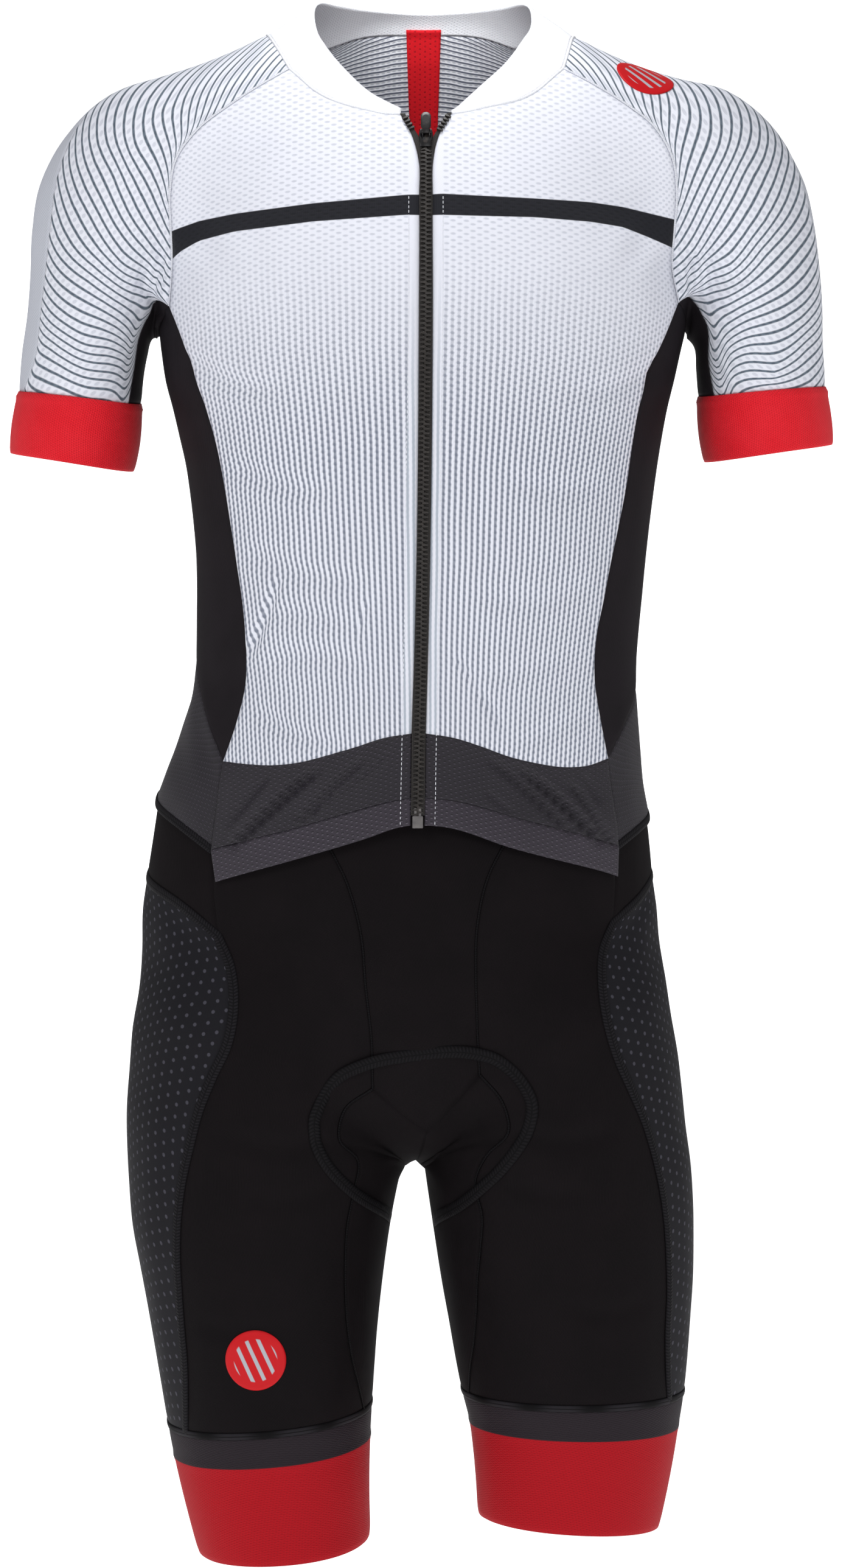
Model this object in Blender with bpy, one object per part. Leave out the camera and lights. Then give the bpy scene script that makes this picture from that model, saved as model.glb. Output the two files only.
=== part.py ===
"""Cycling speed suit: a short-sleeved jersey and bib shorts made as one garment, hollow and upright,
in the form that it has when it is worn.

Tables are in millimetres. X runs to the viewer's right, -Y is the front and +Z is up. The origin is on
the centre line, at the height of the wearer's shoulders. Left and right are as seen from the front.
Outlines and seams are read off a front or back view, taken VIEW_DISTANCE away at VIEW_HEIGHT, on the
upright plane through the origin. The cloth lies on one smooth general form: level sections for the
torso and the legs, and rings along a curved line for each arm.
"""

import math

import bmesh
import bpy
import numpy as np
from mathutils import Vector
from mathutils.bvhtree import BVHTree

MM = 0.001
VIEW_DISTANCE = 2500.0
VIEW_HEIGHT = -453.5

WALL = 1.5             # thickness of one layer of cloth
SHARP = 40.0           # degrees between faces, past which an edge isn't shaded smooth
LAYER_GAP = 0.3        # from the form out to the jersey's inner face, and between pieces at a seam
TRIM = 0.8             # thickness of the patches and the neck strip, which lie on the cloth
TRIM_LIFT = 0.5        # from the cloth's outer face to what lies on it
FLAP_SINK = 2.6        # how far the shorts pass in under the jersey's front flap
FLAP_LIFT = 3.0        # how far the flap stands off the shorts at its hem
ARMPIT_HEIGHT = -162.0
ARMPIT_BLEND = 12.0    # how widely the arms run into the torso at the armpit
SHOULDER_BLEND = 45.0  # and above it, from BLEND_RISE up
BLEND_RISE = 50.0
CROTCH_BLEND = 12.0    # how widely the legs run into the torso
ARM_FROM = 30.0        # the arms lie farther out than this, and end above ARM_FOOT
ARM_FOOT = -340.0
LEG_HEAD = -520.0      # the legs lie below this
NORMAL_REACH = 6.0     # over which the form's direction is evened out
OFF_AXIS = 1e-5        # keeps a point on an axis from having no direction
STRIDE = 15.0          # the longest step of a point that is drawn to the form

JERSEY = (LAYER_GAP, LAYER_GAP + WALL)      # inner and outer face, from the form
SHORTS = (-WALL, 0.0)
ZIP_LAYER = (LAYER_GAP, 2.2)
CUFF_SWELL = {"middle": 1.44, "top": 0.63}
FLAP_RAMP = 50.0       # how far below the fronts' seam the flap has its full lift
FLAP_SIDE = {"from": 95.0, "over": 35.0, "loss": 0.65}      # where it is held down by its side seams
FOLD_RAMP = 14.0       # how far below that seam the folds have their full depth
FOLD = {"start": 0.25, "last": 1.15, "end": 0.3, "ridge": 0.9}      # shares of a fold's length and depth
TUCK = {"height": -500.0, "over": 28.0}      # where the shorts pass in under the flap
COLLAR_START = 1.3     # from the neck seam to where the collar begins
COLLAR_SWELL = 1.0
COLLAR_CENTRE = (0, 5, 15)
NECK_STRIP = {"middle": 1.7, "top": 35.5, "bottom": -30.0, "wide": 22.5, "narrow": 18.0}

PATCH_RADIUS = 18.7
PATCH_GRID = 10
PATCH_ABOVE = 20.0     # from where its points are dropped onto the cloth
PATCH_SHOULDER = (141.0, -8.1)      # their middles, in the front view
PATCH_THIGH = (-104.7, -818.1)

# The zip's hard pieces. "out" is measured from the form, "up" along the cloth from the slider's middle.
ZIP_X_TOP = 3.1
ZIP_X_FOOT = -2.1
SLIDER = {"height": -46.7, "length": 12.6, "width": 8.6, "bridge": 2.4, "below": (-1.7, -0.3),
          "above": (2.7, 4.2)}
EAR = {"inner": 2.6, "outer": 3.5, "reach": 1.5, "crown": 0.9, "root": 0.4}
PULL = {"out": 6.0, "up": 2.6, "width": 6.2, "tongue": 4.6, "thick": 1.2, "shoulder": 2.8, "heel": 0.9,
        "length": 13.9}
BOX = {"height": -477.9, "width": 6.5, "length": 7.4, "low": 0.6, "high": 3.4, "chamfer": 0.6}


def table(columns, rows):
    """Named columns, as arrays, of a table with one row for each section."""
    return {name: np.array([row[i] for row in rows], float) for i, name in enumerate(columns.split())}


# One row for each level section: its sides, its front and back, and how square it is (2 is an ellipse).
TORSO = table("height left right front back square", (
    (60, -68, 68, -46, 60, 2.0),
    (23, -80, 80, -54, 69, 2.0),
    (0, -92, 92, -61, 78, 2.0),
    (-30, -112, 112, -71, 90, 2.1),
    (-60, -128, 128, -85, 100, 2.2),
    (-100, -146, 146, -99, 108, 2.3),
    (-150, -164, 167, -110, 111, 2.3),
    (-190, -161, 160, -113, 110, 2.3),
    (-222, -153.5, 152.5, -112, 106, 2.3),
    (-265, -144.5, 145.5, -108, 100, 2.3),
    (-325, -139.5, 138.5, -103, 92, 2.3),
    (-390, -140, 133.5, -99, 86, 2.3),
    (-405, -145.5, 134.5, -99, 87, 2.3),
    (-432, -152.5, 136.5, -99, 88, 2.3),
    (-458, -164.5, 139, -100, 93, 2.3),
    (-475, -167, 142.5, -101, 97, 2.3),
    (-510, -173, 146, -102, 107, 2.3),
    (-550, -177, 151, -101, 117, 2.2),
    (-580, -172, 147, -100, 121, 2.2),
    (-600, -158, 136, -98, 120, 2.1),
    (-630, -122, 106, -94, 112, 2.0),
    (-660, -70, 64, -80, 92, 2.0),
    (-680, -32, 26, -52, 58, 2.0),
    (-691, -10, 4, -14, 14, 2.0),
))
LEG = {
    "left": table("height left right front back square", (
        (-540, -150, -40, -80, 90, 2.0),
        (-575, -175.5, -20, -92, 108, 2.0),
        (-605, -182.5, -10, -96, 114, 2.1),
        (-640, -185, -8, -95, 110, 2.1),
        (-664, -186.3, -8.5, -94, 104, 2.1),
        (-695, -185, -12.5, -92, 98, 2.1),
        (-728, -182.5, -19, -89, 90, 2.1),
        (-767, -175.2, -24.5, -85, 82, 2.1),
        (-795, -170.2, -27.5, -82, 78, 2.1),
        (-825, -165, -29.7, -79, 74, 2.1),
        (-855, -160, -31.5, -76, 71, 2.1),
        (-880, -155, -32.5, -73, 68, 2.1),
        (-907, -148.6, -32.5, -70, 65, 2.1),
        (-935, -141, -31.6, -68, 62, 2.1),
        (-970, -132, -30, -64, 58, 2.1),
    )),
    "right": table("height left right front back square", (
        (-540, 30, 128, -80, 90, 2.0),
        (-575, 16, 154, -92, 108, 2.0),
        (-600, 8, 158.5, -96, 114, 2.1),
        (-626, 6, 162.9, -95, 112, 2.1),
        (-670, 3, 167.5, -94, 104, 2.1),
        (-702, 3.5, 171.3, -92, 97, 2.1),
        (-731, 7.5, 172.3, -89, 90, 2.1),
        (-758, 11.5, 172, -86, 84, 2.1),
        (-797, 18.5, 169.5, -82, 78, 2.1),
        (-833, 25, 166.5, -79, 74, 2.1),
        (-855, 30.5, 163, -76, 71, 2.1),
        (-888, 34.3, 157.5, -72, 67, 2.1),
        (-916, 36, 151.5, -69, 64, 2.1),
        (-955, 38, 143, -66, 60, 2.1),
    )),
}
# The middle line of each arm from the neck to below the cuff, with the ring's half width and half depth.
ARM = {
    "left": table("across height radius depth back", (
        (-60, -42, 53.0, 64, 8),
        (-95, -46, 56.0, 66, 8),
        (-139, -58, 55.0, 64, 7),
        (-170, -70, 57.5, 62, 6),
        (-192, -98, 52.5, 60, 4),
        (-202, -130, 44.0, 57, 3),
        (-209, -160, 38.5, 54, 4),
        (-214, -185, 37.0, 51, 6),
        (-216.5, -210, 37.0, 49, 8),
        (-222, -250.6, 38.0, 48, 12),
        (-229, -290, 38.0, 48, 15),
    )),
    "right": table("across height radius depth back", (
        (60, -42, 52.0, 64, 8),
        (95, -46, 54.0, 66, 8),
        (139, -58, 53.0, 64, 7),
        (170, -70, 58.5, 62, 6),
        (195, -95, 52.5, 60, 4),
        (208, -128, 43.5, 57, 3),
        (213, -160, 40.0, 54, 4),
        (215, -190, 38.5, 51, 6),
        (217, -215, 38.5, 49, 8),
        (221, -245, 39.5, 48, 12),
        (227, -285, 39.5, 48, 15),
    )),
}
# A gentler line through the left shoulder and arm, round which the panels of the sleeve are laid out.
SLEEVE_GUIDE = table("across height back", (
    (-5, 5, 5),
    (-120, -86, 5),
    (-185, -152, 4),
    (-214, -212, 8),
    (-226, -300, 14),
))
# The level of each leg's rings, and how they tip: "across" towards the viewer's right, "ahead" forwards.
LEG_RING = {
    "left": {"seam": (-849, 6, -4), "hem": (-930.5, 4.5, -4.5)},
    "right": {"seam": (-835.5, 0, -1), "hem": (-917, -4, 1)},
}
# Where the panel seams meet each leg's ring, in degrees from the front, positive to the viewer's right.
LEG_CORNER = {
    "left": {"flatlock": -47, "inner_front": 65, "inner_back": 132, "rear": 192},
    "right": {"flatlock": 53, "inner_front": -68, "inner_back": -132, "rear": -192},
}
# The same for each arm: distance along the arm's line, tip, and degrees from the outer side forwards.
CUFF_RING = {
    "left": {"seam": (263, 4), "hem": (304, 4)},
    "right": {"seam": (262, 4), "hem": (301, 4)},
}
CUFF_CORNER = {
    "left": {"stripes": 36, "front": 142, "rear": 228},
    "right": {"stripes": 2, "front": 138, "rear": 228},
}


def curve_through(knots, values, at):
    """A smooth curve through a table's column that never overshoots its rows."""
    step = np.diff(knots)
    slope = np.diff(values) / step
    both = slope[:-1] * slope[1:]
    inner = np.where(both > 0, 2 * both / np.where(both > 0, slope[:-1] + slope[1:], 1), 0)
    tangent = np.concatenate(([slope[0]], inner, [slope[-1]]))
    at = np.clip(at, knots[0], knots[-1])
    i = np.clip(np.searchsorted(knots, at) - 1, 0, len(knots) - 2)
    t = (at - knots[i]) / step[i]
    return (values[i] * (2 * t**3 - 3 * t**2 + 1) + values[i + 1] * (3 * t**2 - 2 * t**3)
            + step[i] * (tangent[i] * (t**3 - 2 * t**2 + t) + tangent[i + 1] * (t**3 - t**2)))


def soft_step(value):
    """From 0 to 1 as the value does, with a soft start and end."""
    value = np.clip(value, 0, 1)
    return value * value * (3 - 2 * value)


def blend(a, b, width):
    """The union of two distance fields, rounded where they meet."""
    near = np.maximum(width - np.abs(a - b), 0) / width
    return np.minimum(a, b) - near * near * width / 4


class Stack:
    """Level sections, one above another: the torso or one leg."""

    LEVELS = 500

    def __init__(self, rows):
        order = np.argsort(rows["height"])
        self.height = np.linspace(rows["height"].min(), rows["height"].max(), self.LEVELS)
        self.column = {name: curve_through(rows["height"][order], rows[name][order], self.height)
                       for name in ("left", "right", "front", "back", "square")}

    def at(self, name, height):
        return np.interp(height, self.height, self.column[name])

    def centre(self, height):
        return ((self.at("left", height) + self.at("right", height)) / 2,
                (self.at("front", height) + self.at("back", height)) / 2)

    def radius(self, along_x, along_y, height):
        wide = (self.at("right", height) - self.at("left", height)) / 2
        deep = (self.at("back", height) - self.at("front", height)) / 2
        power = self.at("square", height)
        return (np.abs(along_x / wide) ** power + np.abs(along_y / deep) ** power) ** (-1 / power)

    def distance(self, point):
        height = np.clip(point[..., 2], self.height[0], self.height[-1])
        middle_x, middle_y = self.centre(height)
        x, y = point[..., 0] - middle_x, point[..., 1] - middle_y + OFF_AXIS
        reach = np.hypot(x, y)
        radius = self.radius(x / reach, y / reach, height)
        above, below = (self.radius(x / reach, y / reach, height + step) for step in (2, -2))
        slope = (above - below) / 4
        past = np.maximum(point[..., 2] - self.height[-1], self.height[0] - point[..., 2])
        return np.maximum((reach - radius) / np.sqrt(1 + slope * slope), past)


class Guide:
    """A curved middle line that lies in the front view's plane, or a little behind it."""

    STEPS = 70

    def __init__(self, rows):
        gone = np.concatenate(([0], np.cumsum(np.hypot(np.diff(rows["across"]), np.diff(rows["height"])))))
        self.along = np.linspace(0, gone[-1], self.STEPS)
        self.column = {name: curve_through(gone, rows[name], self.along) for name in rows}
        self.turn = math.copysign(1, rows["across"][0])
        self.tangent = np.stack([np.gradient(self.column[name], self.along) for name in ("across", "height")], -1)
        self.tangent /= np.linalg.norm(self.tangent, axis=-1, keepdims=True)

    def at(self, name, along):
        return np.interp(along, self.along, self.column[name])

    def frame(self, along):
        """The middle point, and the direction that points out of the arm, at a distance along it."""
        middle = np.stack([self.at("across", along), self.at("back", along), self.at("height", along)], -1)
        across = np.interp(along, self.along, self.tangent[:, 0])
        down = np.interp(along, self.along, self.tangent[:, 1])
        size = np.hypot(across, down)
        out = np.stack([-self.turn * down / size, np.zeros_like(across), self.turn * across / size], -1)
        return middle, out

    def nearest(self, point):
        line = np.stack([self.column["across"], self.column["height"]], -1)
        flat = point[..., [0, 2]]
        gap = np.linalg.norm(flat[..., None, :] - line, axis=-1)
        i = gap.argmin(-1)
        ahead = ((flat - line[i]) * self.tangent[i]).sum(-1)
        return np.clip(self.along[i] + ahead, 0, self.along[-1])


class Limb(Guide):
    """Rings along a guide: one arm, from the neck to below the cuff."""

    def distance(self, point):
        along = self.nearest(point)
        middle, _ = self.frame(along)
        x = np.hypot(point[..., 0] - middle[..., 0], point[..., 2] - middle[..., 2])
        y = point[..., 1] - middle[..., 1] + OFF_AXIS
        reach = np.hypot(x, y)
        return reach - 1 / np.hypot(x / reach / self.at("radius", along), y / reach / self.at("depth", along))


torso = Stack(TORSO)
legs = {side: Stack(rows) for side, rows in LEG.items()}
arms = {side: Limb(rows) for side, rows in ARM.items()}
sleeve_guides = {"left": Guide(SLEEVE_GUIDE),
                 "right": Guide({**SLEEVE_GUIDE, "across": -SLEEVE_GUIDE["across"]})}


def form(point):
    """Distance from the general form's surface, in millimetres, negative inside it."""
    field = torso.distance(point)
    high = soft_step((point[..., 2] - ARMPIT_HEIGHT) / BLEND_RISE)
    rounding = ARMPIT_BLEND + (SHOULDER_BLEND - ARMPIT_BLEND) * high
    near_arm = (np.abs(point[..., 0]) > ARM_FROM) & (point[..., 2] > ARM_FOOT)
    if near_arm.any():
        some, width = point[near_arm], rounding[near_arm]
        arm = np.where(some[:, 0] < 0, arms["left"].distance(some), arms["right"].distance(some))
        field[near_arm] = blend(field[near_arm], arm, width)
    low = point[..., 2] < LEG_HEAD
    if low.any():
        some = point[low]
        pair = blend(legs["left"].distance(some), legs["right"].distance(some), CROTCH_BLEND)
        field[low] = blend(field[low], pair, CROTCH_BLEND)
    return field


def outward(point):
    """Unit normals of the form at points on or near it, evened out over a few millimetres."""
    step = NORMAL_REACH * np.eye(3)
    return unit(np.stack([form(point + step[i]) - form(point - step[i]) for i in range(3)], -1))


def settle(point, rounds=8):
    """The nearest places on the form."""
    point = np.array(point, float)
    step = 0.5 * np.eye(3)
    for _ in range(rounds):
        slope = np.stack([form(point + step[i]) - form(point - step[i]) for i in range(3)], -1)
        size = np.maximum((slope * slope).sum(-1, keepdims=True), 1e-6)
        point -= np.clip(form(point)[..., None] * slope / size, -STRIDE, STRIDE)
    return point


def first_crossing(start, direction, reach, leaving, step=3.0):
    """Where rays first leave or enter the form."""
    sign = 1 if leaving else -1
    ticks = np.arange(0, reach + step, step)
    trial = start[..., None, :] + ticks[:, None] * direction[..., None, :]
    beyond = sign * form(trial) > 0
    beyond[..., 0] = False
    beyond[..., -1] = True
    i = beyond.argmax(-1)
    low, high = ticks[i - 1], ticks[i]
    for _ in range(14):
        middle = (low + high) / 2
        past = sign * form(start + middle[..., None] * direction) > 0
        high = np.where(past, middle, high)
        low = np.where(past, low, middle)
    return start + ((low + high) / 2)[..., None] * direction


class View:
    """A front or back view. Its two coordinates are those of the upright plane through the origin."""

    DEPTH = 190.0

    def __init__(self, side):
        self.side = side
        self.eye = np.array((0, side * VIEW_DISTANCE, VIEW_HEIGHT))

    def locate(self, point):
        ratio = self.eye[1] / (self.eye[1] - point[..., 1])
        return np.stack([point[..., 0] * ratio, self.eye[2] + (point[..., 2] - self.eye[2]) * ratio], -1)

    def at_depth(self, where, depth):
        """The point that is seen at a place in the view, at a given depth."""
        target = np.stack([where[..., 0], np.zeros(where.shape[:-1]), where[..., 1]], -1)
        return self.eye + (target - self.eye) * ((self.eye[1] - depth) / self.eye[1])[..., None]

    def surface(self, where):
        start = self.at_depth(where, np.full(where.shape[:-1], self.side * self.DEPTH))
        end = self.at_depth(where, np.full(where.shape[:-1], -self.side * self.DEPTH))
        reach = np.linalg.norm(end - start, axis=-1, keepdims=True)
        return first_crossing(start, (end - start) / reach, float(reach.max()), leaving=False)


class Round:
    """Around a torso's or leg's axis: degrees from the front, positive to the viewer's right, and height."""

    REACH = 260.0

    def __init__(self, stack, cut):
        self.stack = stack
        self.cut = cut

    def locate(self, point):
        x, y = self.stack.centre(point[..., 2])
        angle = np.degrees(np.arctan2(point[..., 0] - x, y - point[..., 1]))
        return np.stack([(angle - self.cut) % 360 + self.cut, point[..., 2]], -1)

    def surface(self, where):
        x, y = self.stack.centre(where[..., 1])
        angle = np.radians(where[..., 0])
        start = np.stack([x, y, where[..., 1]], -1)
        direction = np.stack([np.sin(angle), -np.cos(angle), np.zeros_like(angle)], -1)
        return first_crossing(start, direction, self.REACH, leaving=True)


class RoundArm:
    """Around an arm's middle line: degrees from its outer side, positive forwards, and distance along it."""

    REACH = 200.0

    def __init__(self, guide, cut=-180):
        self.guide = guide
        self.cut = cut

    def locate(self, point):
        along = self.guide.nearest(point)
        middle, out = self.guide.frame(along)
        angle = np.degrees(np.arctan2(middle[..., 1] - point[..., 1], ((point - middle) * out).sum(-1)))
        return np.stack([(angle - self.cut) % 360 + self.cut, along], -1)

    def surface(self, where):
        middle, out = self.guide.frame(where[..., 1])
        angle = np.radians(where[..., 0])[..., None]
        direction = out * np.cos(angle) + np.array((0, -1, 0)) * np.sin(angle)
        return first_crossing(middle, direction, self.REACH, leaving=True)


class Space:
    """Plain space: what lies between the seams is drawn to the nearest place on the form."""

    def locate(self, point):
        return point

    def surface(self, where):
        return settle(where)


FRONT, BACK = View(-1), View(1)


def spline(control, count):
    """A smooth line through control points, with its length shared out into equal parts."""
    control = np.array(control, float)
    gone = np.concatenate(([0], np.cumsum(np.linalg.norm(np.diff(control, axis=0), axis=-1))))
    slope = np.gradient(control, gone, axis=0)
    fine = np.linspace(0, gone[-1], 40 * len(control))
    i = np.clip(np.searchsorted(gone, fine) - 1, 0, len(gone) - 2)
    step = (gone[i + 1] - gone[i])[:, None]
    t = (fine - gone[i])[:, None] / step
    line = (control[i] * (2 * t**3 - 3 * t**2 + 1) + control[i + 1] * (3 * t**2 - 2 * t**3)
            + step * (slope[i] * (t**3 - 2 * t**2 + t) + slope[i + 1] * (t**3 - t**2)))
    length = np.concatenate(([0], np.cumsum(np.linalg.norm(np.diff(line, axis=0), axis=-1))))
    share = np.linspace(0, length[-1], count + 1)
    return np.stack([np.interp(share, length, line[:, axis]) for axis in range(3)], -1)


def seam(rows, count, around=None):
    """Points along a seam. A row is seen from the front (F) or back (B), turned about an axis (A), or a point."""
    control = []
    for row in rows:
        if isinstance(row, np.ndarray):
            control.append(row)
            continue
        seen, across, height = row
        chart = {"F": FRONT, "B": BACK, "A": around}[seen]
        control.append(chart.surface(np.array([[across, height]], float))[0])
    line = spline(control, count)
    ends = line[[0, -1]].copy()
    line = settle(line)
    line[[0, -1]] = ends
    direction = outward(line)
    for _ in range(6):
        direction[1:-1] = unit(direction[:-2] + direction[1:-1] + direction[2:])
    seam_normals.update(zip(map(name_of, line), direction))
    return line


def unit(vector):
    return vector / np.maximum(np.linalg.norm(vector, axis=-1, keepdims=True), 1e-9)


def name_of(point):
    return tuple(np.round(point, 3) + 0.0)


seam_normals = {}      # by place: both panels at a seam stand square to it in the same, evened direction


def normals(grid):
    """Outward directions over a panel, with those at its seams shared with its neighbours."""
    out = outward(grid)
    for place in np.ndindex(grid.shape[:2]):
        out[place] = seam_normals.get(name_of(grid[place]), out[place])
    return out


def seen(view, *places):
    """Rows of a seam that are all read off one view."""
    return [(view, *place) for place in places]


def ring_arc(chart, level, start, end, count):
    """Points of a leg's ring between two angles, in degrees. The level is (height, across, ahead)."""
    angle = np.linspace(start, end, count + 1)
    height = level[0] + level[1] * np.sin(np.radians(angle)) + level[2] * np.cos(np.radians(angle))
    return chart.surface(np.stack([angle, height], -1))


def cuff_arc(chart, level, start, end, count):
    """Points of a cuff's ring between two angles. The level is (distance along the arm, extra at the front)."""
    angle = np.linspace(start, end, count + 1)
    return chart.surface(np.stack([angle, level[0] + level[1] * np.sin(np.radians(angle))], -1))


def join(*lines):
    """One line of several that follow each other."""
    return np.concatenate([line if i == 0 else line[1:] for i, line in enumerate(lines)])


def finer(line, factor):
    """The same chain of straight parts, each cut into equal shorter ones."""
    at = np.arange(0, len(line) - 1 + 0.5 / factor, 1 / factor)
    return np.stack([np.interp(at, np.arange(len(line)), line[:, axis]) for axis in range(3)], -1)


def patch(chart, bottom, top, left, right):
    """Grid of points on the form between four seams that share their corners."""
    b, t, l, r = (chart.locate(line) for line in (bottom, top, left, right))
    u = np.linspace(0, 1, len(bottom))[:, None, None]
    v = np.linspace(0, 1, len(left))[None, :, None]
    corners = (b[0] * (1 - u) + b[-1] * u) * (1 - v) + (t[0] * (1 - u) + t[-1] * u) * v
    where = b[:, None] * (1 - v) + t[:, None] * v + l[None] * (1 - u) + r[None] * u - corners
    grid = chart.surface(where)
    grid[:, 0], grid[:, -1], grid[0], grid[-1] = bottom, top, left, right
    return grid


def relax(grid, rounds=14):
    """The grid with its inner points shared out evenly over the form, for panels that meet in the armpit."""
    for _ in range(rounds):
        grid[1:-1, 1:-1] = (grid[2:, 1:-1] + grid[:-2, 1:-1] + grid[1:-1, 2:] + grid[1:-1, :-2]) / 4
        grid[1:-1, 1:-1] = settle(grid[1:-1, 1:-1], 3)
    return grid


def between(start, end):
    """Grid of a tube of cloth on the form between two rings."""
    v = np.linspace(0, 1, 5)[None, :, None]
    grid = start[:, None] * (1 - v) + end[:, None] * v
    grid[:, 1:-1] = settle(grid[:, 1:-1])
    return grid


def inset(grid, gap, ring=False):
    """The grid with its rim drawn in by a gap, square to the rim."""
    grid = grid.copy()

    def draw_in(edge, inner):
        run = np.gradient(edge, axis=0)
        run /= np.linalg.norm(run, axis=-1, keepdims=True)
        inwards = inner - edge
        inwards -= (inwards * run).sum(-1, keepdims=True) * run
        return edge + gap * inwards / np.linalg.norm(inwards, axis=-1, keepdims=True)

    grid[:, 0], grid[:, -1] = draw_in(grid[:, 0], grid[:, 1]), draw_in(grid[:, -1], grid[:, -2])
    if not ring:
        grid[0], grid[-1] = draw_in(grid[0], grid[1]), draw_in(grid[-1], grid[-2])
    return grid


# ---------------------------------------------------------------------------------------------------
# Seams. Each row is a place that the seam passes, in the view or chart that its letter names.

def mirrored(rows):
    """The same rows of a view on the other side of the centre line."""
    return [(row[0], -row[1], row[2]) for row in rows]


RAGLAN_FRONT = {
    "left": seen("F", (-157.9, -151.3), (-157.1, -120.9), (-158.2, -93.6), (-157.9, -66.2), (-140.5, -39.3),
                 (-117, -22.3), (-82.8, -1.9)),
    "right": seen("F", (161.6, -149), (158.9, -135), (158.4, -118), (161, -93.6), (160.3, -62), (148.2, -39.3),
                  (117.4, -16.9), (89.7, -1.9)),
}
RAGLAN_BACK = seen("B", (-158, -152), (-156, -130), (-152, -100), (-142, -62), (-120, -25), (-92, 8), (-62, 31))
SIDE_FRONT = {
    "left": seen("F", (-124.4, -439.5), (-118.6, -422.7), (-112.8, -404.3), (-110.1, -388.9), (-110.9, -350),
                 (-115.5, -315.3), (-121.7, -276), (-127.1, -244.5), (-134.4, -217.9), (-140.9, -199),
                 (-150.2, -171.7), (-157.9, -151.3)),
    "right": seen("F", (117.4, -437.4), (112, -408.9), (108.6, -381.2), (117, -325), (129, -264.1),
                  (134.8, -226), (141.7, -197.1), (150.9, -175.2), (161.6, -149)),
}
SIDE_BACK = {
    "left": seen("B", (-112, -330), (-116, -300), (-124, -265), (-136, -225), (-150, -185), (-158, -152)),
    "right": seen("B", (108, -330), (113, -300), (122, -265), (135, -225), (149, -185), (158, -152)),
}
SIDE_BOTTOM = {
    "left": seen("F", (-124.4, -439.5), (-131.5, -420), (-138, -400)) + [("A", -95, -365), ("B", -112, -330)],
    "right": seen("F", (117.4, -437.4), (123, -427), (130, -410)) + [("A", 95, -385), ("B", 108, -330)],
}
BACK_BOTTOM = seen("B", (-112, -330), (0, -330), (108, -330))
FRONT_BOTTOM = {
    "left": seen("F", (-124.4, -439.5), (-104.7, -441.6), (-86.2, -441.6), (-58.5, -435.4), (-35.4, -428.5),
                 (-14.6, -422.3), (-5.9, -421.6)),
    "right": seen("F", (2.9, -421.6), (10.8, -422.3), (33.9, -428.5), (56.6, -436.6), (79.7, -441.6),
                  (98.2, -443.1), (117.4, -437.4)),
}
HEM_EDGE = {
    "left": seen("F", (-131.3, -495.5), (-128, -467), (-124.4, -439.5)),
    "right": seen("F", (122.8, -493), (120, -465), (117.4, -437.4)),
}
BAND_TOP = {
    "left": seen("F", (-131.3, -495.5), (-81.6, -482.8), (-48, -473), (-14.6, -464.3), (-6.3, -463)),
    "right": seen("F", (2.3, -463), (14.2, -463.9), (65, -477), (122.8, -493)),
}
BAND_BOTTOM = {
    "left": seen("F", (-128.5, -515.5), (-81.6, -502.4), (-35.4, -488.6), (-12.3, -480.9), (-6.6, -480)),
    "right": seen("F", (2, -480), (10.8, -480.5), (56.6, -494.3), (122.4, -512)),
}
ZIP_EDGE = {
    "left": seen("F", (-5.9, -421.6), (-4.5, -381), (-1.2, -150), (-1.2, -75), (-1.6, -57), (-4, -48),
                 (-9, -39), (-13, -30.5)),
    "right": seen("F", (2.9, -421.6), (4.1, -381), (7.4, -150), (7.4, -75), (7.8, -57), (9.2, -49),
                  (13.9, -39.3), (19.2, -30)),
}
ZIP_FOOT = {"left": ((-6.5, -473.7), (-6.3, -463)), "right": ((2.1, -473.7), (2.3, -463))}
# The inner edges of the zip's two halves. They part above the slider.
ZIP_MIDDLE = table("height left right", (
    (-477, -2.3, -2.3),
    (-381, -0.2, -0.2),
    (-150, 3.1, 3.1),
    (-52, 3.1, 3.1),
    (-30.5, -10, 16.5),
))
COLLAR_FRONT = {
    "left": seen("F", (-82.8, -1.9), (-62.4, -18.1), (-28.5, -29.6), (-13, -30.5)),
    "right": seen("F", (89.7, -1.9), (68.1, -18.5), (29.4, -28.9), (19.2, -30)),
}
COLLAR_BACK = seen("B", (-62, 31), (-42, 40), (0, 45), (42, 40), (62, 31))
# Round an arm, in degrees from its outer side forwards and distance along it.
COLLAR_SIDE = ((25, 27), (0, 28), (-18, 22))
STRIPE_SEAM = {
    "left": ((54, 247), (55, 226), (54, 200), (52, 168), (45, 148), (33, 128), (14, 112), (0, 88), (-11, 55)),
    "right": ((6, 235), (14, 207), (24, 190), (28, 178), (31, 165), (28, 150), (16, 136), (0, 112), (-11, 65)),
}
UNDERARM_FRONT = {
    "left": [("A", 146, 242), ("A", 142, 222), ("F", -168, -149)],
    "right": [("A", 142, 242), ("A", 138, 222), ("F", 171, -146)],
}
UNDERARM_REAR = {
    "left": [("A", 222, 242), ("A", 220, 222), ("B", -168, -149)],
    "right": [("A", 222, 242), ("A", 220, 222), ("B", 168, -149)],
}
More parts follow.
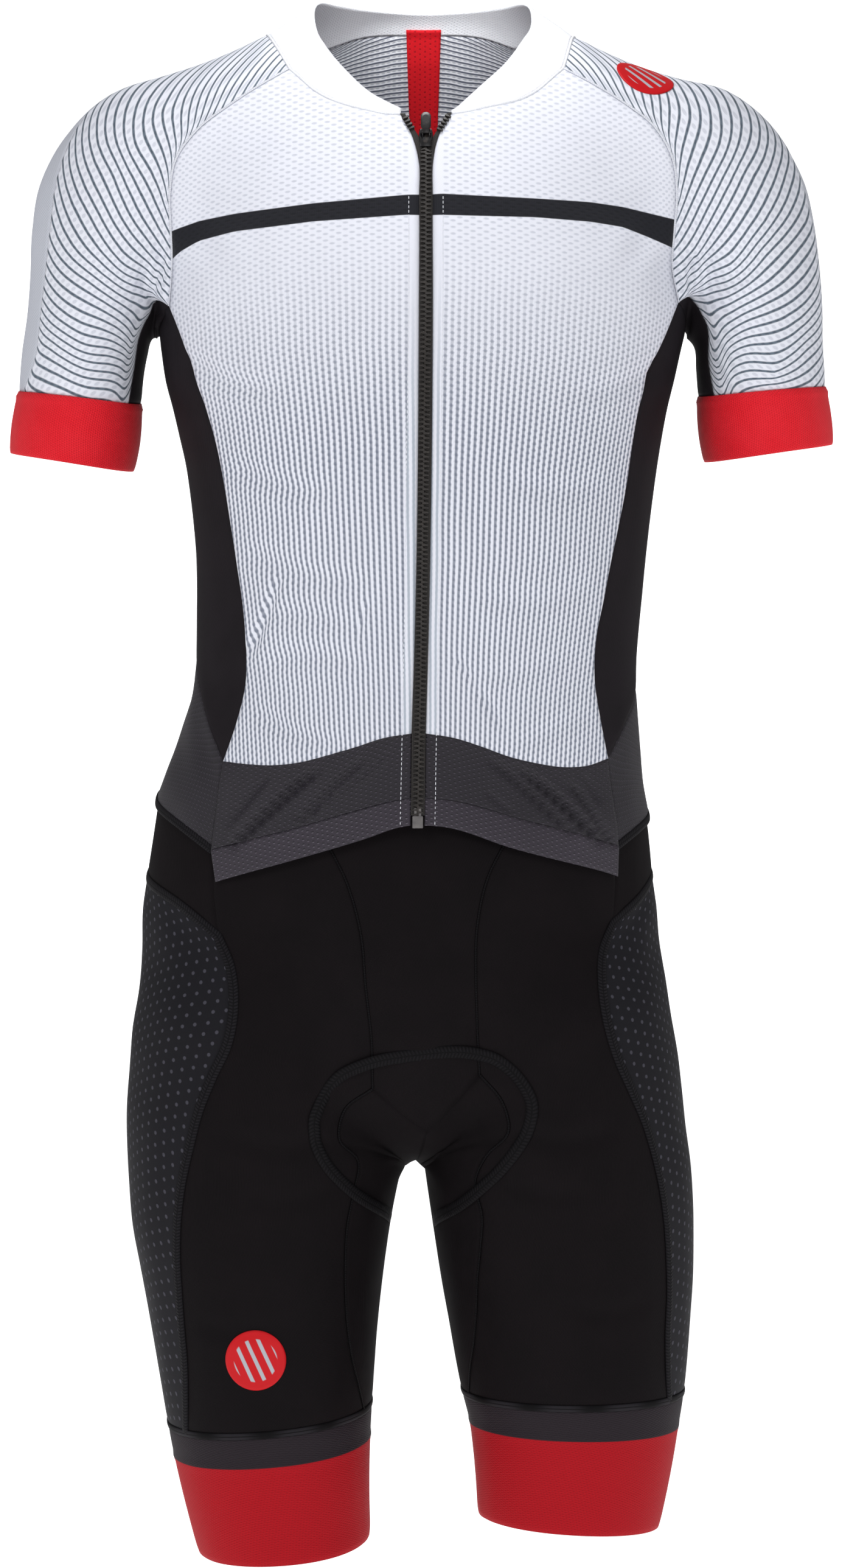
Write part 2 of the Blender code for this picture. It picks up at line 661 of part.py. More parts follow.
# The side panel's top, round the torso from the front: degrees and height.
ARMPIT = {
    "left": [("A", -80, -160), ("A", -85, -165), ("A", -90, -170), ("A", -95, -166), ("A", -100, -160)],
    "right": [("A", 81, -158), ("A", 86, -163), ("A", 92, -167), ("A", 97, -164), ("A", 102, -159)],
}
JOINT_SIDE = {
    "left": [("B", -120, -455), ("A", -92, -461)] + seen("F", (-151.3, -479.7), (-131.3, -495.5)),
    "right": [("B", 108, -456), ("A", 92, -470)] + seen("F", (132.8, -484.9), (122.8, -493)),
}
JOINT_BACK = {
    "left": seen("B", (-120, -455), (-70, -453), (-12, -452)),
    "right": seen("B", (108, -456), (50, -453), (-12, -452)),
}
REAR_UPPER = {"left": seen("B", (-127, -490), (-120, -455)), "right": seen("B", (113, -490), (108, -456))}
REAR_LOWER = {
    "left": seen("B", (-121, -790), (-127, -720), (-130, -640), (-131, -560), (-127, -490)),
    "right": seen("B", (116, -790), (118, -720), (117, -640), (116, -560), (113, -490)),
}
FLATLOCK_UPPER = {
    "left": [("B", -127, -490), ("A", -115, -498), ("A", -90, -510)]
            + seen("F", (-159, -525.5), (-142.1, -537.5), (-128.6, -549.8)),
    "right": [("B", 113, -490), ("A", 118, -498), ("A", 92, -508)]
             + seen("F", (141.3, -520.9), (132.1, -533.2), (121.7, -542.1)),
}
FLATLOCK_LOWER = {
    "left": seen("F", (-149.8, -822), (-152.5, -788.9), (-154.8, -747.3), (-152.1, -709.6), (-146.7, -683.8),
                 (-140.9, -661), (-133.2, -641), (-125.5, -626), (-119.4, -604.5), (-118.6, -587.9),
                 (-120.9, -568.3), (-128.6, -549.8)),
    "right": seen("F", (156.3, -813.5), (157.5, -772.3), (153.6, -714.2), (149, -691.5), (141.3, -665.7),
                  (132.1, -644.1), (123.2, -622.9), (117, -598.7), (114.7, -575.6), (115.5, -557.5),
                  (121.7, -542.1)),
}
WAIST_FRONT = {
    "left": seen("F", (-128.6, -549.8), (-131.7, -516.3), (-131.3, -495.5)),
    "right": seen("F", (121.7, -542.1), (123.2, -511.7), (122.8, -493)),
}
WAIST_TOP = {"left": (-131.7, -75), "right": (123, 70)}      # hidden under the flap
WAIST_HEIGHT = -455
CENTRE_FRONT = {
    "left": seen("F", (-30.6, -646.4), (-30.4, -626), (-32.7, -604.5), (-35.8, -574), (-38.9, -543.6),
                 (-46.2, -517.8), (-57.8, -495.1), (-75, -455)),
    "right": seen("F", (37, -637.4), (36.2, -618.3), (34.7, -565.2), (36.2, -537.8), (40.8, -516.3),
                  (52.4, -493.6), (70, -455)),
}
GUSSET = seen("F", (3.9, -673))
INNER_FRONT = {
    "left": seen("F", (-43.1, -818.5), (-47.4, -746.1), (-44.7, -720.3), (-41.2, -707.6), (-38.5, -699.5),
                 (-53.9, -673), (-30.6, -646.4)),
    "right": seen("F", (34, -800), (36, -760), (38.5, -733), (38.1, -720.3), (33.9, -703.8), (56.6, -668.4),
                  (37, -637.4)),
}
CROTCH = np.array((-3.9, -4.0, -691.0))
CENTRE_BACK = seen("B", (-4, -655), (-8, -560), (-12, -452))
INNER_BACK = {
    "left": seen("B", (-48, -800), (-46, -750), (-36, -700), (-4, -655)),
    "right": seen("B", (42, -800), (40, -750), (30, -700), (-4, -655)),
}
# The collar's top edge as seen from the front, with how far back each place is.
COLLAR_TOP = table("across height depth", (
    (-12.6, -27.5, -66),
    (-33.2, -16.4, -54),
    (-45.9, -4.9, -44),
    (-60, 11.7, -28),
    (-65.8, 22, -15),
    (-67, 34.7, -4),
    (-64, 39.7, 10),
    (-50.8, 38.1, 32),
    (-35.4, 35.8, 46),
    (2.3, 33.1, 60),
    (30, 34.5, 54),
    (50, 37, 40),
    (65, 39, 15),
    (68.5, 36, 2),
    (68.9, 23, -14),
    (65, 17, -24),
    (53.5, 1.5, -40),
    (38.3, -12.5, -52),
    (20.4, -29.1, -66),
))
# Troughs in the front flap: from beside the zip through a bend to the corner, then depth and half width.
HEM_FOLD = {
    "left": table("x1 z1 x2 z2 x3 z3 deep wide", (
        (-57, -436, -86, -462, -117, -492, 2.2, 5.5),
        (-95, -445, -104, -457, -120, -478, 1.2, 4.5),
        (-32, -434, -52, -452, -74, -474, 1.4, 5.0),
    )),
    "right": table("x1 z1 x2 z2 x3 z3 deep wide", (
        (39, -432, 62, -453, 92, -482, 1.6, 5.0),
        (51, -434, 80, -459, 110, -489, 2.2, 5.0),
        (92, -450, 105, -470, 118, -491, 1.3, 4.5),
    )),
}


def straight(places, height, count):
    """Points on the front at one height, hidden under the flap."""
    across = np.linspace(places[0], places[1], count + 1)
    return FRONT.surface(np.stack([across, np.full(count + 1, float(height))], -1))


class Side:
    """The seams and charts of the suit's left or right, named after what they join."""

    def __init__(self, side):
        sign = -1 if side == "left" else 1
        self.sign = sign
        self.arm = RoundArm(arms[side])
        self.sleeve = RoundArm(sleeve_guides[side])
        self.sleeve_below = RoundArm(sleeve_guides[side], 0)
        self.trunk = Round(torso, -180)
        self.leg = Round(legs[side], -180)
        self.leg_outside = Round(legs[side], -180 + 90 * sign)
        self.leg_behind = Round(legs[side], 0 if side == "left" else -360)
        raglan_back = RAGLAN_BACK if side == "left" else mirrored(RAGLAN_BACK)
        self.raglan_front = seam(RAGLAN_FRONT[side], 8)
        self.raglan_back = seam(raglan_back, 8)
        self.side_front = seam(SIDE_FRONT[side], 12)
        self.side_back = seam(SIDE_BACK[side], 12)
        self.side_bottom = seam(SIDE_BOTTOM[side], 6, self.trunk)
        self.front_bottom = seam(FRONT_BOTTOM[side], 7)
        self.hem_edge = seam(HEM_EDGE[side], 4)
        self.band_top = seam(BAND_TOP[side], 21)
        self.band_bottom = seam(BAND_BOTTOM[side], 21)
        self.zip_edge = seam(ZIP_EDGE[side], 20)
        self.zip_hem = seam(seen("F", ZIP_FOOT[side][1], ZIP_EDGE[side][0][1:]), 8)
        self.zip_foot = seam(seen("F", *ZIP_FOOT[side]), 1)
        self.collar_front = seam(COLLAR_FRONT[side], 7)
        collar_side = [("A", *place) for place in COLLAR_SIDE]
        self.collar_side = seam([self.collar_front[0]] + collar_side, 7, self.arm)
        self.collar_rear = seam([self.collar_side[-1], self.raglan_back[-1]], 6)
        self.armpit = seam([self.raglan_front[0]] + ARMPIT[side] + [self.raglan_back[0]], 6, self.trunk)
        self.cuff_rings(side)
        cuff = self.cuff_seam
        stripes = [("A", *place) for place in STRIPE_SEAM[side]]
        self.stripes = seam([cuff[7]] + stripes + [self.collar_side[-1]], 12, self.arm)
        self.underarm_front = seam([cuff[0]] + UNDERARM_FRONT[side] + [self.raglan_front[0]], 4, self.arm)
        self.underarm_rear = seam([cuff[13]] + UNDERARM_REAR[side] + [self.raglan_back[0]], 4, self.arm)
        self.joint_side = seam(JOINT_SIDE[side], 6, self.trunk)
        self.joint_back = seam(JOINT_BACK[side], 6)
        self.rear_upper = seam(REAR_UPPER[side], 2)
        self.flatlock_upper = seam(FLATLOCK_UPPER[side], 6, self.trunk)
        self.waist_front = seam(WAIST_FRONT[side], 2)
        self.waist_hidden = seam([self.waist_front[-1], ("F", WAIST_TOP[side][0], WAIST_HEIGHT)], 1)
        self.waist_top = straight(WAIST_TOP[side], WAIST_HEIGHT, 7)
        self.centre_front = seam(CENTRE_FRONT[side], 6)
        self.gusset = seam([self.centre_front[0]] + GUSSET, 5)
        self.crotch = seam([("B", *INNER_BACK[side][-1][1:]), CROTCH, self.gusset[-1]], 4)
        self.centre_back = seam(CENTRE_BACK, 9)
        self.leg_rings(side)
        self.flatlock_lower = seam([self.leg_seam[0]] + FLATLOCK_LOWER[side], 14)
        self.inner_front = seam([self.leg_seam[7]] + INNER_FRONT[side], 11)
        self.inner_back = seam([self.leg_seam[12]] + INNER_BACK[side], 7)
        self.rear_lower = seam([self.leg_seam[18]] + REAR_LOWER[side], 14)

    def cuff_rings(self, side):
        """Rings of 19 faces, from the front underarm seam over the top to the rear one, and underneath."""
        corner = CUFF_CORNER[side]
        turns = ((corner["front"], corner["stripes"], 7), (corner["stripes"], corner["rear"] - 360, 6),
                 (corner["rear"] - 360, corner["front"] - 360, 6))
        self.cuff_seam, self.cuff_hem = (
            join(*(cuff_arc(self.arm, level, *turn) for turn in turns)) for level in CUFF_RING[side].values())

    def leg_rings(self, side):
        """Rings of 24 faces, from the flat seam across the front, the inner leg and the back."""
        corner = LEG_CORNER[side]
        again = corner["flatlock"] - self.sign * 360
        turns = ((corner["flatlock"], corner["inner_front"], 7), (corner["inner_front"], corner["inner_back"], 5),
                 (corner["inner_back"], corner["rear"], 6), (corner["rear"], again, 6))
        self.leg_seam, self.leg_hem = (
            join(*(ring_arc(self.leg, level, *turn) for turn in turns)) for level in LEG_RING[side].values())


SIDES = {side: Side(side) for side in ("left", "right")}


# ---------------------------------------------------------------------------------------------------
# Making the pieces.

COLOUR = {
    "white": (0.84, 0.86, 0.92),
    "stripes": (0.52, 0.56, 0.62),
    "mesh": (0.036, 0.029, 0.037),
    "side": (0.023, 0.019, 0.023),
    "black": (0.007, 0.007, 0.008),
    "dotted": (0.019, 0.018, 0.024),
    "red": (0.69, 0.012, 0.022),
    "band": (0.48, 0.018, 0.03),
    "metal": (0.09, 0.085, 0.08),
    "tape": (0.012, 0.011, 0.012),
}


def finish(name, bm, colour, roughness=0.85, metallic=0.0):
    """An object in the scene from a mesh, with a material of its own."""
    bmesh.ops.recalc_face_normals(bm, faces=bm.faces[:])
    mesh = bpy.data.meshes.new(name)
    bm.to_mesh(mesh)
    bm.free()
    item = bpy.data.objects.new(name, mesh)
    bpy.context.scene.collection.objects.link(item)
    material = bpy.data.materials.new(name)
    material.use_nodes = True
    surface = material.node_tree.nodes["Principled BSDF"]
    surface.inputs["Base Color"].default_value = (*COLOUR[colour], 1)
    surface.inputs["Roughness"].default_value = roughness
    surface.inputs["Metallic"].default_value = metallic
    mesh.materials.append(material)
    return item


def wall(name, inner, outer, colour, ring=False):
    """A closed wall of cloth between two grids of points, or a tube of it."""
    across, up = inner.shape[0] - 1, inner.shape[1] - 1
    bm = bmesh.new()
    bmesh.ops.create_grid(bm, x_segments=across, y_segments=up, size=1)
    place = bm.verts.layers.int.new("place")
    flat = outer.reshape(-1, 3) * MM
    for vert in bm.verts:
        i, j = round((vert.co.x + 1) / 2 * across), round((vert.co.y + 1) / 2 * up)
        vert[place] = i * (up + 1) + j
        vert.co = flat[vert[place]]
    if ring:
        bmesh.ops.remove_doubles(bm, verts=bm.verts[:], dist=1e-6)
    made = bmesh.ops.extrude_face_region(bm, geom=bm.faces[:], use_keep_orig=True)
    flat = inner.reshape(-1, 3) * MM
    for vert in made["geom"]:
        if isinstance(vert, bmesh.types.BMVert):
            vert.co = flat[vert[place]]
    mesh = finish(name, bm, colour).data
    mesh.shade_smooth()
    mesh.set_sharp_from_angle(angle=math.radians(SHARP))


def cloth(name, grid, layer, colour, rise=None, ring=False):
    """One panel of cloth on the form, drawn in at its seams, with its faces as far out as the layer says."""
    out = normals(grid)
    grid = inset(grid, LAYER_GAP / 2, ring)
    rise = 0.0 if rise is None else rise(grid)[..., None]
    return wall(name, grid + out * (layer[0] + rise), grid + out * (layer[1] + rise), colour, ring)


def fold_depth(where, side):
    """How far the flap's troughs and the ridges beside them move it out, at places in the front view."""
    rows = HEM_FOLD[side]
    total = np.zeros(where.shape[:-1])
    t = np.linspace(0, 1, 13)[:, None]
    for k in range(len(rows["deep"])):
        ends = [np.array([rows[f"x{i}"][k], rows[f"z{i}"][k]]) for i in (1, 2, 3)]
        bend = 2 * ends[1] - (ends[0] + ends[2]) / 2
        line = ends[0] * (1 - t)**2 + bend * 2 * t * (1 - t) + ends[2] * t**2
        gap = np.linalg.norm(where[..., None, :] - line, axis=-1)
        nearest = gap.argmin(-1) / (len(line) - 1)
        fade = soft_step(nearest / FOLD["start"]) * soft_step((FOLD["last"] - nearest) / FOLD["end"])
        spread = (gap.min(-1) / rows["wide"][k])**2
        total -= rows["deep"][k] * fade * (1 - FOLD["ridge"] * spread) * np.exp(-spread)
    return total


def flap_rise(side):
    """How far the front flap stands off the form: more towards its hem, less at its side seam, with folds."""
    edge = SIDES[side].front_bottom
    edge = edge[np.argsort(edge[:, 0])]

    def rise(point):
        where = FRONT.locate(point)
        top = np.interp(point[..., 0], edge[:, 0], edge[:, 2])
        below = top - point[..., 2]
        held = soft_step((np.abs(where[..., 0]) - FLAP_SIDE["from"]) / FLAP_SIDE["over"])
        lift = FLAP_LIFT * soft_step(below / FLAP_RAMP) * (1 - FLAP_SIDE["loss"] * held)
        return lift + fold_depth(where, side) * soft_step(below / FOLD_RAMP)

    return rise


def tuck(point):
    """The shorts' front sinks where it passes under the flap."""
    return -FLAP_SINK * soft_step((point[..., 2] - TUCK["height"]) / TUCK["over"])


def make_jersey(side):
    s = SIDES[side]
    order = slice(None) if side == "left" else slice(None, None, -1)
    pair = (join(s.side_front, s.raglan_front), s.zip_edge)[order]
    cloth(f"front_{side}", patch(FRONT, s.front_bottom, s.collar_front[order], *pair), JERSEY, "white")
    pair = (finer(s.hem_edge, 2), s.zip_hem)[order]
    rise = flap_rise(side)
    cloth(f"front_hem_{side}", patch(FRONT, s.band_top, finer(s.front_bottom, 3), *pair), JERSEY, "mesh", rise)
    ends = (seam([s.band_bottom[0], s.band_top[0]], 2), seam([s.band_bottom[-1], s.band_top[-1]], 2))
    cloth(f"hem_band_{side}", patch(FRONT, s.band_bottom, s.band_top, *ends), JERSEY, "mesh", rise)
    panel = relax(patch(s.trunk, s.side_bottom, s.armpit, s.side_front, s.side_back))
    cloth(f"side_panel_{side}", panel, JERSEY, "side")


def make_sleeve(side):
    s = SIDES[side]
    front_edge = join(s.underarm_front, s.raglan_front)
    rear_edge = join(s.underarm_rear, s.raglan_back)
    front = relax(patch(s.sleeve, s.cuff_seam[:8], s.collar_side, front_edge, s.stripes))
    cloth(f"sleeve_{side}", front, JERSEY, "stripes")
    back = relax(patch(s.sleeve, s.cuff_seam[7:14], s.collar_rear, s.stripes, rear_edge))
    cloth(f"sleeve_back_{side}", back, JERSEY, "white")
    bottom = s.cuff_seam[13:][::-1]
    below = relax(patch(s.sleeve_below, bottom, s.armpit, s.underarm_front, s.underarm_rear))
    cloth(f"underarm_{side}", below, JERSEY, "side")
    v = np.linspace(0, 1, 5)
    swell = CUFF_SWELL["middle"] * np.sin(np.pi * v) + CUFF_SWELL["top"] * (1 - v)
    ring = between(s.cuff_seam, s.cuff_hem)
    cloth(f"cuff_{side}", ring, JERSEY, "red", lambda grid: swell * np.ones(grid.shape[:-1]), ring=True)
    return front


def make_back():
    left, right = SIDES["left"], SIDES["right"]
    bottom, top = seam(BACK_BOTTOM, 12), seam(COLLAR_BACK, 12)
    chart = Round(torso, 0)
    pair = [join(s.side_back, s.raglan_back) for s in (left, right)]
    panel = patch(chart, bottom, top, *pair)
    cloth("back_panel", panel, JERSEY, "white")
    joint = join(left.joint_side[::-1], left.joint_back, right.joint_back[::-1], right.joint_side)
    waist = join(left.side_bottom, bottom, right.side_bottom[::-1])
    cloth("back_mesh", patch(chart, joint, waist, left.hem_edge, right.hem_edge), JERSEY, "mesh")
    return panel


def make_shorts(side):
    s = SIDES[side]
    front_edge = join(s.flatlock_lower, s.waist_front, s.waist_hidden)
    front = patch(s.leg, s.leg_seam[:8], s.waist_top, front_edge, join(s.inner_front, s.centre_front))
    cloth(f"thigh_front_{side}", front, SHORTS, "black", tuck)
    inner = patch(Space(), s.leg_seam[7:13], s.gusset, s.inner_front, join(s.inner_back, s.crotch))
    cloth(f"inner_leg_{side}", inner, SHORTS, "black")
    outside = patch(s.leg_outside, s.leg_seam[18:], s.flatlock_upper, s.rear_lower, s.flatlock_lower)
    cloth(f"thigh_side_{side}", outside, SHORTS, "dotted")
    waist = patch(s.trunk, s.flatlock_upper, s.joint_side, s.rear_upper, s.waist_front)
    cloth(f"waist_side_{side}", waist, SHORTS, "black")
    seat = patch(s.leg_behind, s.leg_seam[12:19], s.joint_back[::-1], join(s.inner_back, s.centre_back),
                 join(s.rear_lower, s.rear_upper))
    cloth(f"shorts_back_{side}", seat, SHORTS, "black")
    cloth(f"leg_band_{side}", between(s.leg_hem, s.leg_seam), SHORTS, "band", ring=True)
    return front


def make_shorts_front():
    left, right = SIDES["left"], SIDES["right"]
    bottom = join(left.gusset, right.gusset[::-1])
    top = straight((WAIST_TOP["left"][1], WAIST_TOP["right"][1]), WAIST_HEIGHT, 10)
    cloth("shorts_front", patch(FRONT, bottom, top, left.centre_front, right.centre_front), SHORTS, "black", tuck)


def square_to(grid, centre):
    """Unit normals of a grid of points itself, pointing away from a centre."""
    out = unit(np.cross(np.gradient(grid, axis=0), np.gradient(grid, axis=1)))
    return out * np.sign(((grid - centre) * out).sum(-1, keepdims=True))


def make_collar():
    """The standing collar, from the front round the back to the front again."""
    left, right = SIDES["left"], SIDES["right"]
    base = join(left.collar_front[::-1], left.collar_side, left.collar_rear, seam(COLLAR_BACK, 12),
                right.collar_rear[::-1], right.collar_side[::-1], right.collar_front)
    where = np.stack([COLLAR_TOP["across"], COLLAR_TOP["height"]], -1)
    gone = np.concatenate(([0], np.cumsum(np.linalg.norm(np.diff(base, axis=0), axis=-1))))
    steps = 400
    fine = spline(FRONT.at_depth(where, COLLAR_TOP["depth"]), steps)
    share = gone / gone[-1] * steps
    top = np.stack([np.interp(share, np.arange(steps + 1), fine[:, axis]) for axis in range(3)], -1)
    start = base + unit(top - base) * COLLAR_START
    v = np.linspace(0, 1, 4)[None, :, None]
    grid = start[:, None] * (1 - v) + top[:, None] * v
    out = square_to(grid, COLLAR_CENTRE)
    grid = grid + out * COLLAR_SWELL * np.sin(np.pi * v)
    wall("collar", grid, grid + out * WALL, "white")
    return grid


class Skin:
    """The faces of a panel, for finding where a straight line meets them."""

    def __init__(self, *grids):
        corners, faces = [], []
        for grid in grids:
            start, up = len(corners), grid.shape[1]
            corners += [tuple(corner) for corner in grid.reshape(-1, 3)]
            for i in range(grid.shape[0] - 1):
                for j in range(up - 1):
                    a = start + i * up + j
                    faces.append((a, a + up, a + up + 1, a + 1))
        self.tree = BVHTree.FromPolygons(corners, faces)

    def touch(self, start, direction):
        """Where lines from the given points meet the faces."""
        hits = [self.tree.ray_cast(Vector(place), Vector(direction))[0] for place in start.reshape(-1, 3)]
        missed = [place for place, hit in zip(start.reshape(-1, 3), hits) if hit is None]
        if missed:
            raise ValueError(f"{len(missed)} lines miss the panel, the first from {missed[0]}")
        return np.array(hits, float).reshape(start.shape)


def make_patch(name, grid, layer, view_place):
    """A patch on a panel, round as it lies on the cloth."""
    skin = Skin(grid + outward(grid) * layer[1])
    middle = FRONT.surface(np.array([view_place], float))[0]
    out = outward(middle[None])[0]
    side = unit(np.cross((0, 0, 1.0), out))
    up = np.cross(out, side)
    square = np.linspace(-1, 1, PATCH_GRID + 1)
    u, v = (axis[..., None] for axis in np.meshgrid(square, square, indexing="ij"))
    disc = u * np.sqrt(1 - v * v / 2) * side + v * np.sqrt(1 - u * u / 2) * up
    lying = skin.touch(middle + PATCH_ABOVE * out + PATCH_RADIUS * disc, -out)
    wall(name, lying + out * TRIM_LIFT, lying + out * (TRIM_LIFT + TRIM), "red")


def make_neck_strip(collar, back):
    """The strip inside the back of the neck, on the collar and on the back below it."""
    skin = Skin(collar, back + outward(back) * JERSEY[0])
    u = np.linspace(0, 1, 4)[:, None]
    ends = NECK_STRIP["bottom"], NECK_STRIP["top"]
    height = np.linspace(*ends, 9)[None, :]
    wide = np.interp(height, ends, (NECK_STRIP["narrow"], NECK_STRIP["wide"]))
    start = np.stack(np.broadcast_arrays(NECK_STRIP["middle"] + (u - 0.5) * wide, 0.0, height), -1)
    lying = skin.touch(start, (0, 1, 0))
    towards = np.array((0, -1, 0))
    wall("neck_strip", lying + towards * (TRIM_LIFT + TRIM), lying + towards * TRIM_LIFT, "red")


def make_zip(side):
    """One half of the zip: tape and teeth, flat between the front's edge and the middle."""
    s = SIDES[side]
    edge = join(s.zip_foot, s.zip_hem, s.zip_edge)
    rows = ZIP_MIDDLE
    height = FRONT.locate(edge)[:, 1]
    middle = FRONT.surface(np.stack([np.interp(height, rows["height"], rows[side]), height], -1))
    cloth(f"zip_{side}", np.stack([edge, middle]), ZIP_LAYER, "tape", flap_rise(side))


def extruded(name, outline, start, end, colour):
    """A solid with an outline in (out, up) that runs along X from start to end, in millimetres."""
    bm = bmesh.new()
    corners = [bm.verts.new((start * MM, -out * MM, up * MM)) for out, up in outline]
    face = bm.faces.new(corners)
    made = bmesh.ops.extrude_face_region(bm, geom=[face], use_keep_orig=True)
    new = [item for item in made["geom"] if isinstance(item, bmesh.types.BMVert)]
    bmesh.ops.translate(bm, verts=new, vec=((end - start) * MM, 0, 0))
    return finish(name, bm, colour, roughness=0.4, metallic=0.6)


def lean_on(item, place, tilt):
    """Put a piece that was made upright at a place on the front, leaning back with the cloth."""
    item.location = Vector(place) * MM
    item.rotation_euler = (tilt, 0, 0)


def fuse(body, *others):
    """Join the others into the body and leave them out of the model."""
    for other in others:
        joined = body.modifiers.new(other.name, "BOOLEAN")
        joined.operation = "UNION"
        joined.object = other
        other.hide_render = True
        other.display_type = "WIRE"


def surface_lean(view_place):
    """A place on the front, and how far the cloth leans back there."""
    place = FRONT.surface(np.array([view_place], float))
    out = outward(place)[0]
    return place[0], math.atan2(out[2], -out[1])


def make_zip_parts():
    """The slider, its pull, and the box at the bottom."""
    place, tilt = surface_lean((ZIP_X_TOP, SLIDER["height"]))
    half = SLIDER["length"] / 2
    low, high = SLIDER["below"], SLIDER["above"]
    bridge = half - SLIDER["bridge"]
    outline = ((low[0], -half), (low[1], -half), (low[1], bridge), (high[0], bridge), (high[0], -half),
               (high[1], -half), (high[1], half), (low[0], half))
    slider = extruded("zip_slider", outline, -SLIDER["width"] / 2, SLIDER["width"] / 2, "metal")
    hinge = (PULL["out"], PULL["up"])
    root, tip = high[1] - EAR["root"], hinge[0] + EAR["reach"]
    for name, sign in (("ear_left", -1), ("ear_right", 1)):
        outline = ((root, hinge[1] - EAR["reach"]), (tip, hinge[1] - EAR["crown"]),
                   (tip, hinge[1] + EAR["crown"]), (root, hinge[1] + EAR["reach"]))
        ends = sorted((sign * EAR["inner"], sign * EAR["outer"]))
        piece = extruded(name, outline, *ends, "metal")
        lean_on(piece, place, -tilt)
        fuse(slider, piece)
    lean_on(slider, place, -tilt)
    out, up = np.array((0, -math.cos(tilt), math.sin(tilt))), np.array((0, math.sin(tilt), math.cos(tilt)))
    lean_on(pull_tab(), place + out * hinge[0] + up * hinge[1], -tilt)
    place, tilt = surface_lean((ZIP_X_FOOT, BOX["height"]))
    rise = float(flap_rise("left")(place[None])[0])
    low, high, half = BOX["low"] + rise, BOX["high"] + rise, BOX["length"] / 2
    bevel = BOX["chamfer"]
    outline = ((low, -half), (high - bevel, -half), (high, bevel - half), (high, half - bevel),
               (high - bevel, half), (low, half))
    box = extruded("zip_box", outline, -BOX["width"] / 2, BOX["width"] / 2, "metal")
    lean_on(box, place, -tilt)


def pull_tab():
    """A flat tab with a narrow tongue at the hinge and a round end. It points up at 0 degrees."""
    tongue, wide, tip = PULL["tongue"] / 2, PULL["width"] / 2, PULL["length"]
    turn = np.linspace(0, math.pi, 9)
    crown = [(wide * math.cos(a), tip - wide + wide * math.sin(a)) for a in turn]
    shoulder, foot = PULL["shoulder"], -PULL["heel"]
    heel = [(-wide, shoulder), (-tongue, shoulder), (-tongue, foot), (tongue, foot), (tongue, shoulder)]
    outline = [(wide, shoulder)] + crown + heel
    bm = bmesh.new()
    corners = [bm.verts.new((x * MM, -PULL["thick"] / 2 * MM, up * MM)) for x, up in outline]
    face = bm.faces.new(corners)
    made = bmesh.ops.extrude_face_region(bm, geom=[face], use_keep_orig=True)
    new = [item for item in made["geom"] if isinstance(item, bmesh.types.BMVert)]
    bmesh.ops.translate(bm, verts=new, vec=(0, PULL["thick"] * MM, 0))
    return finish("zip_pull", bm, "metal", roughness=0.4, metallic=0.6)


def main():
    for item in list(bpy.data.objects):
        bpy.data.objects.remove(item, do_unlink=True)
    sleeve, thigh = {}, {}
    for side in ("left", "right"):
        make_jersey(side)
        sleeve[side] = make_sleeve(side)
        thigh[side] = make_shorts(side)
        make_zip(side)
    back = make_back()
    make_shorts_front()
    collar = make_collar()
    make_neck_strip(collar, back)
    make_zip_parts()
    make_patch("patch_shoulder", sleeve["right"], JERSEY, PATCH_SHOULDER)
    make_patch("patch_thigh", thigh["left"], SHORTS, PATCH_THIGH)


main()
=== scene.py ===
"""Looks of a cycling speed suit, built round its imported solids.

Lengths are in millimetres until a mesh is written. X runs to the viewer's right, -Y is the front and
+Z is up. Left and right are as seen from the front. The cloth lies on the same general form as the
solids: level sections for the torso and the legs, and rings along a curved line for each arm.
"""

from __future__ import annotations

import logging
import math
from dataclasses import dataclass, field
from enum import Enum
from typing import Callable, Sequence

import bmesh
import bpy
import numpy as np
from mathutils import Matrix, Vector
from mathutils.bvhtree import BVHTree


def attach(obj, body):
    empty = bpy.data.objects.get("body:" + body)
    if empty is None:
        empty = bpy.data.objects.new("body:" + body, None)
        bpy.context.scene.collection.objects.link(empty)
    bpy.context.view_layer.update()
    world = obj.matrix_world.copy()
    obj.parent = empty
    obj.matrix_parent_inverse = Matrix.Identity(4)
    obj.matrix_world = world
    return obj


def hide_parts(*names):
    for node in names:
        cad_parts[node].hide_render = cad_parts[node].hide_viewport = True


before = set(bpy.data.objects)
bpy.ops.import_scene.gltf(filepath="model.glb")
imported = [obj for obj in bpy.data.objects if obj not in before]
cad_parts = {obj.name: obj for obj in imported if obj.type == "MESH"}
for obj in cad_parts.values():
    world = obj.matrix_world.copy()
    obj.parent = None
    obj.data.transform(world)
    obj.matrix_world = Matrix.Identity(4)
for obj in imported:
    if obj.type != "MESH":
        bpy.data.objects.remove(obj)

Array = np.ndarray
Rows = dict[str, Array]

log = logging.getLogger("speed_suit")

MM = 0.001
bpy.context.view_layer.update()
GARMENT = "garment"
TAB = "zip_pull"

# The photograph's frame and viewpoint, with the scale of the upright plane through the origin.
PHOTO_HEIGHT = 2576
PHOTO_SCALE = 0.385
PHOTO_ORIGIN = (692.0, 110.0)
VIEW_DISTANCE = 2500.0
VIEW_HEIGHT = PHOTO_SCALE * (PHOTO_ORIGIN[1] - PHOTO_HEIGHT / 2)

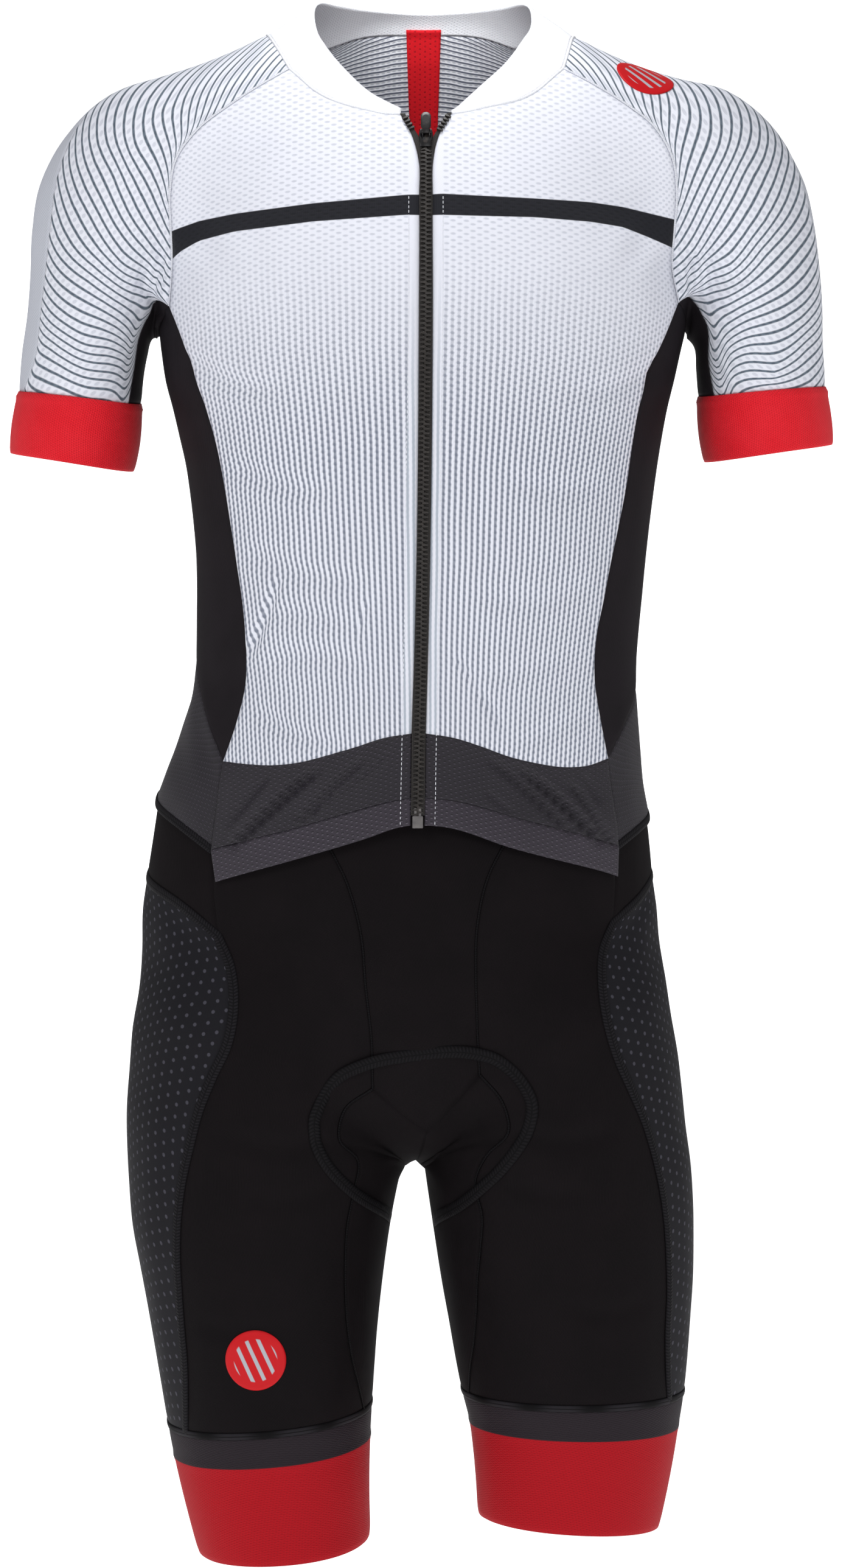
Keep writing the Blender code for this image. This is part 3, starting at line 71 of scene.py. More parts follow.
ARMPIT_HEIGHT = -162.0
ARMPIT_BLEND = 12.0    # how widely the arms run into the torso at the armpit
SHOULDER_BLEND = 45.0  # and above it, from BLEND_RISE up
BLEND_RISE = 50.0
CROTCH_BLEND = 12.0    # how widely the legs run into the torso
ARM_FROM = 30.0        # the arms lie farther out than this, and end above ARM_FOOT
ARM_FOOT = -340.0
LEG_HEAD = -520.0      # the legs lie below this
NORMAL_REACH = 6.0     # over which the form's direction is evened out
SETTLE_REACH = 0.5     # over which the form's slope is taken when a point is drawn to it
HALVINGS = 12          # how often the stretch where a ray meets the form is halved
OFF_AXIS = 1e-5        # keeps a point on an axis from having no direction
STRIDE = 15.0          # the longest step of a point that is drawn to the form


class Which(Enum):
    """The garment's two sides, as seen from the front."""

    LEFT = "left"
    RIGHT = "right"

    @property
    def sign(self) -> int:
        """-1 for the left and 1 for the right."""
        return -1 if self is Which.LEFT else 1


def table(columns: str, rows: Sequence[Sequence[float]]) -> Rows:
    """Named columns, as arrays, of a table with one row for each section.

    Args:
        columns: the columns' names, with spaces between them.
        rows: the table's rows.

    Returns:
        The columns by name.
    """
    return {name: np.array([row[i] for row in rows], float) for i, name in enumerate(columns.split())}


# One row for each level section: its sides, its front and back, and how square it is (2 is an ellipse).
TORSO = table("height left right front back square", (
    (60, -68, 68, -46, 60, 2.0),
    (23, -80, 80, -54, 69, 2.0),
    (0, -92, 92, -61, 78, 2.0),
    (-30, -112, 112, -71, 90, 2.1),
    (-60, -128, 128, -85, 100, 2.2),
    (-100, -146, 146, -99, 108, 2.3),
    (-150, -164, 167, -110, 111, 2.3),
    (-190, -161, 160, -113, 110, 2.3),
    (-222, -153.5, 152.5, -112, 106, 2.3),
    (-265, -144.5, 145.5, -108, 100, 2.3),
    (-325, -139.5, 138.5, -103, 92, 2.3),
    (-390, -140, 133.5, -99, 86, 2.3),
    (-405, -145.5, 134.5, -99, 87, 2.3),
    (-432, -152.5, 136.5, -99, 88, 2.3),
    (-458, -164.5, 139, -100, 93, 2.3),
    (-475, -167, 142.5, -101, 97, 2.3),
    (-510, -173, 146, -102, 107, 2.3),
    (-550, -177, 151, -101, 117, 2.2),
    (-580, -172, 147, -100, 121, 2.2),
    (-600, -158, 136, -98, 120, 2.1),
    (-630, -122, 106, -94, 112, 2.0),
    (-660, -70, 64, -80, 92, 2.0),
    (-680, -32, 26, -52, 58, 2.0),
    (-691, -10, 4, -14, 14, 2.0),
))
LEG = {
    Which.LEFT: table("height left right front back square", (
        (-540, -150, -40, -80, 90, 2.0),
        (-575, -175.5, -20, -92, 108, 2.0),
        (-605, -182.5, -10, -96, 114, 2.1),
        (-640, -185, -8, -95, 110, 2.1),
        (-664, -186.3, -8.5, -94, 104, 2.1),
        (-695, -185, -12.5, -92, 98, 2.1),
        (-728, -182.5, -19, -89, 90, 2.1),
        (-767, -175.2, -24.5, -85, 82, 2.1),
        (-795, -170.2, -27.5, -82, 78, 2.1),
        (-825, -165, -29.7, -79, 74, 2.1),
        (-855, -160, -31.5, -76, 71, 2.1),
        (-880, -155, -32.5, -73, 68, 2.1),
        (-907, -148.6, -32.5, -70, 65, 2.1),
        (-935, -141, -31.6, -68, 62, 2.1),
        (-970, -132, -30, -64, 58, 2.1),
    )),
    Which.RIGHT: table("height left right front back square", (
        (-540, 30, 128, -80, 90, 2.0),
        (-575, 16, 154, -92, 108, 2.0),
        (-600, 8, 158.5, -96, 114, 2.1),
        (-626, 6, 162.9, -95, 112, 2.1),
        (-670, 3, 167.5, -94, 104, 2.1),
        (-702, 3.5, 171.3, -92, 97, 2.1),
        (-731, 7.5, 172.3, -89, 90, 2.1),
        (-758, 11.5, 172, -86, 84, 2.1),
        (-797, 18.5, 169.5, -82, 78, 2.1),
        (-833, 25, 166.5, -79, 74, 2.1),
        (-855, 30.5, 163, -76, 71, 2.1),
        (-888, 34.3, 157.5, -72, 67, 2.1),
        (-916, 36, 151.5, -69, 64, 2.1),
        (-955, 38, 143, -66, 60, 2.1),
    )),
}
# The middle line of each arm from the neck to below the cuff, with the ring's half width and half depth.
ARM = {
    Which.LEFT: table("across height radius depth back", (
        (-60, -42, 53.0, 64, 8),
        (-95, -46, 56.0, 66, 8),
        (-139, -58, 55.0, 64, 7),
        (-170, -70, 57.5, 62, 6),
        (-192, -98, 52.5, 60, 4),
        (-202, -130, 44.0, 57, 3),
        (-209, -160, 38.5, 54, 4),
        (-214, -185, 37.0, 51, 6),
        (-216.5, -210, 37.0, 49, 8),
        (-222, -250.6, 38.0, 48, 12),
        (-229, -290, 38.0, 48, 15),
    )),
    Which.RIGHT: table("across height radius depth back", (
        (60, -42, 52.0, 64, 8),
        (95, -46, 54.0, 66, 8),
        (139, -58, 53.0, 64, 7),
        (170, -70, 58.5, 62, 6),
        (195, -95, 52.5, 60, 4),
        (208, -128, 43.5, 57, 3),
        (213, -160, 40.0, 54, 4),
        (215, -190, 38.5, 51, 6),
        (217, -215, 38.5, 49, 8),
        (221, -245, 39.5, 48, 12),
        (227, -285, 39.5, 48, 15),
    )),
}
# A gentler line through the left shoulder and arm, round which the panels of the sleeve are laid out.
SLEEVE_GUIDE = table("across height back", (
    (-5, 5, 5),
    (-120, -86, 5),
    (-185, -152, 4),
    (-214, -212, 8),
    (-226, -300, 14),
))
# The level of each leg's rings, and how they tip: "across" towards the viewer's right, "ahead" forwards.
LEG_RING = {
    Which.LEFT: {"seam": (-849, 6, -4), "hem": (-930.5, 4.5, -4.5)},
    Which.RIGHT: {"seam": (-835.5, 0, -1), "hem": (-917, -4, 1)},
}
# Where the panel seams meet each leg's ring, in degrees from the front, positive to the viewer's right.
LEG_CORNER = {
    Which.LEFT: {"flatlock": -47, "inner_front": 65, "inner_back": 132, "rear": 192},
    Which.RIGHT: {"flatlock": 53, "inner_front": -68, "inner_back": -132, "rear": -192},
}
# The same for each arm: distance along the arm's line, tip, and degrees from the outer side forwards.
CUFF_RING = {
    Which.LEFT: {"seam": (263, 4), "hem": (304, 4)},
    Which.RIGHT: {"seam": (262, 4), "hem": (301, 4)},
}
CUFF_CORNER = {
    Which.LEFT: {"stripes": 36, "front": 142, "rear": 228},
    Which.RIGHT: {"stripes": 2, "front": 138, "rear": 228},
}


def cubic(a: Array, b: Array, slope_a: Array, slope_b: Array, step: Array, t: Array) -> Array:
    """A cubic between two values with given slopes, at a share t of the step between them."""
    return (a * (2 * t**3 - 3 * t**2 + 1) + b * (3 * t**2 - 2 * t**3)
            + step * (slope_a * (t**3 - 2 * t**2 + t) + slope_b * (t**3 - t**2)))


def curve_through(knots: Array, values: Array, at: Array) -> Array:
    """A smooth curve through a table's column that never overshoots its rows.

    Args:
        knots: where the rows are.
        values: the column.
        at: where the curve is wanted.

    Returns:
        The curve's values.
    """
    step = np.diff(knots)
    slope = np.diff(values) / step
    both = slope[:-1] * slope[1:]
    inner = np.where(both > 0, 2 * both / np.where(both > 0, slope[:-1] + slope[1:], 1), 0)
    tangent = np.concatenate(([slope[0]], inner, [slope[-1]]))
    at = np.clip(at, knots[0], knots[-1])
    i = np.clip(np.searchsorted(knots, at) - 1, 0, len(knots) - 2)
    t = (at - knots[i]) / step[i]
    return cubic(values[i], values[i + 1], tangent[i], tangent[i + 1], step[i], t)


def soft_step(value: Array) -> Array:
    """From 0 to 1 as the value does, with a soft start and end."""
    value = np.clip(value, 0, 1)
    return value * value * (3 - 2 * value)


def blend(a: Array, b: Array, width: Array | float) -> Array:
    """The union of two distance fields, rounded where they meet."""
    near = np.maximum(width - np.abs(a - b), 0) / width
    return np.minimum(a, b) - near * near * width / 4


def unit(vector: Array) -> Array:
    """The vectors, one unit long."""
    return vector / np.maximum(np.linalg.norm(vector, axis=-1, keepdims=True), 1e-9)


def gone_along(points: Array) -> Array:
    """Distance from the first point to each, along a chain of straight parts."""
    return np.concatenate(([0], np.cumsum(np.linalg.norm(np.diff(points, axis=0), axis=-1))))


def points_at(at: Array, gone: Array, points: Array) -> Array:
    """The places on a chain of straight parts that lie some distances along it."""
    return np.stack([np.interp(at, gone, points[:, axis]) for axis in range(points.shape[1])], -1)


def smooth(grid: Array, factor: int, ring: bool = False) -> Array:
    """A smooth curve through the rows of a grid, with new rows between them.

    Args:
        grid: rows of points, or of any other values.
        factor: how many parts each step between two rows is cut into.
        ring: whether the last row is the first again.

    Returns:
        The longer grid.
    """
    grid = np.asarray(grid, float)
    before = grid[-2:-1] if ring else 2 * grid[:1] - grid[1:2]
    after = grid[1:2] if ring else 2 * grid[-1:] - grid[-2:-1]
    padded = np.concatenate((before, grid, after))
    at = np.arange((len(grid) - 1) * factor + 1) / factor
    i = np.minimum(at.astype(int), len(grid) - 2)
    t = (at - i).reshape((-1,) + (1,) * (grid.ndim - 1))
    a, b, c, d = (padded[i + k] for k in range(4))
    return b + 0.5 * t * (c - a + t * (2 * a - 5 * b + 4 * c - d + t * (3 * (b - c) + d - a)))


class Stack:
    """Level sections, one above another: the torso or one leg."""

    LEVELS = 500

    def __init__(self, rows: Rows) -> None:
        """Args: rows: the table of sections."""
        order = np.argsort(rows["height"])
        self.height = np.linspace(rows["height"].min(), rows["height"].max(), self.LEVELS)
        self.column = {name: curve_through(rows["height"][order], rows[name][order], self.height)
                       for name in ("left", "right", "front", "back", "square")}

    def at(self, name: str, height: Array) -> Array:
        """A column's value at some heights."""
        return np.interp(height, self.height, self.column[name])

    def centre(self, height: Array) -> tuple[Array, Array]:
        """The middle of the sections at some heights, across and in depth."""
        return ((self.at("left", height) + self.at("right", height)) / 2,
                (self.at("front", height) + self.at("back", height)) / 2)

    def size(self, height: Array) -> tuple[Array, Array, Array]:
        """Half width, half depth and squareness of the sections at some heights."""
        return ((self.at("right", height) - self.at("left", height)) / 2,
                (self.at("back", height) - self.at("front", height)) / 2, self.at("square", height))

    def radius(self, along_x: Array, along_y: Array, height: Array) -> Array:
        """How far the section reaches from its middle in a level direction."""
        wide, deep, power = self.size(height)
        return (np.abs(along_x / wide) ** power + np.abs(along_y / deep) ** power) ** (-1 / power)

    def distance(self, point: Array) -> Array:
        """Distance of points from the sections' surface, negative inside it."""
        height = np.clip(point[..., 2], self.height[0], self.height[-1])
        middle_x, middle_y = self.centre(height)
        x, y = point[..., 0] - middle_x, point[..., 1] - middle_y + OFF_AXIS
        reach = np.hypot(x, y)
        radius = self.radius(x / reach, y / reach, height)
        above, below = (self.radius(x / reach, y / reach, height + step) for step in (2, -2))
        slope = (above - below) / 4
        past = np.maximum(point[..., 2] - self.height[-1], self.height[0] - point[..., 2])
        return np.maximum((reach - radius) / np.sqrt(1 + slope * slope), past)


class Guide:
    """A curved middle line that lies in the front view's plane, or a little behind it."""

    STEPS = 70

    def __init__(self, rows: Rows) -> None:
        """Args: rows: the line's points, from the neck outwards."""
        gone = np.concatenate(([0], np.cumsum(np.hypot(np.diff(rows["across"]), np.diff(rows["height"])))))
        self.along = np.linspace(0, gone[-1], self.STEPS)
        self.column = {name: curve_through(gone, rows[name], self.along) for name in rows}
        self.turn = math.copysign(1, rows["across"][0])
        self.tangent = unit(np.stack([np.gradient(self.column[name], self.along)
                                      for name in ("across", "height")], -1))

    def at(self, name: str, along: Array) -> Array:
        """A column's value at some distances along the line."""
        return np.interp(along, self.along, self.column[name])

    def frame(self, along: Array) -> tuple[Array, Array]:
        """The middle point, and the direction that points out of the arm, at distances along it."""
        middle = np.stack([self.at("across", along), self.at("back", along), self.at("height", along)], -1)
        across = np.interp(along, self.along, self.tangent[:, 0])
        down = np.interp(along, self.along, self.tangent[:, 1])
        size = np.hypot(across, down)
        out = np.stack([-self.turn * down / size, np.zeros_like(across), self.turn * across / size], -1)
        return middle, out

    def nearest(self, point: Array) -> Array:
        """How far along the line it passes nearest to the points, in the front view."""
        line = np.stack([self.column["across"], self.column["height"]], -1)
        flat = point[..., [0, 2]]
        gap = np.linalg.norm(flat[..., None, :] - line, axis=-1)
        i = gap.argmin(-1)
        ahead = ((flat - line[i]) * self.tangent[i]).sum(-1)
        return np.clip(self.along[i] + ahead, 0, self.along[-1])


class Limb(Guide):
    """Rings along a guide: one arm, from the neck to below the cuff."""

    def distance(self, point: Array) -> Array:
        """Distance of points from the arm's surface, negative inside it."""
        along = self.nearest(point)
        middle, _ = self.frame(along)
        x = np.hypot(point[..., 0] - middle[..., 0], point[..., 2] - middle[..., 2])
        y = point[..., 1] - middle[..., 1] + OFF_AXIS
        reach = np.hypot(x, y)
        return reach - 1 / np.hypot(x / reach / self.at("radius", along), y / reach / self.at("depth", along))


TRUNK = Stack(TORSO)
LEGS = {which: Stack(rows) for which, rows in LEG.items()}
ARMS = {which: Limb(rows) for which, rows in ARM.items()}
SLEEVE_GUIDES = {Which.LEFT: Guide(SLEEVE_GUIDE),
                 Which.RIGHT: Guide({**SLEEVE_GUIDE, "across": -SLEEVE_GUIDE["across"]})}


def form(point: Array) -> Array:
    """Distance from the general form's surface, in millimetres, negative inside it."""
    gap = TRUNK.distance(point)
    high = soft_step((point[..., 2] - ARMPIT_HEIGHT) / BLEND_RISE)
    rounding = ARMPIT_BLEND + (SHOULDER_BLEND - ARMPIT_BLEND) * high
    for which, arm in ARMS.items():
        near = (point[..., 0] * which.sign > ARM_FROM) & (point[..., 2] > ARM_FOOT)
        if near.any():
            gap[near] = blend(gap[near], arm.distance(point[near]), rounding[near])
    low = point[..., 2] < LEG_HEAD
    if low.any():
        some = point[low]
        pair = blend(LEGS[Which.LEFT].distance(some), LEGS[Which.RIGHT].distance(some), CROTCH_BLEND)
        gap[low] = blend(gap[low], pair, CROTCH_BLEND)
    return gap


def change_of_form(point: Array, reach: float) -> Array:
    """How much the distance from the form changes between a reach before and after points, on each axis."""
    step = reach * np.eye(3)
    return np.stack([form(point + step[i]) - form(point - step[i]) for i in range(3)], -1)


def outward(point: Array) -> Array:
    """Unit normals of the form at points on or near it, evened out over a few millimetres."""
    return unit(change_of_form(point, NORMAL_REACH))


def settle(point: Array, rounds: int = 8) -> Array:
    """The nearest places on the form.

    Args:
        point: points near the form.
        rounds: how often each is drawn nearer.

    Returns:
        The places.
    """
    point = np.array(point, float)
    for _ in range(rounds):
        slope = change_of_form(point, SETTLE_REACH)
        size = np.maximum((slope * slope).sum(-1, keepdims=True), 1e-6)
        point -= np.clip(form(point)[..., None] * slope / size, -STRIDE, STRIDE)
    return point


def first_crossing(start: Array, direction: Array, reach: float, leaving: bool, step: float = 5.0) -> Array:
    """Where rays first leave or enter the form.

    Args:
        start: where the rays start.
        direction: unit directions.
        reach: how far the rays are followed.
        leaving: whether they start inside the form.
        step: how finely a ray is searched.

    Returns:
        The places.
    """
    sign = 1 if leaving else -1
    ticks = np.arange(0, reach + step, step)
    trial = start[..., None, :] + ticks[:, None] * direction[..., None, :]
    beyond = sign * form(trial) > 0
    beyond[..., 0] = False
    beyond[..., -1] = True
    i = beyond.argmax(-1)
    low, high = ticks[i - 1], ticks[i]
    for _ in range(HALVINGS):
        middle = (low + high) / 2
        past = sign * form(start + middle[..., None] * direction) > 0
        high = np.where(past, middle, high)
        low = np.where(past, low, middle)
    return start + ((low + high) / 2)[..., None] * direction


class Chart:
    """Two coordinates for places on the form. A plain chart is space itself, with all three."""

    def locate(self, point: Array) -> Array:
        """The coordinates of points."""
        return point

    def surface(self, where: Array) -> Array:
        """The places on the form that have the given coordinates."""
        return settle(where)


class View(Chart):
    """A front or back view. Its two coordinates are those of the upright plane through the origin."""

    DEPTH = 190.0

    def __init__(self, side: int) -> None:
        """Args: side: -1 for the front and 1 for the back."""
        self.side = side
        self.eye = np.array((0, side * VIEW_DISTANCE, VIEW_HEIGHT))

    def locate(self, point: Array) -> Array:
        """Where points are seen."""
        ratio = self.eye[1] / (self.eye[1] - point[..., 1])
        return np.stack([point[..., 0] * ratio, self.eye[2] + (point[..., 2] - self.eye[2]) * ratio], -1)

    def at_depth(self, where: Array, depth: Array) -> Array:
        """The points that are seen at places in the view, at given depths."""
        target = np.stack([where[..., 0], np.zeros(where.shape[:-1]), where[..., 1]], -1)
        return self.eye + (target - self.eye) * ((self.eye[1] - depth) / self.eye[1])[..., None]

    def surface(self, where: Array) -> Array:
        """The first places on the form that are seen at places in the view."""
        start = self.at_depth(where, np.full(where.shape[:-1], self.side * self.DEPTH))
        end = self.at_depth(where, np.full(where.shape[:-1], -self.side * self.DEPTH))
        reach = np.linalg.norm(end - start, axis=-1, keepdims=True)
        return first_crossing(start, (end - start) / reach, float(reach.max()), leaving=False)


class Round(Chart):
    """Around a torso's or leg's axis: degrees from the front, positive to the viewer's right, and height."""

    REACH = 260.0

    def __init__(self, stack: Stack, cut: float) -> None:
        """Args: stack: the sections. cut: the lowest angle, where the turn is cut."""
        self.stack = stack
        self.cut = cut

    def locate(self, point: Array) -> Array:
        """Angle and height of points."""
        x, y = self.stack.centre(point[..., 2])
        angle = np.degrees(np.arctan2(point[..., 0] - x, y - point[..., 1]))
        return np.stack([(angle - self.cut) % 360 + self.cut, point[..., 2]], -1)

    def surface(self, where: Array) -> Array:
        """Where level rays from the axis leave the form."""
        x, y = self.stack.centre(where[..., 1])
        angle = np.radians(where[..., 0])
        start = np.stack([x, y, where[..., 1]], -1)
        direction = np.stack([np.sin(angle), -np.cos(angle), np.zeros_like(angle)], -1)
        return first_crossing(start, direction, self.REACH, leaving=True)


class RoundArm(Chart):
    """Around an arm's middle line: degrees from its outer side, positive forwards, and distance along it."""

    REACH = 200.0

    def __init__(self, guide: Guide, cut: float = -180) -> None:
        """Args: guide: the middle line. cut: the lowest angle, where the turn is cut."""
        self.guide = guide
        self.cut = cut

    def locate(self, point: Array) -> Array:
        """Angle and distance of points."""
        along = self.guide.nearest(point)
        middle, out = self.guide.frame(along)
        angle = np.degrees(np.arctan2(middle[..., 1] - point[..., 1], ((point - middle) * out).sum(-1)))
        return np.stack([(angle - self.cut) % 360 + self.cut, along], -1)

    def surface(self, where: Array) -> Array:
        """Where rays square to the middle line leave the form."""
        middle, out = self.guide.frame(where[..., 1])
        angle = np.radians(where[..., 0])[..., None]
        direction = out * np.cos(angle) + np.array((0, -1, 0)) * np.sin(angle)
        return first_crossing(middle, direction, self.REACH, leaving=True)


FRONT, BACK = View(-1), View(1)
SPACE = Chart()
FINE = 6               # parts that each step of a panel's grid is cut into


def in_line(points: Array, factor: int) -> Array:
    """The same chain of straight parts, each cut into equal shorter ones."""
    at = np.arange(0, len(points) - 1 + 0.5 / factor, 1 / factor)
    return points_at(at, np.arange(len(points)), points)


@dataclass
class Line:
    """A seam or a rim: its points on the form at the corners of the panels' grid, and those between them."""

    coarse: Array
    fine: Array

    @classmethod
    def through(cls, coarse: Array, ring: bool = False) -> Line:
        """A smooth line through the grid's corners."""
        return cls(coarse, smooth(coarse, FINE, ring))

    def back(self) -> Line:
        """The same line from its other end."""
        return Line(self.coarse[::-1], self.fine[::-1])

    def part(self, start: int, stop: int) -> Line:
        """The stretch between two corners."""
        return Line(self.coarse[start:stop + 1], self.fine[start * FINE:stop * FINE + 1])

    def finer(self, factor: int) -> Line:
        """The same line with more corners on its straight parts."""
        return Line(in_line(self.coarse, factor), in_line(self.fine, factor))

    def start(self) -> Array:
        """The first corner."""
        return self.coarse[0]

    def end(self) -> Array:
        """The last corner."""
        return self.coarse[-1]


def join(*lines: Line) -> Line:
    """One line of several that follow each other."""
    return Line(*(np.concatenate([getattr(line, kind)[0 if i == 0 else 1:] for i, line in enumerate(lines)])
                  for kind in ("coarse", "fine")))


def spline(control: Array, count: int) -> Array:
    """A smooth line through control points, with its length shared out into equal parts.

    Args:
        control: the points.
        count: how many parts there are.

    Returns:
        The ends of the parts.
    """
    control = np.array(control, float)
    gone = gone_along(control)
    slope = np.gradient(control, gone, axis=0)
    fine = np.linspace(0, gone[-1], 40 * len(control))
    i = np.clip(np.searchsorted(gone, fine) - 1, 0, len(gone) - 2)
    step = (gone[i + 1] - gone[i])[:, None]
    t = (fine - gone[i])[:, None] / step
    line = cubic(control[i], control[i + 1], slope[i], slope[i + 1], step, t)
    length = gone_along(line)
    share = np.linspace(0, length[-1], count + 1)
    return points_at(share, length, line)


Place = tuple[str, float, float]


def seam(rows: Sequence[Place | Array], count: int, around: Chart | None = None) -> Line:
    """A line along a seam.

    Args:
        rows: places that it passes, seen from the front (F) or back (B), turned about an axis (A), or points.
        count: how many parts it has.
        around: the chart of the rows that are turned about an axis.

    Returns:
        The seam.
    """
    control = np.zeros((len(rows), 3))
    charts: dict[str, Chart | None] = {"F": FRONT, "B": BACK, "A": around}
    for letter, chart in charts.items():
        chosen = [i for i, row in enumerate(rows) if not isinstance(row, np.ndarray) and row[0] == letter]
        if chosen:
            control[chosen] = chart.surface(np.array([rows[i][1:] for i in chosen], float))
    for i, row in enumerate(rows):
        if isinstance(row, np.ndarray):
            control[i] = row
    line = spline(control, count)
    inner = settle(line)
    inner[[0, -1]] = line[[0, -1]]
    return Line.through(inner)


def seen(view: str, *places: tuple[float, float]) -> list[Place]:
    """Rows of a seam that are all read off one view."""
    return [(view, *place) for place in places]


def ring_arc(chart: Chart, level: Sequence[float], start: float, end: float, count: int) -> Array:
    """Points of a leg's ring between two angles, in degrees. The level is (height, across, ahead)."""
    angle = np.linspace(start, end, count + 1)
    height = level[0] + level[1] * np.sin(np.radians(angle)) + level[2] * np.cos(np.radians(angle))
    return chart.surface(np.stack([angle, height], -1))


def cuff_arc(chart: Chart, level: Sequence[float], start: float, end: float, count: int) -> Array:
    """Points of a cuff's ring between two angles. The level is (distance along, extra at the front)."""
    angle = np.linspace(start, end, count + 1)
    return chart.surface(np.stack([angle, level[0] + level[1] * np.sin(np.radians(angle))], -1))


def ring_of(arc: Callable[..., Array], chart: Chart, level: Sequence[float],
            turns: Sequence[tuple[float, float, int]]) -> Line:
    """A closed line made of arcs that follow each other.

    Args:
        arc: what makes one arc.
        chart: the chart that it is made in.
        level: the ring's level.
        turns: each arc's start, end and count.

    Returns:
        The ring, whose last corner is its first again.
    """
    arcs = [arc(chart, level, *turn) for turn in turns]
    corners = np.concatenate([points if i == 0 else points[1:] for i, points in enumerate(arcs)])
    corners[-1] = corners[0]
    return Line.through(corners, ring=True)


@dataclass
class Panel:
    """A grid of points on the form, with the direction out of the cloth at each."""

    place: Array
    out: Array

    @classmethod
    def on_form(cls, place: Array) -> Panel:
        """A panel whose directions are the form's."""
        return cls(place, outward(place))


def refine(grid: Array, bottom: Line, top: Line, left: Line | None, right: Line | None) -> Panel:
    """The fine panel of a coarse grid, whose rims lie exactly on their seams.

    Args:
        grid: the coarse grid.
        bottom: its first rim, where the second index is 0.
        top: the opposite rim.
        left: the rim where the first index is 0, or None on a ring.
        right: the opposite rim.

    Returns:
        The panel.
    """
    ring = left is None
    fine = smooth(grid, FINE, ring)
    fine = np.swapaxes(smooth(np.swapaxes(fine, 0, 1), FINE), 0, 1)
    fade = 1 - np.arange(FINE + 1) / FINE
    for line, flip in ((bottom, False), (top, True)):
        rows = fine[:, ::-1] if flip else fine
        count = min(FINE + 1, rows.shape[1] - 1)
        change = line.fine - rows[:, 0]
        rows[:, :count] += change[:, None] * fade[None, :count, None]
    for line, flip in ((left, False), (right, True)):
        if line is not None:
            rows = fine[::-1] if flip else fine
            change = line.fine - rows[0]
            rows[:FINE + 1] += change[None] * fade[:, None, None]
    return Panel.on_form(fine)


def coarse_patch(chart: Chart, bottom: Line, top: Line, left: Line, right: Line) -> Array:
    """Grid of points on the form between four seams that share their corners."""
    b, t, l, r = (chart.locate(line.coarse) for line in (bottom, top, left, right))
    u = np.linspace(0, 1, len(b))[:, None, None]
    v = np.linspace(0, 1, len(l))[None, :, None]
    corners = (b[0] * (1 - u) + b[-1] * u) * (1 - v) + (t[0] * (1 - u) + t[-1] * u) * v
    where = b[:, None] * (1 - v) + t[:, None] * v + l[None] * (1 - u) + r[None] * u - corners
    grid = chart.surface(where)
    grid[:, 0], grid[:, -1], grid[0], grid[-1] = bottom.coarse, top.coarse, left.coarse, right.coarse
    return grid


def patch(chart: Chart, bottom: Line, top: Line, left: Line, right: Line, rounds: int = 0) -> Panel:
    """Panel between four seams that share their corners.

    Args:
        chart: the chart in which its inner points are shared out.
        bottom: the seam from the first corner, along the first index.
        top: the seam opposite it.
        left: the seam from the first corner, along the second index.
        right: the seam opposite it.
        rounds: how often the inner points are evened out over the form.

    Returns:
        The panel.
    """
    grid = coarse_patch(chart, bottom, top, left, right)
    for _ in range(rounds):
        grid[1:-1, 1:-1] = (grid[2:, 1:-1] + grid[:-2, 1:-1] + grid[1:-1, 2:] + grid[1:-1, :-2]) / 4
        grid[1:-1, 1:-1] = settle(grid[1:-1, 1:-1], 3)
    return refine(grid, bottom, top, left, right)


def between(start: Line, end: Line, rows: int = 5) -> Panel:
    """Panel of a tube of cloth on the form between two rings."""
    v = np.linspace(0, 1, rows)[None, :, None]
    grid = start.coarse[:, None] * (1 - v) + end.coarse[:, None] * v
    grid[:, 1:-1] = settle(grid[:, 1:-1])
    return refine(grid, start, end, None, None)


def mirrored(rows: Sequence[Place]) -> list[Place]:
    """The same rows of a view on the other side of the centre line."""
    return [(row[0], -row[1], row[2]) for row in rows]


RAGLAN_FRONT = {
    Which.LEFT: seen("F", (-157.9, -151.3), (-157.1, -120.9), (-158.2, -93.6), (-157.9, -66.2),
                     (-140.5, -39.3),
                 (-117, -22.3), (-82.8, -1.9)),
    Which.RIGHT: seen("F", (161.6, -149), (158.9, -135), (158.4, -118), (161, -93.6), (160.3, -62),
                      (148.2, -39.3),
                  (117.4, -16.9), (89.7, -1.9)),
}
RAGLAN_BACK = seen("B", (-158, -152), (-156, -130), (-152, -100), (-142, -62), (-120, -25), (-92, 8),
                   (-62, 31))
SIDE_FRONT = {
    Which.LEFT: seen("F", (-124.4, -439.5), (-118.6, -422.7), (-112.8, -404.3), (-110.1, -388.9),
                     (-110.9, -350),
                 (-115.5, -315.3), (-121.7, -276), (-127.1, -244.5), (-134.4, -217.9), (-140.9, -199),
                 (-150.2, -171.7), (-157.9, -151.3)),
    Which.RIGHT: seen("F", (117.4, -437.4), (112, -408.9), (108.6, -381.2), (117, -325), (129, -264.1),
                  (134.8, -226), (141.7, -197.1), (150.9, -175.2), (161.6, -149)),
}
SIDE_BACK = {
    Which.LEFT: seen("B", (-112, -330), (-116, -300), (-124, -265), (-136, -225), (-150, -185), (-158, -152)),
    Which.RIGHT: seen("B", (108, -330), (113, -300), (122, -265), (135, -225), (149, -185), (158, -152)),
}
SIDE_BOTTOM = {
    Which.LEFT: seen("F", (-124.4, -439.5), (-131.5, -420), (-138, -400)) + [("A", -95, -365),
                                                                             ("B", -112, -330)],
    Which.RIGHT: seen("F", (117.4, -437.4), (123, -427), (130, -410)) + [("A", 95, -385), ("B", 108, -330)],
}
BACK_BOTTOM = seen("B", (-112, -330), (0, -330), (108, -330))
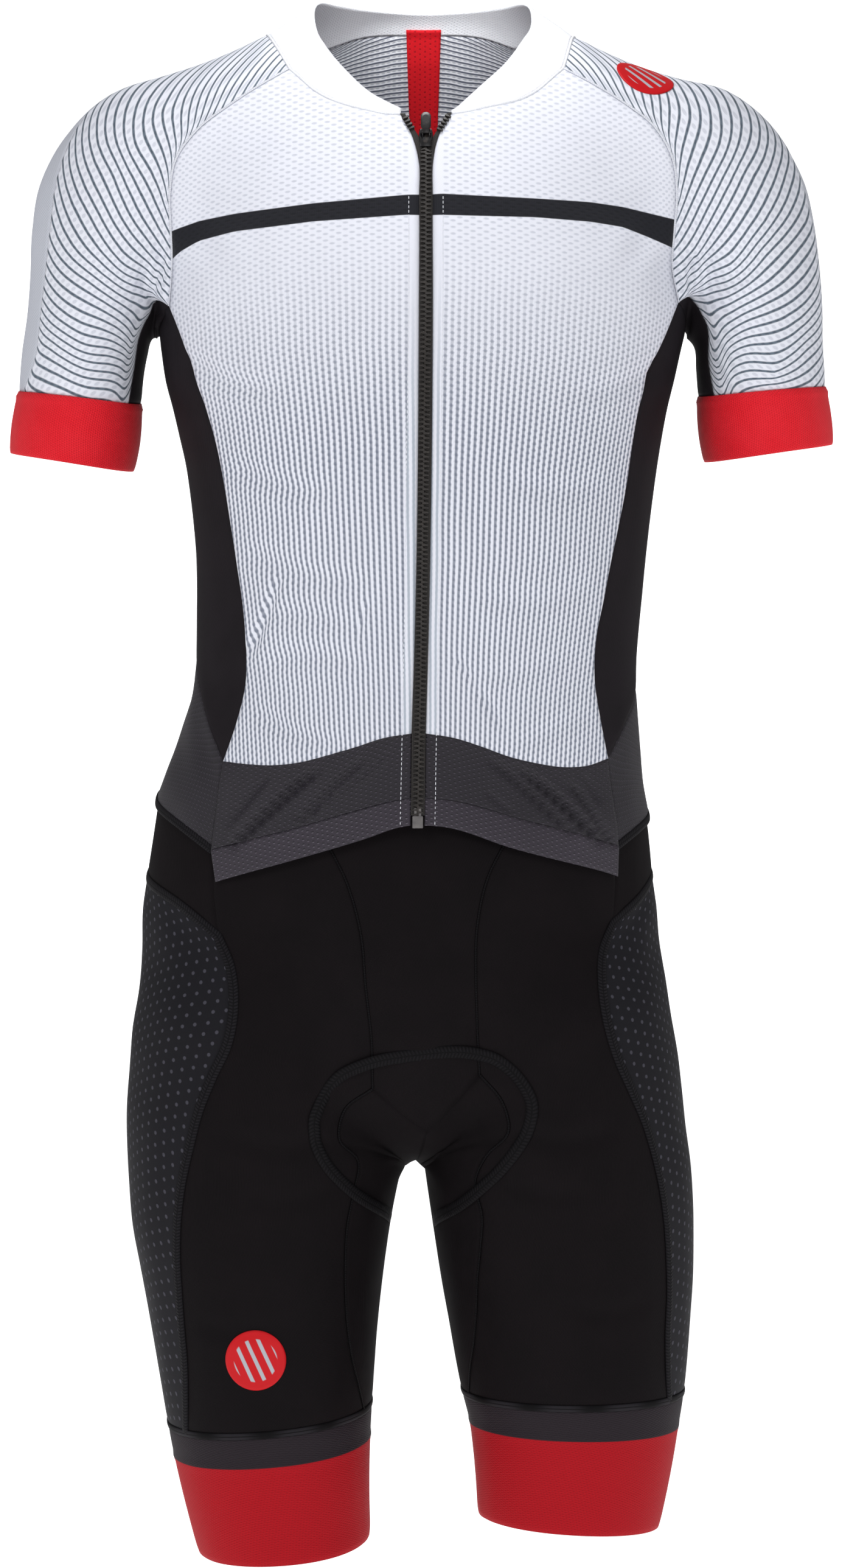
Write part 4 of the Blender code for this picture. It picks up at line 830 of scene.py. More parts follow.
FRONT_BOTTOM = {
    Which.LEFT: seen("F", (-124.4, -439.5), (-104.7, -441.6), (-86.2, -441.6), (-58.5, -435.4),
                     (-35.4, -428.5),
                 (-14.6, -422.3), (-5.9, -421.6)),
    Which.RIGHT: seen("F", (2.9, -421.6), (10.8, -422.3), (33.9, -428.5), (56.6, -436.6), (79.7, -441.6),
                  (98.2, -443.1), (117.4, -437.4)),
}
HEM_EDGE = {
    Which.LEFT: seen("F", (-131.3, -495.5), (-128, -467), (-124.4, -439.5)),
    Which.RIGHT: seen("F", (122.8, -493), (120, -465), (117.4, -437.4)),
}
BAND_TOP = {
    Which.LEFT: seen("F", (-131.3, -495.5), (-81.6, -482.8), (-48, -473), (-14.6, -464.3), (-6.3, -463)),
    Which.RIGHT: seen("F", (2.3, -463), (14.2, -463.9), (65, -477), (122.8, -493)),
}
BAND_BOTTOM = {
    Which.LEFT: seen("F", (-128.5, -515.5), (-81.6, -502.4), (-35.4, -488.6), (-12.3, -480.9), (-6.6, -480)),
    Which.RIGHT: seen("F", (2, -480), (10.8, -480.5), (56.6, -494.3), (122.4, -512)),
}
ZIP_EDGE = {
    Which.LEFT: seen("F", (-5.9, -421.6), (-4.5, -381), (-1.2, -150), (-1.2, -75), (-1.6, -57), (-4, -48),
                 (-9, -39), (-13, -30.5)),
    Which.RIGHT: seen("F", (2.9, -421.6), (4.1, -381), (7.4, -150), (7.4, -75), (7.8, -57), (9.2, -49),
                  (13.9, -39.3), (19.2, -30)),
}
ZIP_FOOT = {Which.LEFT: ((-6.5, -473.7), (-6.3, -463)), Which.RIGHT: ((2.1, -473.7), (2.3, -463))}
# The inner edges of the zip's two halves. They part above the slider.
ZIP_MIDDLE = table("height left right", (
    (-477, -2.3, -2.3),
    (-381, -0.2, -0.2),
    (-150, 3.1, 3.1),
    (-52, 3.1, 3.1),
    (-30.5, -10, 16.5),
))
COLLAR_FRONT = {
    Which.LEFT: seen("F", (-82.8, -1.9), (-62.4, -18.1), (-28.5, -29.6), (-13, -30.5)),
    Which.RIGHT: seen("F", (89.7, -1.9), (68.1, -18.5), (29.4, -28.9), (19.2, -30)),
}
COLLAR_BACK = seen("B", (-62, 31), (-42, 40), (0, 45), (42, 40), (62, 31))
# Round an arm, in degrees from its outer side forwards and distance along it.
COLLAR_SIDE = ((25, 27), (0, 28), (-18, 22))
STRIPE_SEAM = {
    Which.LEFT: ((54, 247), (55, 226), (54, 200), (52, 168), (45, 148), (33, 128), (14, 112), (0, 88),
                 (-11, 55)),
    Which.RIGHT: ((6, 235), (14, 207), (24, 190), (28, 178), (31, 165), (28, 150), (16, 136), (0, 112),
                  (-11, 65)),
}
UNDERARM_FRONT = {
    Which.LEFT: [("A", 146, 242), ("A", 142, 222), ("F", -168, -149)],
    Which.RIGHT: [("A", 142, 242), ("A", 138, 222), ("F", 171, -146)],
}
UNDERARM_REAR = {
    Which.LEFT: [("A", 222, 242), ("A", 220, 222), ("B", -168, -149)],
    Which.RIGHT: [("A", 222, 242), ("A", 220, 222), ("B", 168, -149)],
}
# The side panel's top, round the torso from the front: degrees and height.
ARMPIT = {
    Which.LEFT: [("A", -80, -160), ("A", -85, -165), ("A", -90, -170), ("A", -95, -166), ("A", -100, -160)],
    Which.RIGHT: [("A", 81, -158), ("A", 86, -163), ("A", 92, -167), ("A", 97, -164), ("A", 102, -159)],
}
JOINT_SIDE = {
    Which.LEFT: [("B", -120, -455), ("A", -92, -461)] + seen("F", (-151.3, -479.7), (-131.3, -495.5)),
    Which.RIGHT: [("B", 108, -456), ("A", 92, -470)] + seen("F", (132.8, -484.9), (122.8, -493)),
}
JOINT_BACK = {
    Which.LEFT: seen("B", (-120, -455), (-70, -453), (-12, -452)),
    Which.RIGHT: seen("B", (108, -456), (50, -453), (-12, -452)),
}
REAR_UPPER = {Which.LEFT: seen("B", (-127, -490), (-120, -455)),
              Which.RIGHT: seen("B", (113, -490), (108, -456))}
REAR_LOWER = {
    Which.LEFT: seen("B", (-121, -790), (-127, -720), (-130, -640), (-131, -560), (-127, -490)),
    Which.RIGHT: seen("B", (116, -790), (118, -720), (117, -640), (116, -560), (113, -490)),
}
FLATLOCK_UPPER = {
    Which.LEFT: [("B", -127, -490), ("A", -115, -498), ("A", -90, -510)]
            + seen("F", (-159, -525.5), (-142.1, -537.5), (-128.6, -549.8)),
    Which.RIGHT: [("B", 113, -490), ("A", 118, -498), ("A", 92, -508)]
             + seen("F", (141.3, -520.9), (132.1, -533.2), (121.7, -542.1)),
}
FLATLOCK_LOWER = {
    Which.LEFT: seen("F", (-149.8, -822), (-152.5, -788.9), (-154.8, -747.3), (-152.1, -709.6),
                     (-146.7, -683.8),
                 (-140.9, -661), (-133.2, -641), (-125.5, -626), (-119.4, -604.5), (-118.6, -587.9),
                 (-120.9, -568.3), (-128.6, -549.8)),
    Which.RIGHT: seen("F", (156.3, -813.5), (157.5, -772.3), (153.6, -714.2), (149, -691.5), (141.3, -665.7),
                  (132.1, -644.1), (123.2, -622.9), (117, -598.7), (114.7, -575.6), (115.5, -557.5),
                  (121.7, -542.1)),
}
WAIST_FRONT = {
    Which.LEFT: seen("F", (-128.6, -549.8), (-131.7, -516.3), (-131.3, -495.5)),
    Which.RIGHT: seen("F", (121.7, -542.1), (123.2, -511.7), (122.8, -493)),
}
WAIST_TOP = {Which.LEFT: (-131.7, -75), Which.RIGHT: (123, 70)}      # hidden under the flap
WAIST_HEIGHT = -455
CENTRE_FRONT = {
    Which.LEFT: seen("F", (-30.6, -646.4), (-30.4, -626), (-32.7, -604.5), (-35.8, -574), (-38.9, -543.6),
                 (-46.2, -517.8), (-57.8, -495.1), (-75, -455)),
    Which.RIGHT: seen("F", (37, -637.4), (36.2, -618.3), (34.7, -565.2), (36.2, -537.8), (40.8, -516.3),
                  (52.4, -493.6), (70, -455)),
}
GUSSET = seen("F", (3.9, -673))
INNER_FRONT = {
    Which.LEFT: seen("F", (-43.1, -818.5), (-47.4, -746.1), (-44.7, -720.3), (-41.2, -707.6), (-38.5, -699.5),
                 (-53.9, -673), (-30.6, -646.4)),
    Which.RIGHT: seen("F", (34, -800), (36, -760), (38.5, -733), (38.1, -720.3), (33.9, -703.8),
                      (56.6, -668.4),
                  (37, -637.4)),
}
CROTCH = np.array((-3.9, -4.0, -691.0))
CENTRE_BACK = seen("B", (-4, -655), (-8, -560), (-12, -452))
INNER_BACK = {
    Which.LEFT: seen("B", (-48, -800), (-46, -750), (-36, -700), (-4, -655)),
    Which.RIGHT: seen("B", (42, -800), (40, -750), (30, -700), (-4, -655)),
}
# The collar's top edge as seen from the front, with how far back each place is.
COLLAR_TOP = table("across height depth", (
    (-12.6, -27.5, -66),
    (-33.2, -16.4, -54),
    (-45.9, -4.9, -44),
    (-60, 11.7, -28),
    (-65.8, 22, -15),
    (-67, 34.7, -4),
    (-64, 39.7, 10),
    (-50.8, 38.1, 32),
    (-35.4, 35.8, 46),
    (2.3, 33.1, 60),
    (30, 34.5, 54),
    (50, 37, 40),
    (65, 39, 15),
    (68.5, 36, 2),
    (68.9, 23, -14),
    (65, 17, -24),
    (53.5, 1.5, -40),
    (38.3, -12.5, -52),
    (20.4, -29.1, -66),
))


def straight(places: Sequence[float], height: float, count: int) -> Line:
    """Points on the front at one height, hidden under the flap."""
    across = np.linspace(places[0], places[1], count + 1)
    return Line.through(FRONT.surface(np.stack([across, np.full(count + 1, float(height))], -1)))


class Side:
    """The seams and charts of the suit's left or right, named after what they join."""

    def __init__(self, which: Which) -> None:
        """Args: which: the side."""
        self.which = which
        self.left = which is Which.LEFT
        sign = which.sign
        self.arm = RoundArm(ARMS[which])
        self.sleeve = RoundArm(SLEEVE_GUIDES[which])
        self.sleeve_below = RoundArm(SLEEVE_GUIDES[which], 0)
        self.trunk = Round(TRUNK, -180)
        self.leg = Round(LEGS[which], -180)
        self.leg_outside = Round(LEGS[which], -180 + 90 * sign)
        self.leg_behind = Round(LEGS[which], 0 if self.left else -360)
        raglan_back = RAGLAN_BACK if self.left else mirrored(RAGLAN_BACK)
        self.raglan_front = seam(RAGLAN_FRONT[which], 8)
        self.raglan_back = seam(raglan_back, 8)
        self.side_front = seam(SIDE_FRONT[which], 12)
        self.side_back = seam(SIDE_BACK[which], 12)
        self.side_bottom = seam(SIDE_BOTTOM[which], 6, self.trunk)
        self.front_bottom = seam(FRONT_BOTTOM[which], 7)
        self.hem_edge = seam(HEM_EDGE[which], 4)
        self.band_top = seam(BAND_TOP[which], 21)
        self.band_bottom = seam(BAND_BOTTOM[which], 21)
        self.zip_edge = seam(ZIP_EDGE[which], 20)
        self.zip_hem = seam(seen("F", ZIP_FOOT[which][1], ZIP_EDGE[which][0][1:]), 8)
        self.zip_foot = seam(seen("F", *ZIP_FOOT[which]), 1)
        self.collar_front = seam(COLLAR_FRONT[which], 7)
        collar_side = [("A", *place) for place in COLLAR_SIDE]
        self.collar_side = seam([self.collar_front.start()] + collar_side, 7, self.arm)
        self.collar_rear = seam([self.collar_side.end(), self.raglan_back.end()], 6)
        self.armpit = seam([self.raglan_front.start()] + ARMPIT[which] + [self.raglan_back.start()], 6,
                           self.trunk)
        self.cuff_rings()
        stripes = [("A", *place) for place in STRIPE_SEAM[which]]
        cuff = self.cuff_seam.coarse
        self.stripes = seam([cuff[7]] + stripes + [self.collar_side.end()], 12, self.arm)
        self.underarm_front = seam([cuff[0]] + UNDERARM_FRONT[which] + [self.raglan_front.start()], 4,
                                   self.arm)
        self.underarm_rear = seam([cuff[13]] + UNDERARM_REAR[which] + [self.raglan_back.start()], 4, self.arm)
        self.joint_side = seam(JOINT_SIDE[which], 6, self.trunk)
        self.joint_back = seam(JOINT_BACK[which], 6)
        self.rear_upper = seam(REAR_UPPER[which], 2)
        self.flatlock_upper = seam(FLATLOCK_UPPER[which], 6, self.trunk)
        self.waist_front = seam(WAIST_FRONT[which], 2)
        self.waist_hidden = seam([self.waist_front.end(), ("F", WAIST_TOP[which][0], WAIST_HEIGHT)], 1)
        self.waist_top = straight(WAIST_TOP[which], WAIST_HEIGHT, 7)
        self.centre_front = seam(CENTRE_FRONT[which], 6)
        self.gusset = seam([self.centre_front.start()] + GUSSET, 5)
        self.crotch = seam([("B", *INNER_BACK[which][-1][1:]), CROTCH, self.gusset.end()], 4)
        self.centre_back = seam(CENTRE_BACK, 9)
        self.leg_rings()
        leg = self.leg_seam.coarse
        self.flatlock_lower = seam([leg[0]] + FLATLOCK_LOWER[which], 14)
        self.inner_front = seam([leg[7]] + INNER_FRONT[which], 11)
        self.inner_back = seam([leg[12]] + INNER_BACK[which], 7)
        self.rear_lower = seam([leg[18]] + REAR_LOWER[which], 14)

    def ordered(self, outer: Line, inner: Line) -> tuple[Line, Line]:
        """The outer and inner rims of a front panel, from the viewer's left to their right."""
        return (outer, inner) if self.left else (inner, outer)

    def cuff_rings(self) -> None:
        """Rings of 19 faces, from the front underarm seam over the top to the rear one, and underneath."""
        corner = CUFF_CORNER[self.which]
        turns = ((corner["front"], corner["stripes"], 7), (corner["stripes"], corner["rear"] - 360, 6),
                 (corner["rear"] - 360, corner["front"] - 360, 6))
        self.cuff_seam, self.cuff_hem = (
            ring_of(cuff_arc, self.arm, level, turns) for level in CUFF_RING[self.which].values())

    def leg_rings(self) -> None:
        """Rings of 24 faces, from the flat seam across the front, the inner leg and the back."""
        corner = LEG_CORNER[self.which]
        again = corner["flatlock"] - self.which.sign * 360
        turns = ((corner["flatlock"], corner["inner_front"], 7),
                 (corner["inner_front"], corner["inner_back"], 5),
                 (corner["inner_back"], corner["rear"], 6), (corner["rear"], again, 6))
        self.leg_seam, self.leg_hem = (
            ring_of(ring_arc, self.leg, level, turns) for level in LEG_RING[self.which].values())


SIDES = {which: Side(which) for which in Which}


# ---------------------------------------------------------------------------------------------------
# Relief: creases given on the form, and the flap of the front.

# Troughs in the front flap: from beside the zip through a bend to the corner, then depth and half width.
HEM_FOLD = {
    Which.LEFT: table("x1 z1 x2 z2 x3 z3 deep wide", (
        (-57, -436, -86, -462, -117, -492, 2.2, 5.5),
        (-95, -445, -104, -457, -120, -478, 1.2, 4.5),
        (-32, -434, -52, -452, -74, -474, 1.4, 5.0),
        (-18, -429, -38, -451, -86, -482, 0.6, 4.0),
    )),
    Which.RIGHT: table("x1 z1 x2 z2 x3 z3 deep wide", (
        (39, -432, 62, -453, 92, -482, 1.6, 5.0),
        (51, -434, 80, -459, 110, -489, 2.2, 5.0),
        (92, -450, 105, -470, 118, -491, 1.3, 4.5),
        (102, -445, 106, -455, 110, -464, 0.7, 3.5),
        (40, -457, 48, -465, 57, -472, 0.5, 3.5),
    )),
}
# Troughs over the rest of the front and the back, in millimetres of those views.
FRONT_CREASE = table("x1 z1 x2 z2 x3 z3 deep wide", (
    (-170, -113, -164, -125, -170, -141, 2.0, 4.0),
    (-180, -131, -176, -137, -172, -146, 1.1, 4.0),
    (-171, -141, -167, -152, -160, -163, 1.3, 5.0),
    (174, -117, 172, -127, 169.5, -140, 2.0, 4.0),
    (174, -148, 190, -146, 218, -127, 1.2, 4.5),
    (172.5, -142.5, 187, -140, 201, -137, 0.8, 4.0),
    (-87, -317, -97, -346, -107, -371, 1.3, 4.0),
    (-33, -335, -36, -347, -39, -358, 0.8, 3.0),
    (18, -372, 27, -380, 34, -391, 0.9, 3.0),
    (36, -393, 42, -403, 50, -417, 1.1, 3.5),
    (-120, -246, -96, -262, -62, -268, 0.8, 9.0),
    (-112, -300, -84, -318, -40, -325, 0.7, 9.0),
    (-104, -352, -80, -346, -50, -352, 0.6, 8.0),
    (-98, -384, -74, -372, -36, -380, 0.6, 8.0),
    (-106, -402, -84, -420, -54, -428, 0.9, 7.0),
    (120, -258, 92, -268, 60, -262, 0.8, 9.0),
    (110, -322, 78, -338, 36, -334, 0.7, 9.0),
    (104, -366, 76, -380, 40, -384, 0.6, 8.0),
    (108, -404, 88, -418, 60, -430, 0.9, 7.0),
    (-150, -178, -128, -196, -96, -204, 1.0, 8.0),
    (154, -182, 130, -200, 98, -206, 1.0, 8.0),
    (-60, -560, -44, -590, -34, -622, 0.6, 9.0),
    (58, -556, 46, -584, 36, -618, 0.6, 9.0),
    (-52, -672, -84, -684, -120, -678, 0.8, 9.0),
    (-44, -700, -74, -716, -104, -716, 0.6, 8.0),
    (52, -666, 84, -680, 118, -674, 0.8, 9.0),
    (42, -698, 72, -712, 102, -712, 0.6, 8.0),
    (-146, -790, -120, -800, -90, -796, 0.5, 8.0),
    (150, -776, 122, -788, 92, -784, 0.5, 8.0),
))
BACK_CREASE = table("x1 z1 x2 z2 x3 z3 deep wide", (
    (-148, -158, -112, -178, -70, -184, 1.4, 9.0),
    (-140, -196, -110, -206, -84, -204, 0.9, 8.0),
    (146, -162, 108, -184, 62, -190, 1.4, 9.0),
    (138, -202, 112, -214, 80, -214, 0.8, 8.0),
    (-112, -296, -60, -312, -10, -308, 1.0, 10.0),
    (108, -322, 66, -336, 22, -330, 1.1, 10.0),
    (-96, -348, -52, -360, -16, -356, 0.8, 8.0),
    (-118, -392, -66, -404, -20, -398, 1.2, 9.0),
    (112, -384, 60, -396, 26, -392, 0.9, 9.0),
    (90, -424, 48, -432, 12, -426, 0.8, 8.0),
    (-14, -560, -40, -600, -52, -640, 0.9, 10.0),
    (6, -566, 34, -604, 44, -642, 0.9, 10.0),
    (-30, -672, -66, -664, -112, -676, 1.6, 9.0),
    (24, -668, 62, -660, 108, -674, 1.5, 9.0),
    (-40, -700, -76, -694, -108, -704, 0.9, 8.0),
    (36, -694, 70, -690, 104, -700, 1.0, 8.0),
    (-56, -760, -86, -752, -124, -762, 0.7, 8.0),
    (52, -748, 84, -742, 118, -752, 0.7, 8.0),
    (-206, -140, -196, -160, -180, -172, 1.0, 7.0),
    (204, -136, 196, -158, 182, -170, 1.0, 7.0),
    (-60, 4, -30, -6, 0, -4, 0.6, 9.0),
    (8, -30, 44, -40, 84, -34, 0.6, 10.0),
))
# Shares of a fold's length where it fades, of its depth for the ridge beside it, and the gain on all depths.
FOLD_END = {"start": 0.25, "last": 1.15, "end": 0.3, "ridge": 0.9, "gain": 1.9}
FOLD_POINTS = 13       # on the middle line of a fold
FOLD_REACH = 4         # half widths from its middle line beyond which a fold moves nothing
FLAP = {"lift": 3.8, "ramp": 50.0, "fold_ramp": 14.0, "side": 95.0, "over": 35.0, "loss": 0.65}
TUCK = {"height": -500.0, "over": 28.0, "sink": 2.6}      # where the shorts pass in under the flap
SEAM_DIP = 0.45        # how far cloth is drawn in along its seams
FACING = 0.35          # how square to a view the cloth has to be for a crease to have its full depth


def crease_depth(where: Array, rows: Rows) -> Array:
    """How far troughs, and the ridges beside them, move cloth out at places in a view."""
    total = np.zeros(where.shape[:-1])
    t = np.linspace(0, 1, FOLD_POINTS)[:, None]
    for k in range(len(rows["deep"])):
        ends = [np.array([rows[f"x{i}"][k], rows[f"z{i}"][k]]) for i in (1, 2, 3)]
        bend = 2 * ends[1] - (ends[0] + ends[2]) / 2
        line = ends[0] * (1 - t)**2 + bend * 2 * t * (1 - t) + ends[2] * t**2
        wide = rows["wide"][k]
        low, high = line.min(0) - FOLD_REACH * wide, line.max(0) + FOLD_REACH * wide
        near = ((where > low) & (where < high)).all(-1)
        if not near.any():
            continue
        gap = np.linalg.norm(where[near][:, None, :] - line, axis=-1)
        nearest = gap.argmin(-1) / (len(line) - 1)
        fade = (soft_step(nearest / FOLD_END["start"])
                * soft_step((FOLD_END["last"] - nearest) / FOLD_END["end"]))
        spread = (gap.min(-1) / wide)**2
        total[near] -= (FOLD_END["gain"] * rows["deep"][k] * fade * (1 - FOLD_END["ridge"] * spread)
                        * np.exp(-spread))
    return total


def relief(place: Array, out: Array) -> Array:
    """How far the creases of the front and the back move cloth out, at places on the form."""
    total = np.zeros(place.shape[:-1])
    for view, rows in ((FRONT, FRONT_CREASE), (BACK, BACK_CREASE)):
        total += soft_step(view.side * out[..., 1] / FACING) * crease_depth(view.locate(place), rows)
    return total


def flap_rise(side: Side) -> Callable[[Array], Array]:
    """How far the front flap stands off the form: more towards its hem, less at its side seam, with folds."""
    edge = side.front_bottom.coarse
    edge = edge[np.argsort(edge[:, 0])]

    def rise(point: Array) -> Array:
        """The rise at points on the form."""
        where = FRONT.locate(point)
        below = np.interp(point[..., 0], edge[:, 0], edge[:, 2]) - point[..., 2]
        held = soft_step((np.abs(where[..., 0]) - FLAP["side"]) / FLAP["over"])
        lift = FLAP["lift"] * soft_step(below / FLAP["ramp"]) * (1 - FLAP["loss"] * held)
        return lift + crease_depth(where, HEM_FOLD[side.which]) * soft_step(below / FLAP["fold_ramp"])

    return rise


def tuck(point: Array) -> Array:
    """The shorts' front sinks where it passes under the flap."""
    return -TUCK["sink"] * soft_step((point[..., 2] - TUCK["height"]) / TUCK["over"])


# ---------------------------------------------------------------------------------------------------
# Meshes.

CLOTH_THICK = 0.8
SEAM_THICK = 0.5       # of a strip of sewing
SHARP_COPY = 40.0      # degrees of bend above which an edge stays sharp: stitches and teeth
SHARP_METAL = 35.0     # and the zip's hard parts
RIM_FADE = 0.9         # over how many points of a panel its dip at a seam fades
FLAT_SIZES: dict[str, tuple[float, float, float]] = {}      # width, length and area as cut, by node


def arcs(place: Array, axis: int) -> Array:
    """Distance along a grid's lines, measured from their middles."""
    step = np.linalg.norm(np.diff(place, axis=axis), axis=-1)
    start = np.zeros_like(np.take(step, [0], axis))
    gone = np.concatenate((start, np.cumsum(step, axis)), axis)
    return gone - np.take(gone, [gone.shape[axis] // 2], axis)


def unrolled(place: Array) -> Array:
    """Flat coordinates of a grid of cloth, in millimetres."""
    return np.stack([arcs(place, 0), arcs(place, 1)], -1)


def add_object(name: str, data: bpy.types.ID) -> bpy.types.Object:
    """An object in the scene, at the origin, for a mesh, a light or a camera."""
    item = bpy.data.objects.new(name, data)
    bpy.context.scene.collection.objects.link(item)
    return item


def in_order(bm: bmesh.types.BMesh, digits: int = 4) -> None:
    """Remake the corners and faces in the order of their places, since Blender's own changes between runs.

    A face of four corners starts at the first of the two ends of the diagonal that splits it in triangles,
    and any other face where it started before. So no triangle changes, only their order.

    Args:
        bm: a mesh in millimetres, as create_uvsphere and extrude_face_region leave it.
        digits: how many decimals tell two places apart.
    """
    corners = sorted(bm.verts, key=lambda vert: tuple(round(value, digits) for value in vert.co))
    rank = {vert: i for i, vert in enumerate(corners)}
    rows = [[rank[vert] for vert in face.verts] for face in bm.faces]
    rows = [row[2:] + row[:2] if len(row) == 4 and row[2] < row[0] else row for row in rows]
    places = [vert.co.copy() for vert in corners]
    bm.clear()
    verts = [bm.verts.new(place) for place in places]
    for row in sorted(rows, key=sorted):
        bm.faces.new([verts[i] for i in row])


def finished(name: str, bm: bmesh.types.BMesh, sharp: float | None = None) -> bpy.types.Mesh:
    """A smooth mesh of a bmesh, which is freed. Edges that bend more than the sharp angle stay sharp."""
    for face in bm.faces:
        face.smooth = True
    mesh = bpy.data.meshes.new(name)
    bm.to_mesh(mesh)
    bm.free()
    if sharp is not None:
        mesh.set_sharp_from_angle(angle=math.radians(sharp))
    return mesh


def thicken(item: bpy.types.Object, thick: float) -> None:
    """Give a surface its thickness, inwards from its outer face."""
    shell = item.modifiers.new("thickness", "SOLIDIFY")
    shell.thickness = thick * MM
    shell.offset = -1


def grid_mesh(name: str, place: Array, out: Array, maps: dict[str, Array], ring: bool = False
              ) -> bpy.types.Mesh:
    """A surface through a grid of points.

    Args:
        name: the mesh's name.
        place: the points, in millimetres.
        out: which way the surface faces at each.
        maps: for each UV map, its two coordinates at each point.
        ring: whether the first and last rows are the same.

    Returns:
        The mesh, in metres.
    """
    across, up = place.shape[0] - 1, place.shape[1] - 1
    bm = bmesh.new()
    bmesh.ops.create_grid(bm, x_segments=across, y_segments=up, size=1)
    mesh = bpy.data.meshes.new(name)
    bm.to_mesh(mesh)
    flat = np.empty(len(mesh.vertices) * 3, np.float32)
    mesh.vertices.foreach_get("co", flat)
    i, j = (np.rint((flat[axis::3] + 1) / 2 * count).astype(int) for axis, count in ((0, across), (1, up)))
    mesh.vertices.foreach_set("co", (place[i, j] * MM).astype(np.float32).ravel())
    corner = np.empty(len(mesh.loops), np.int32)
    mesh.loops.foreach_get("vertex_index", corner)
    for label, values in maps.items():
        layer = mesh.uv_layers.new(name=label)
        layer.data.foreach_set("uv", values[i, j][corner].astype(np.float32).ravel())
    normal = np.cross(place[1:, :-1] - place[:-1, :-1], place[:-1, 1:] - place[:-1, :-1])
    bm.clear()
    bm.from_mesh(mesh)
    if (normal * out[:-1, :-1]).sum() < 0:
        bmesh.ops.reverse_faces(bm, faces=bm.faces[:])
    if ring:
        bmesh.ops.remove_doubles(bm, verts=bm.verts[:], dist=1e-6)
    for face in bm.faces:
        face.smooth = True
    bm.to_mesh(mesh)
    bm.free()
    return mesh


@dataclass
class Piece:
    """A finished piece of the suit."""

    item: bpy.types.Object
    body: str = GARMENT

    def dress(self, material: bpy.types.Material) -> Piece:
        """Give the piece its material."""
        self.item.data.materials.append(material)
        return self

    def ride(self) -> Piece:
        """Make the piece move with its body."""
        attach(self.item, self.body)
        return self

    def stand_for(self, *nodes: str, slot: str | None = None) -> Piece:
        """Hide the nodes that the piece stands for."""
        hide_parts(*nodes)
        return self


class Held(Enum):
    """How a sheet of cloth is held."""

    STRETCHED = "stretched"
    HUNG = "hung"


def surface_area(place: Array) -> float:
    """Area of a grid of points, in square millimetres."""
    a, b = place[1:, 1:] - place[:-1, :-1], place[1:, :-1] - place[:-1, 1:]
    return float(np.linalg.norm(np.cross(a, b), axis=-1).sum() / 2)


def cloth(name: str, panel: Panel, lift: Array | float, material: bpy.types.Material,
          maps: dict[str, Array] | None = None, ring: bool = False, held: Held = Held.STRETCHED,
          slot: str | None = None, thick: float = CLOTH_THICK) -> Piece:
    """A thin sheet of cloth with its outer face a distance outside a panel.

    Args:
        name: the piece's name, which is that of the node that it stands for with "cloth_" before it.
        panel: the panel.
        lift: how far its outer face lies outside the panel's points.
        material: its finish.
        maps: its UV maps; without them it has one, "cut", with its own flat coordinates.
        ring: whether it is a tube.
        held: how it is held; not used.
        slot: the record's material slot; not used.
        thick: its thickness.

    Returns:
        The piece.
    """
    place = panel.place + panel.out * (lift + np.zeros(panel.place.shape[:2]))[..., None]
    maps = maps or {"cut": unrolled(place)}
    item = add_object(f"cloth_{name}", grid_mesh(name, place, panel.out, maps, ring))
    thicken(item, thick)
    piece = Piece(item).dress(material).ride().stand_for(name, slot=slot)
    area = surface_area(place)
    wide, long = (float(np.ptp(arcs(place, axis), axis).max()) for axis in (0, 1))
    if wide * long < area:
        wide = area / long
    FLAT_SIZES[name] = (wide, long, area)
    return piece


def rim_dip(shape: tuple[int, int], ring: bool = False) -> Array:
    """How far each point of a panel is drawn in by the seam at its rim."""
    i, j = (np.minimum(np.arange(count), np.arange(count)[::-1]) for count in shape)
    near = np.broadcast_to(j[None, :], shape) if ring else np.minimum(i[:, None], j[None, :])
    return -SEAM_DIP * np.exp(-(near / RIM_FADE)**2)


def lie(panel: Panel, face: float) -> Array:
    """How far a panel's outer face lies outside the form, with its creases and the dip along its rims."""
    return face + relief(panel.place, panel.out) + rim_dip(panel.place.shape[:2])


def ribbon(name: str, line: Array, width: float, lift: Array | float, crown: float,
           material: bpy.types.Material, out: Array | None = None, count: int = 5,
           closed: bool = False) -> Piece:
    """A flat seam or a row of stitches that follows a line over the cloth.

    Args:
        name: the piece's name.
        line: the middle line's points on the form.
        width: how wide it is.
        lift: how far its edges lie outside the form.
        crown: how much farther out its middle lies.
        material: its finish.
        out: which way it faces at each point; the form's own way if left out.
        count: how many points lie across it.
        closed: whether the line comes back to its start.

    Returns:
        The piece, riding with the garment.
    """
    out = outward(line) if out is None else out
    run = unit(np.gradient(line, axis=0))
    if closed:
        run[[0, -1]] = unit(run[0] + run[-1])
    side = unit(np.cross(out, run))
    u = np.linspace(-1, 1, count)
    rise = (lift + np.zeros(len(line)))[:, None] + crown * (1 - u**2)[None, :]
    place = line[:, None] + side[:, None] * (u * width / 2)[None, :, None] + out[:, None] * rise[..., None]
    gone = gone_along(line)
    flat = np.stack(np.broadcast_arrays((u * width / 2)[None, :], gone[:, None]), -1)
    facing = np.broadcast_to(out[:, None], place.shape)
    item = add_object(name, grid_mesh(name, place, facing, {"cut": flat}, closed))
    thicken(item, SEAM_THICK)
    return Piece(item).dress(material).ride()


def along_line(points: Array, spacing: float) -> Array:
    """Points at equal distances along a line."""
    gone = gone_along(points)
    count = max(int(gone[-1] / spacing), 1)
    at = (np.arange(count) + 0.5) * gone[-1] / count
    return points_at(at, gone, points)


def unit_frame(run: Array, out: Array) -> Array:
    """Turning matrices whose columns are the side, the run and the way out."""
    side = unit(np.cross(run, out))
    return np.stack([side, run, np.cross(side, run)], -1)


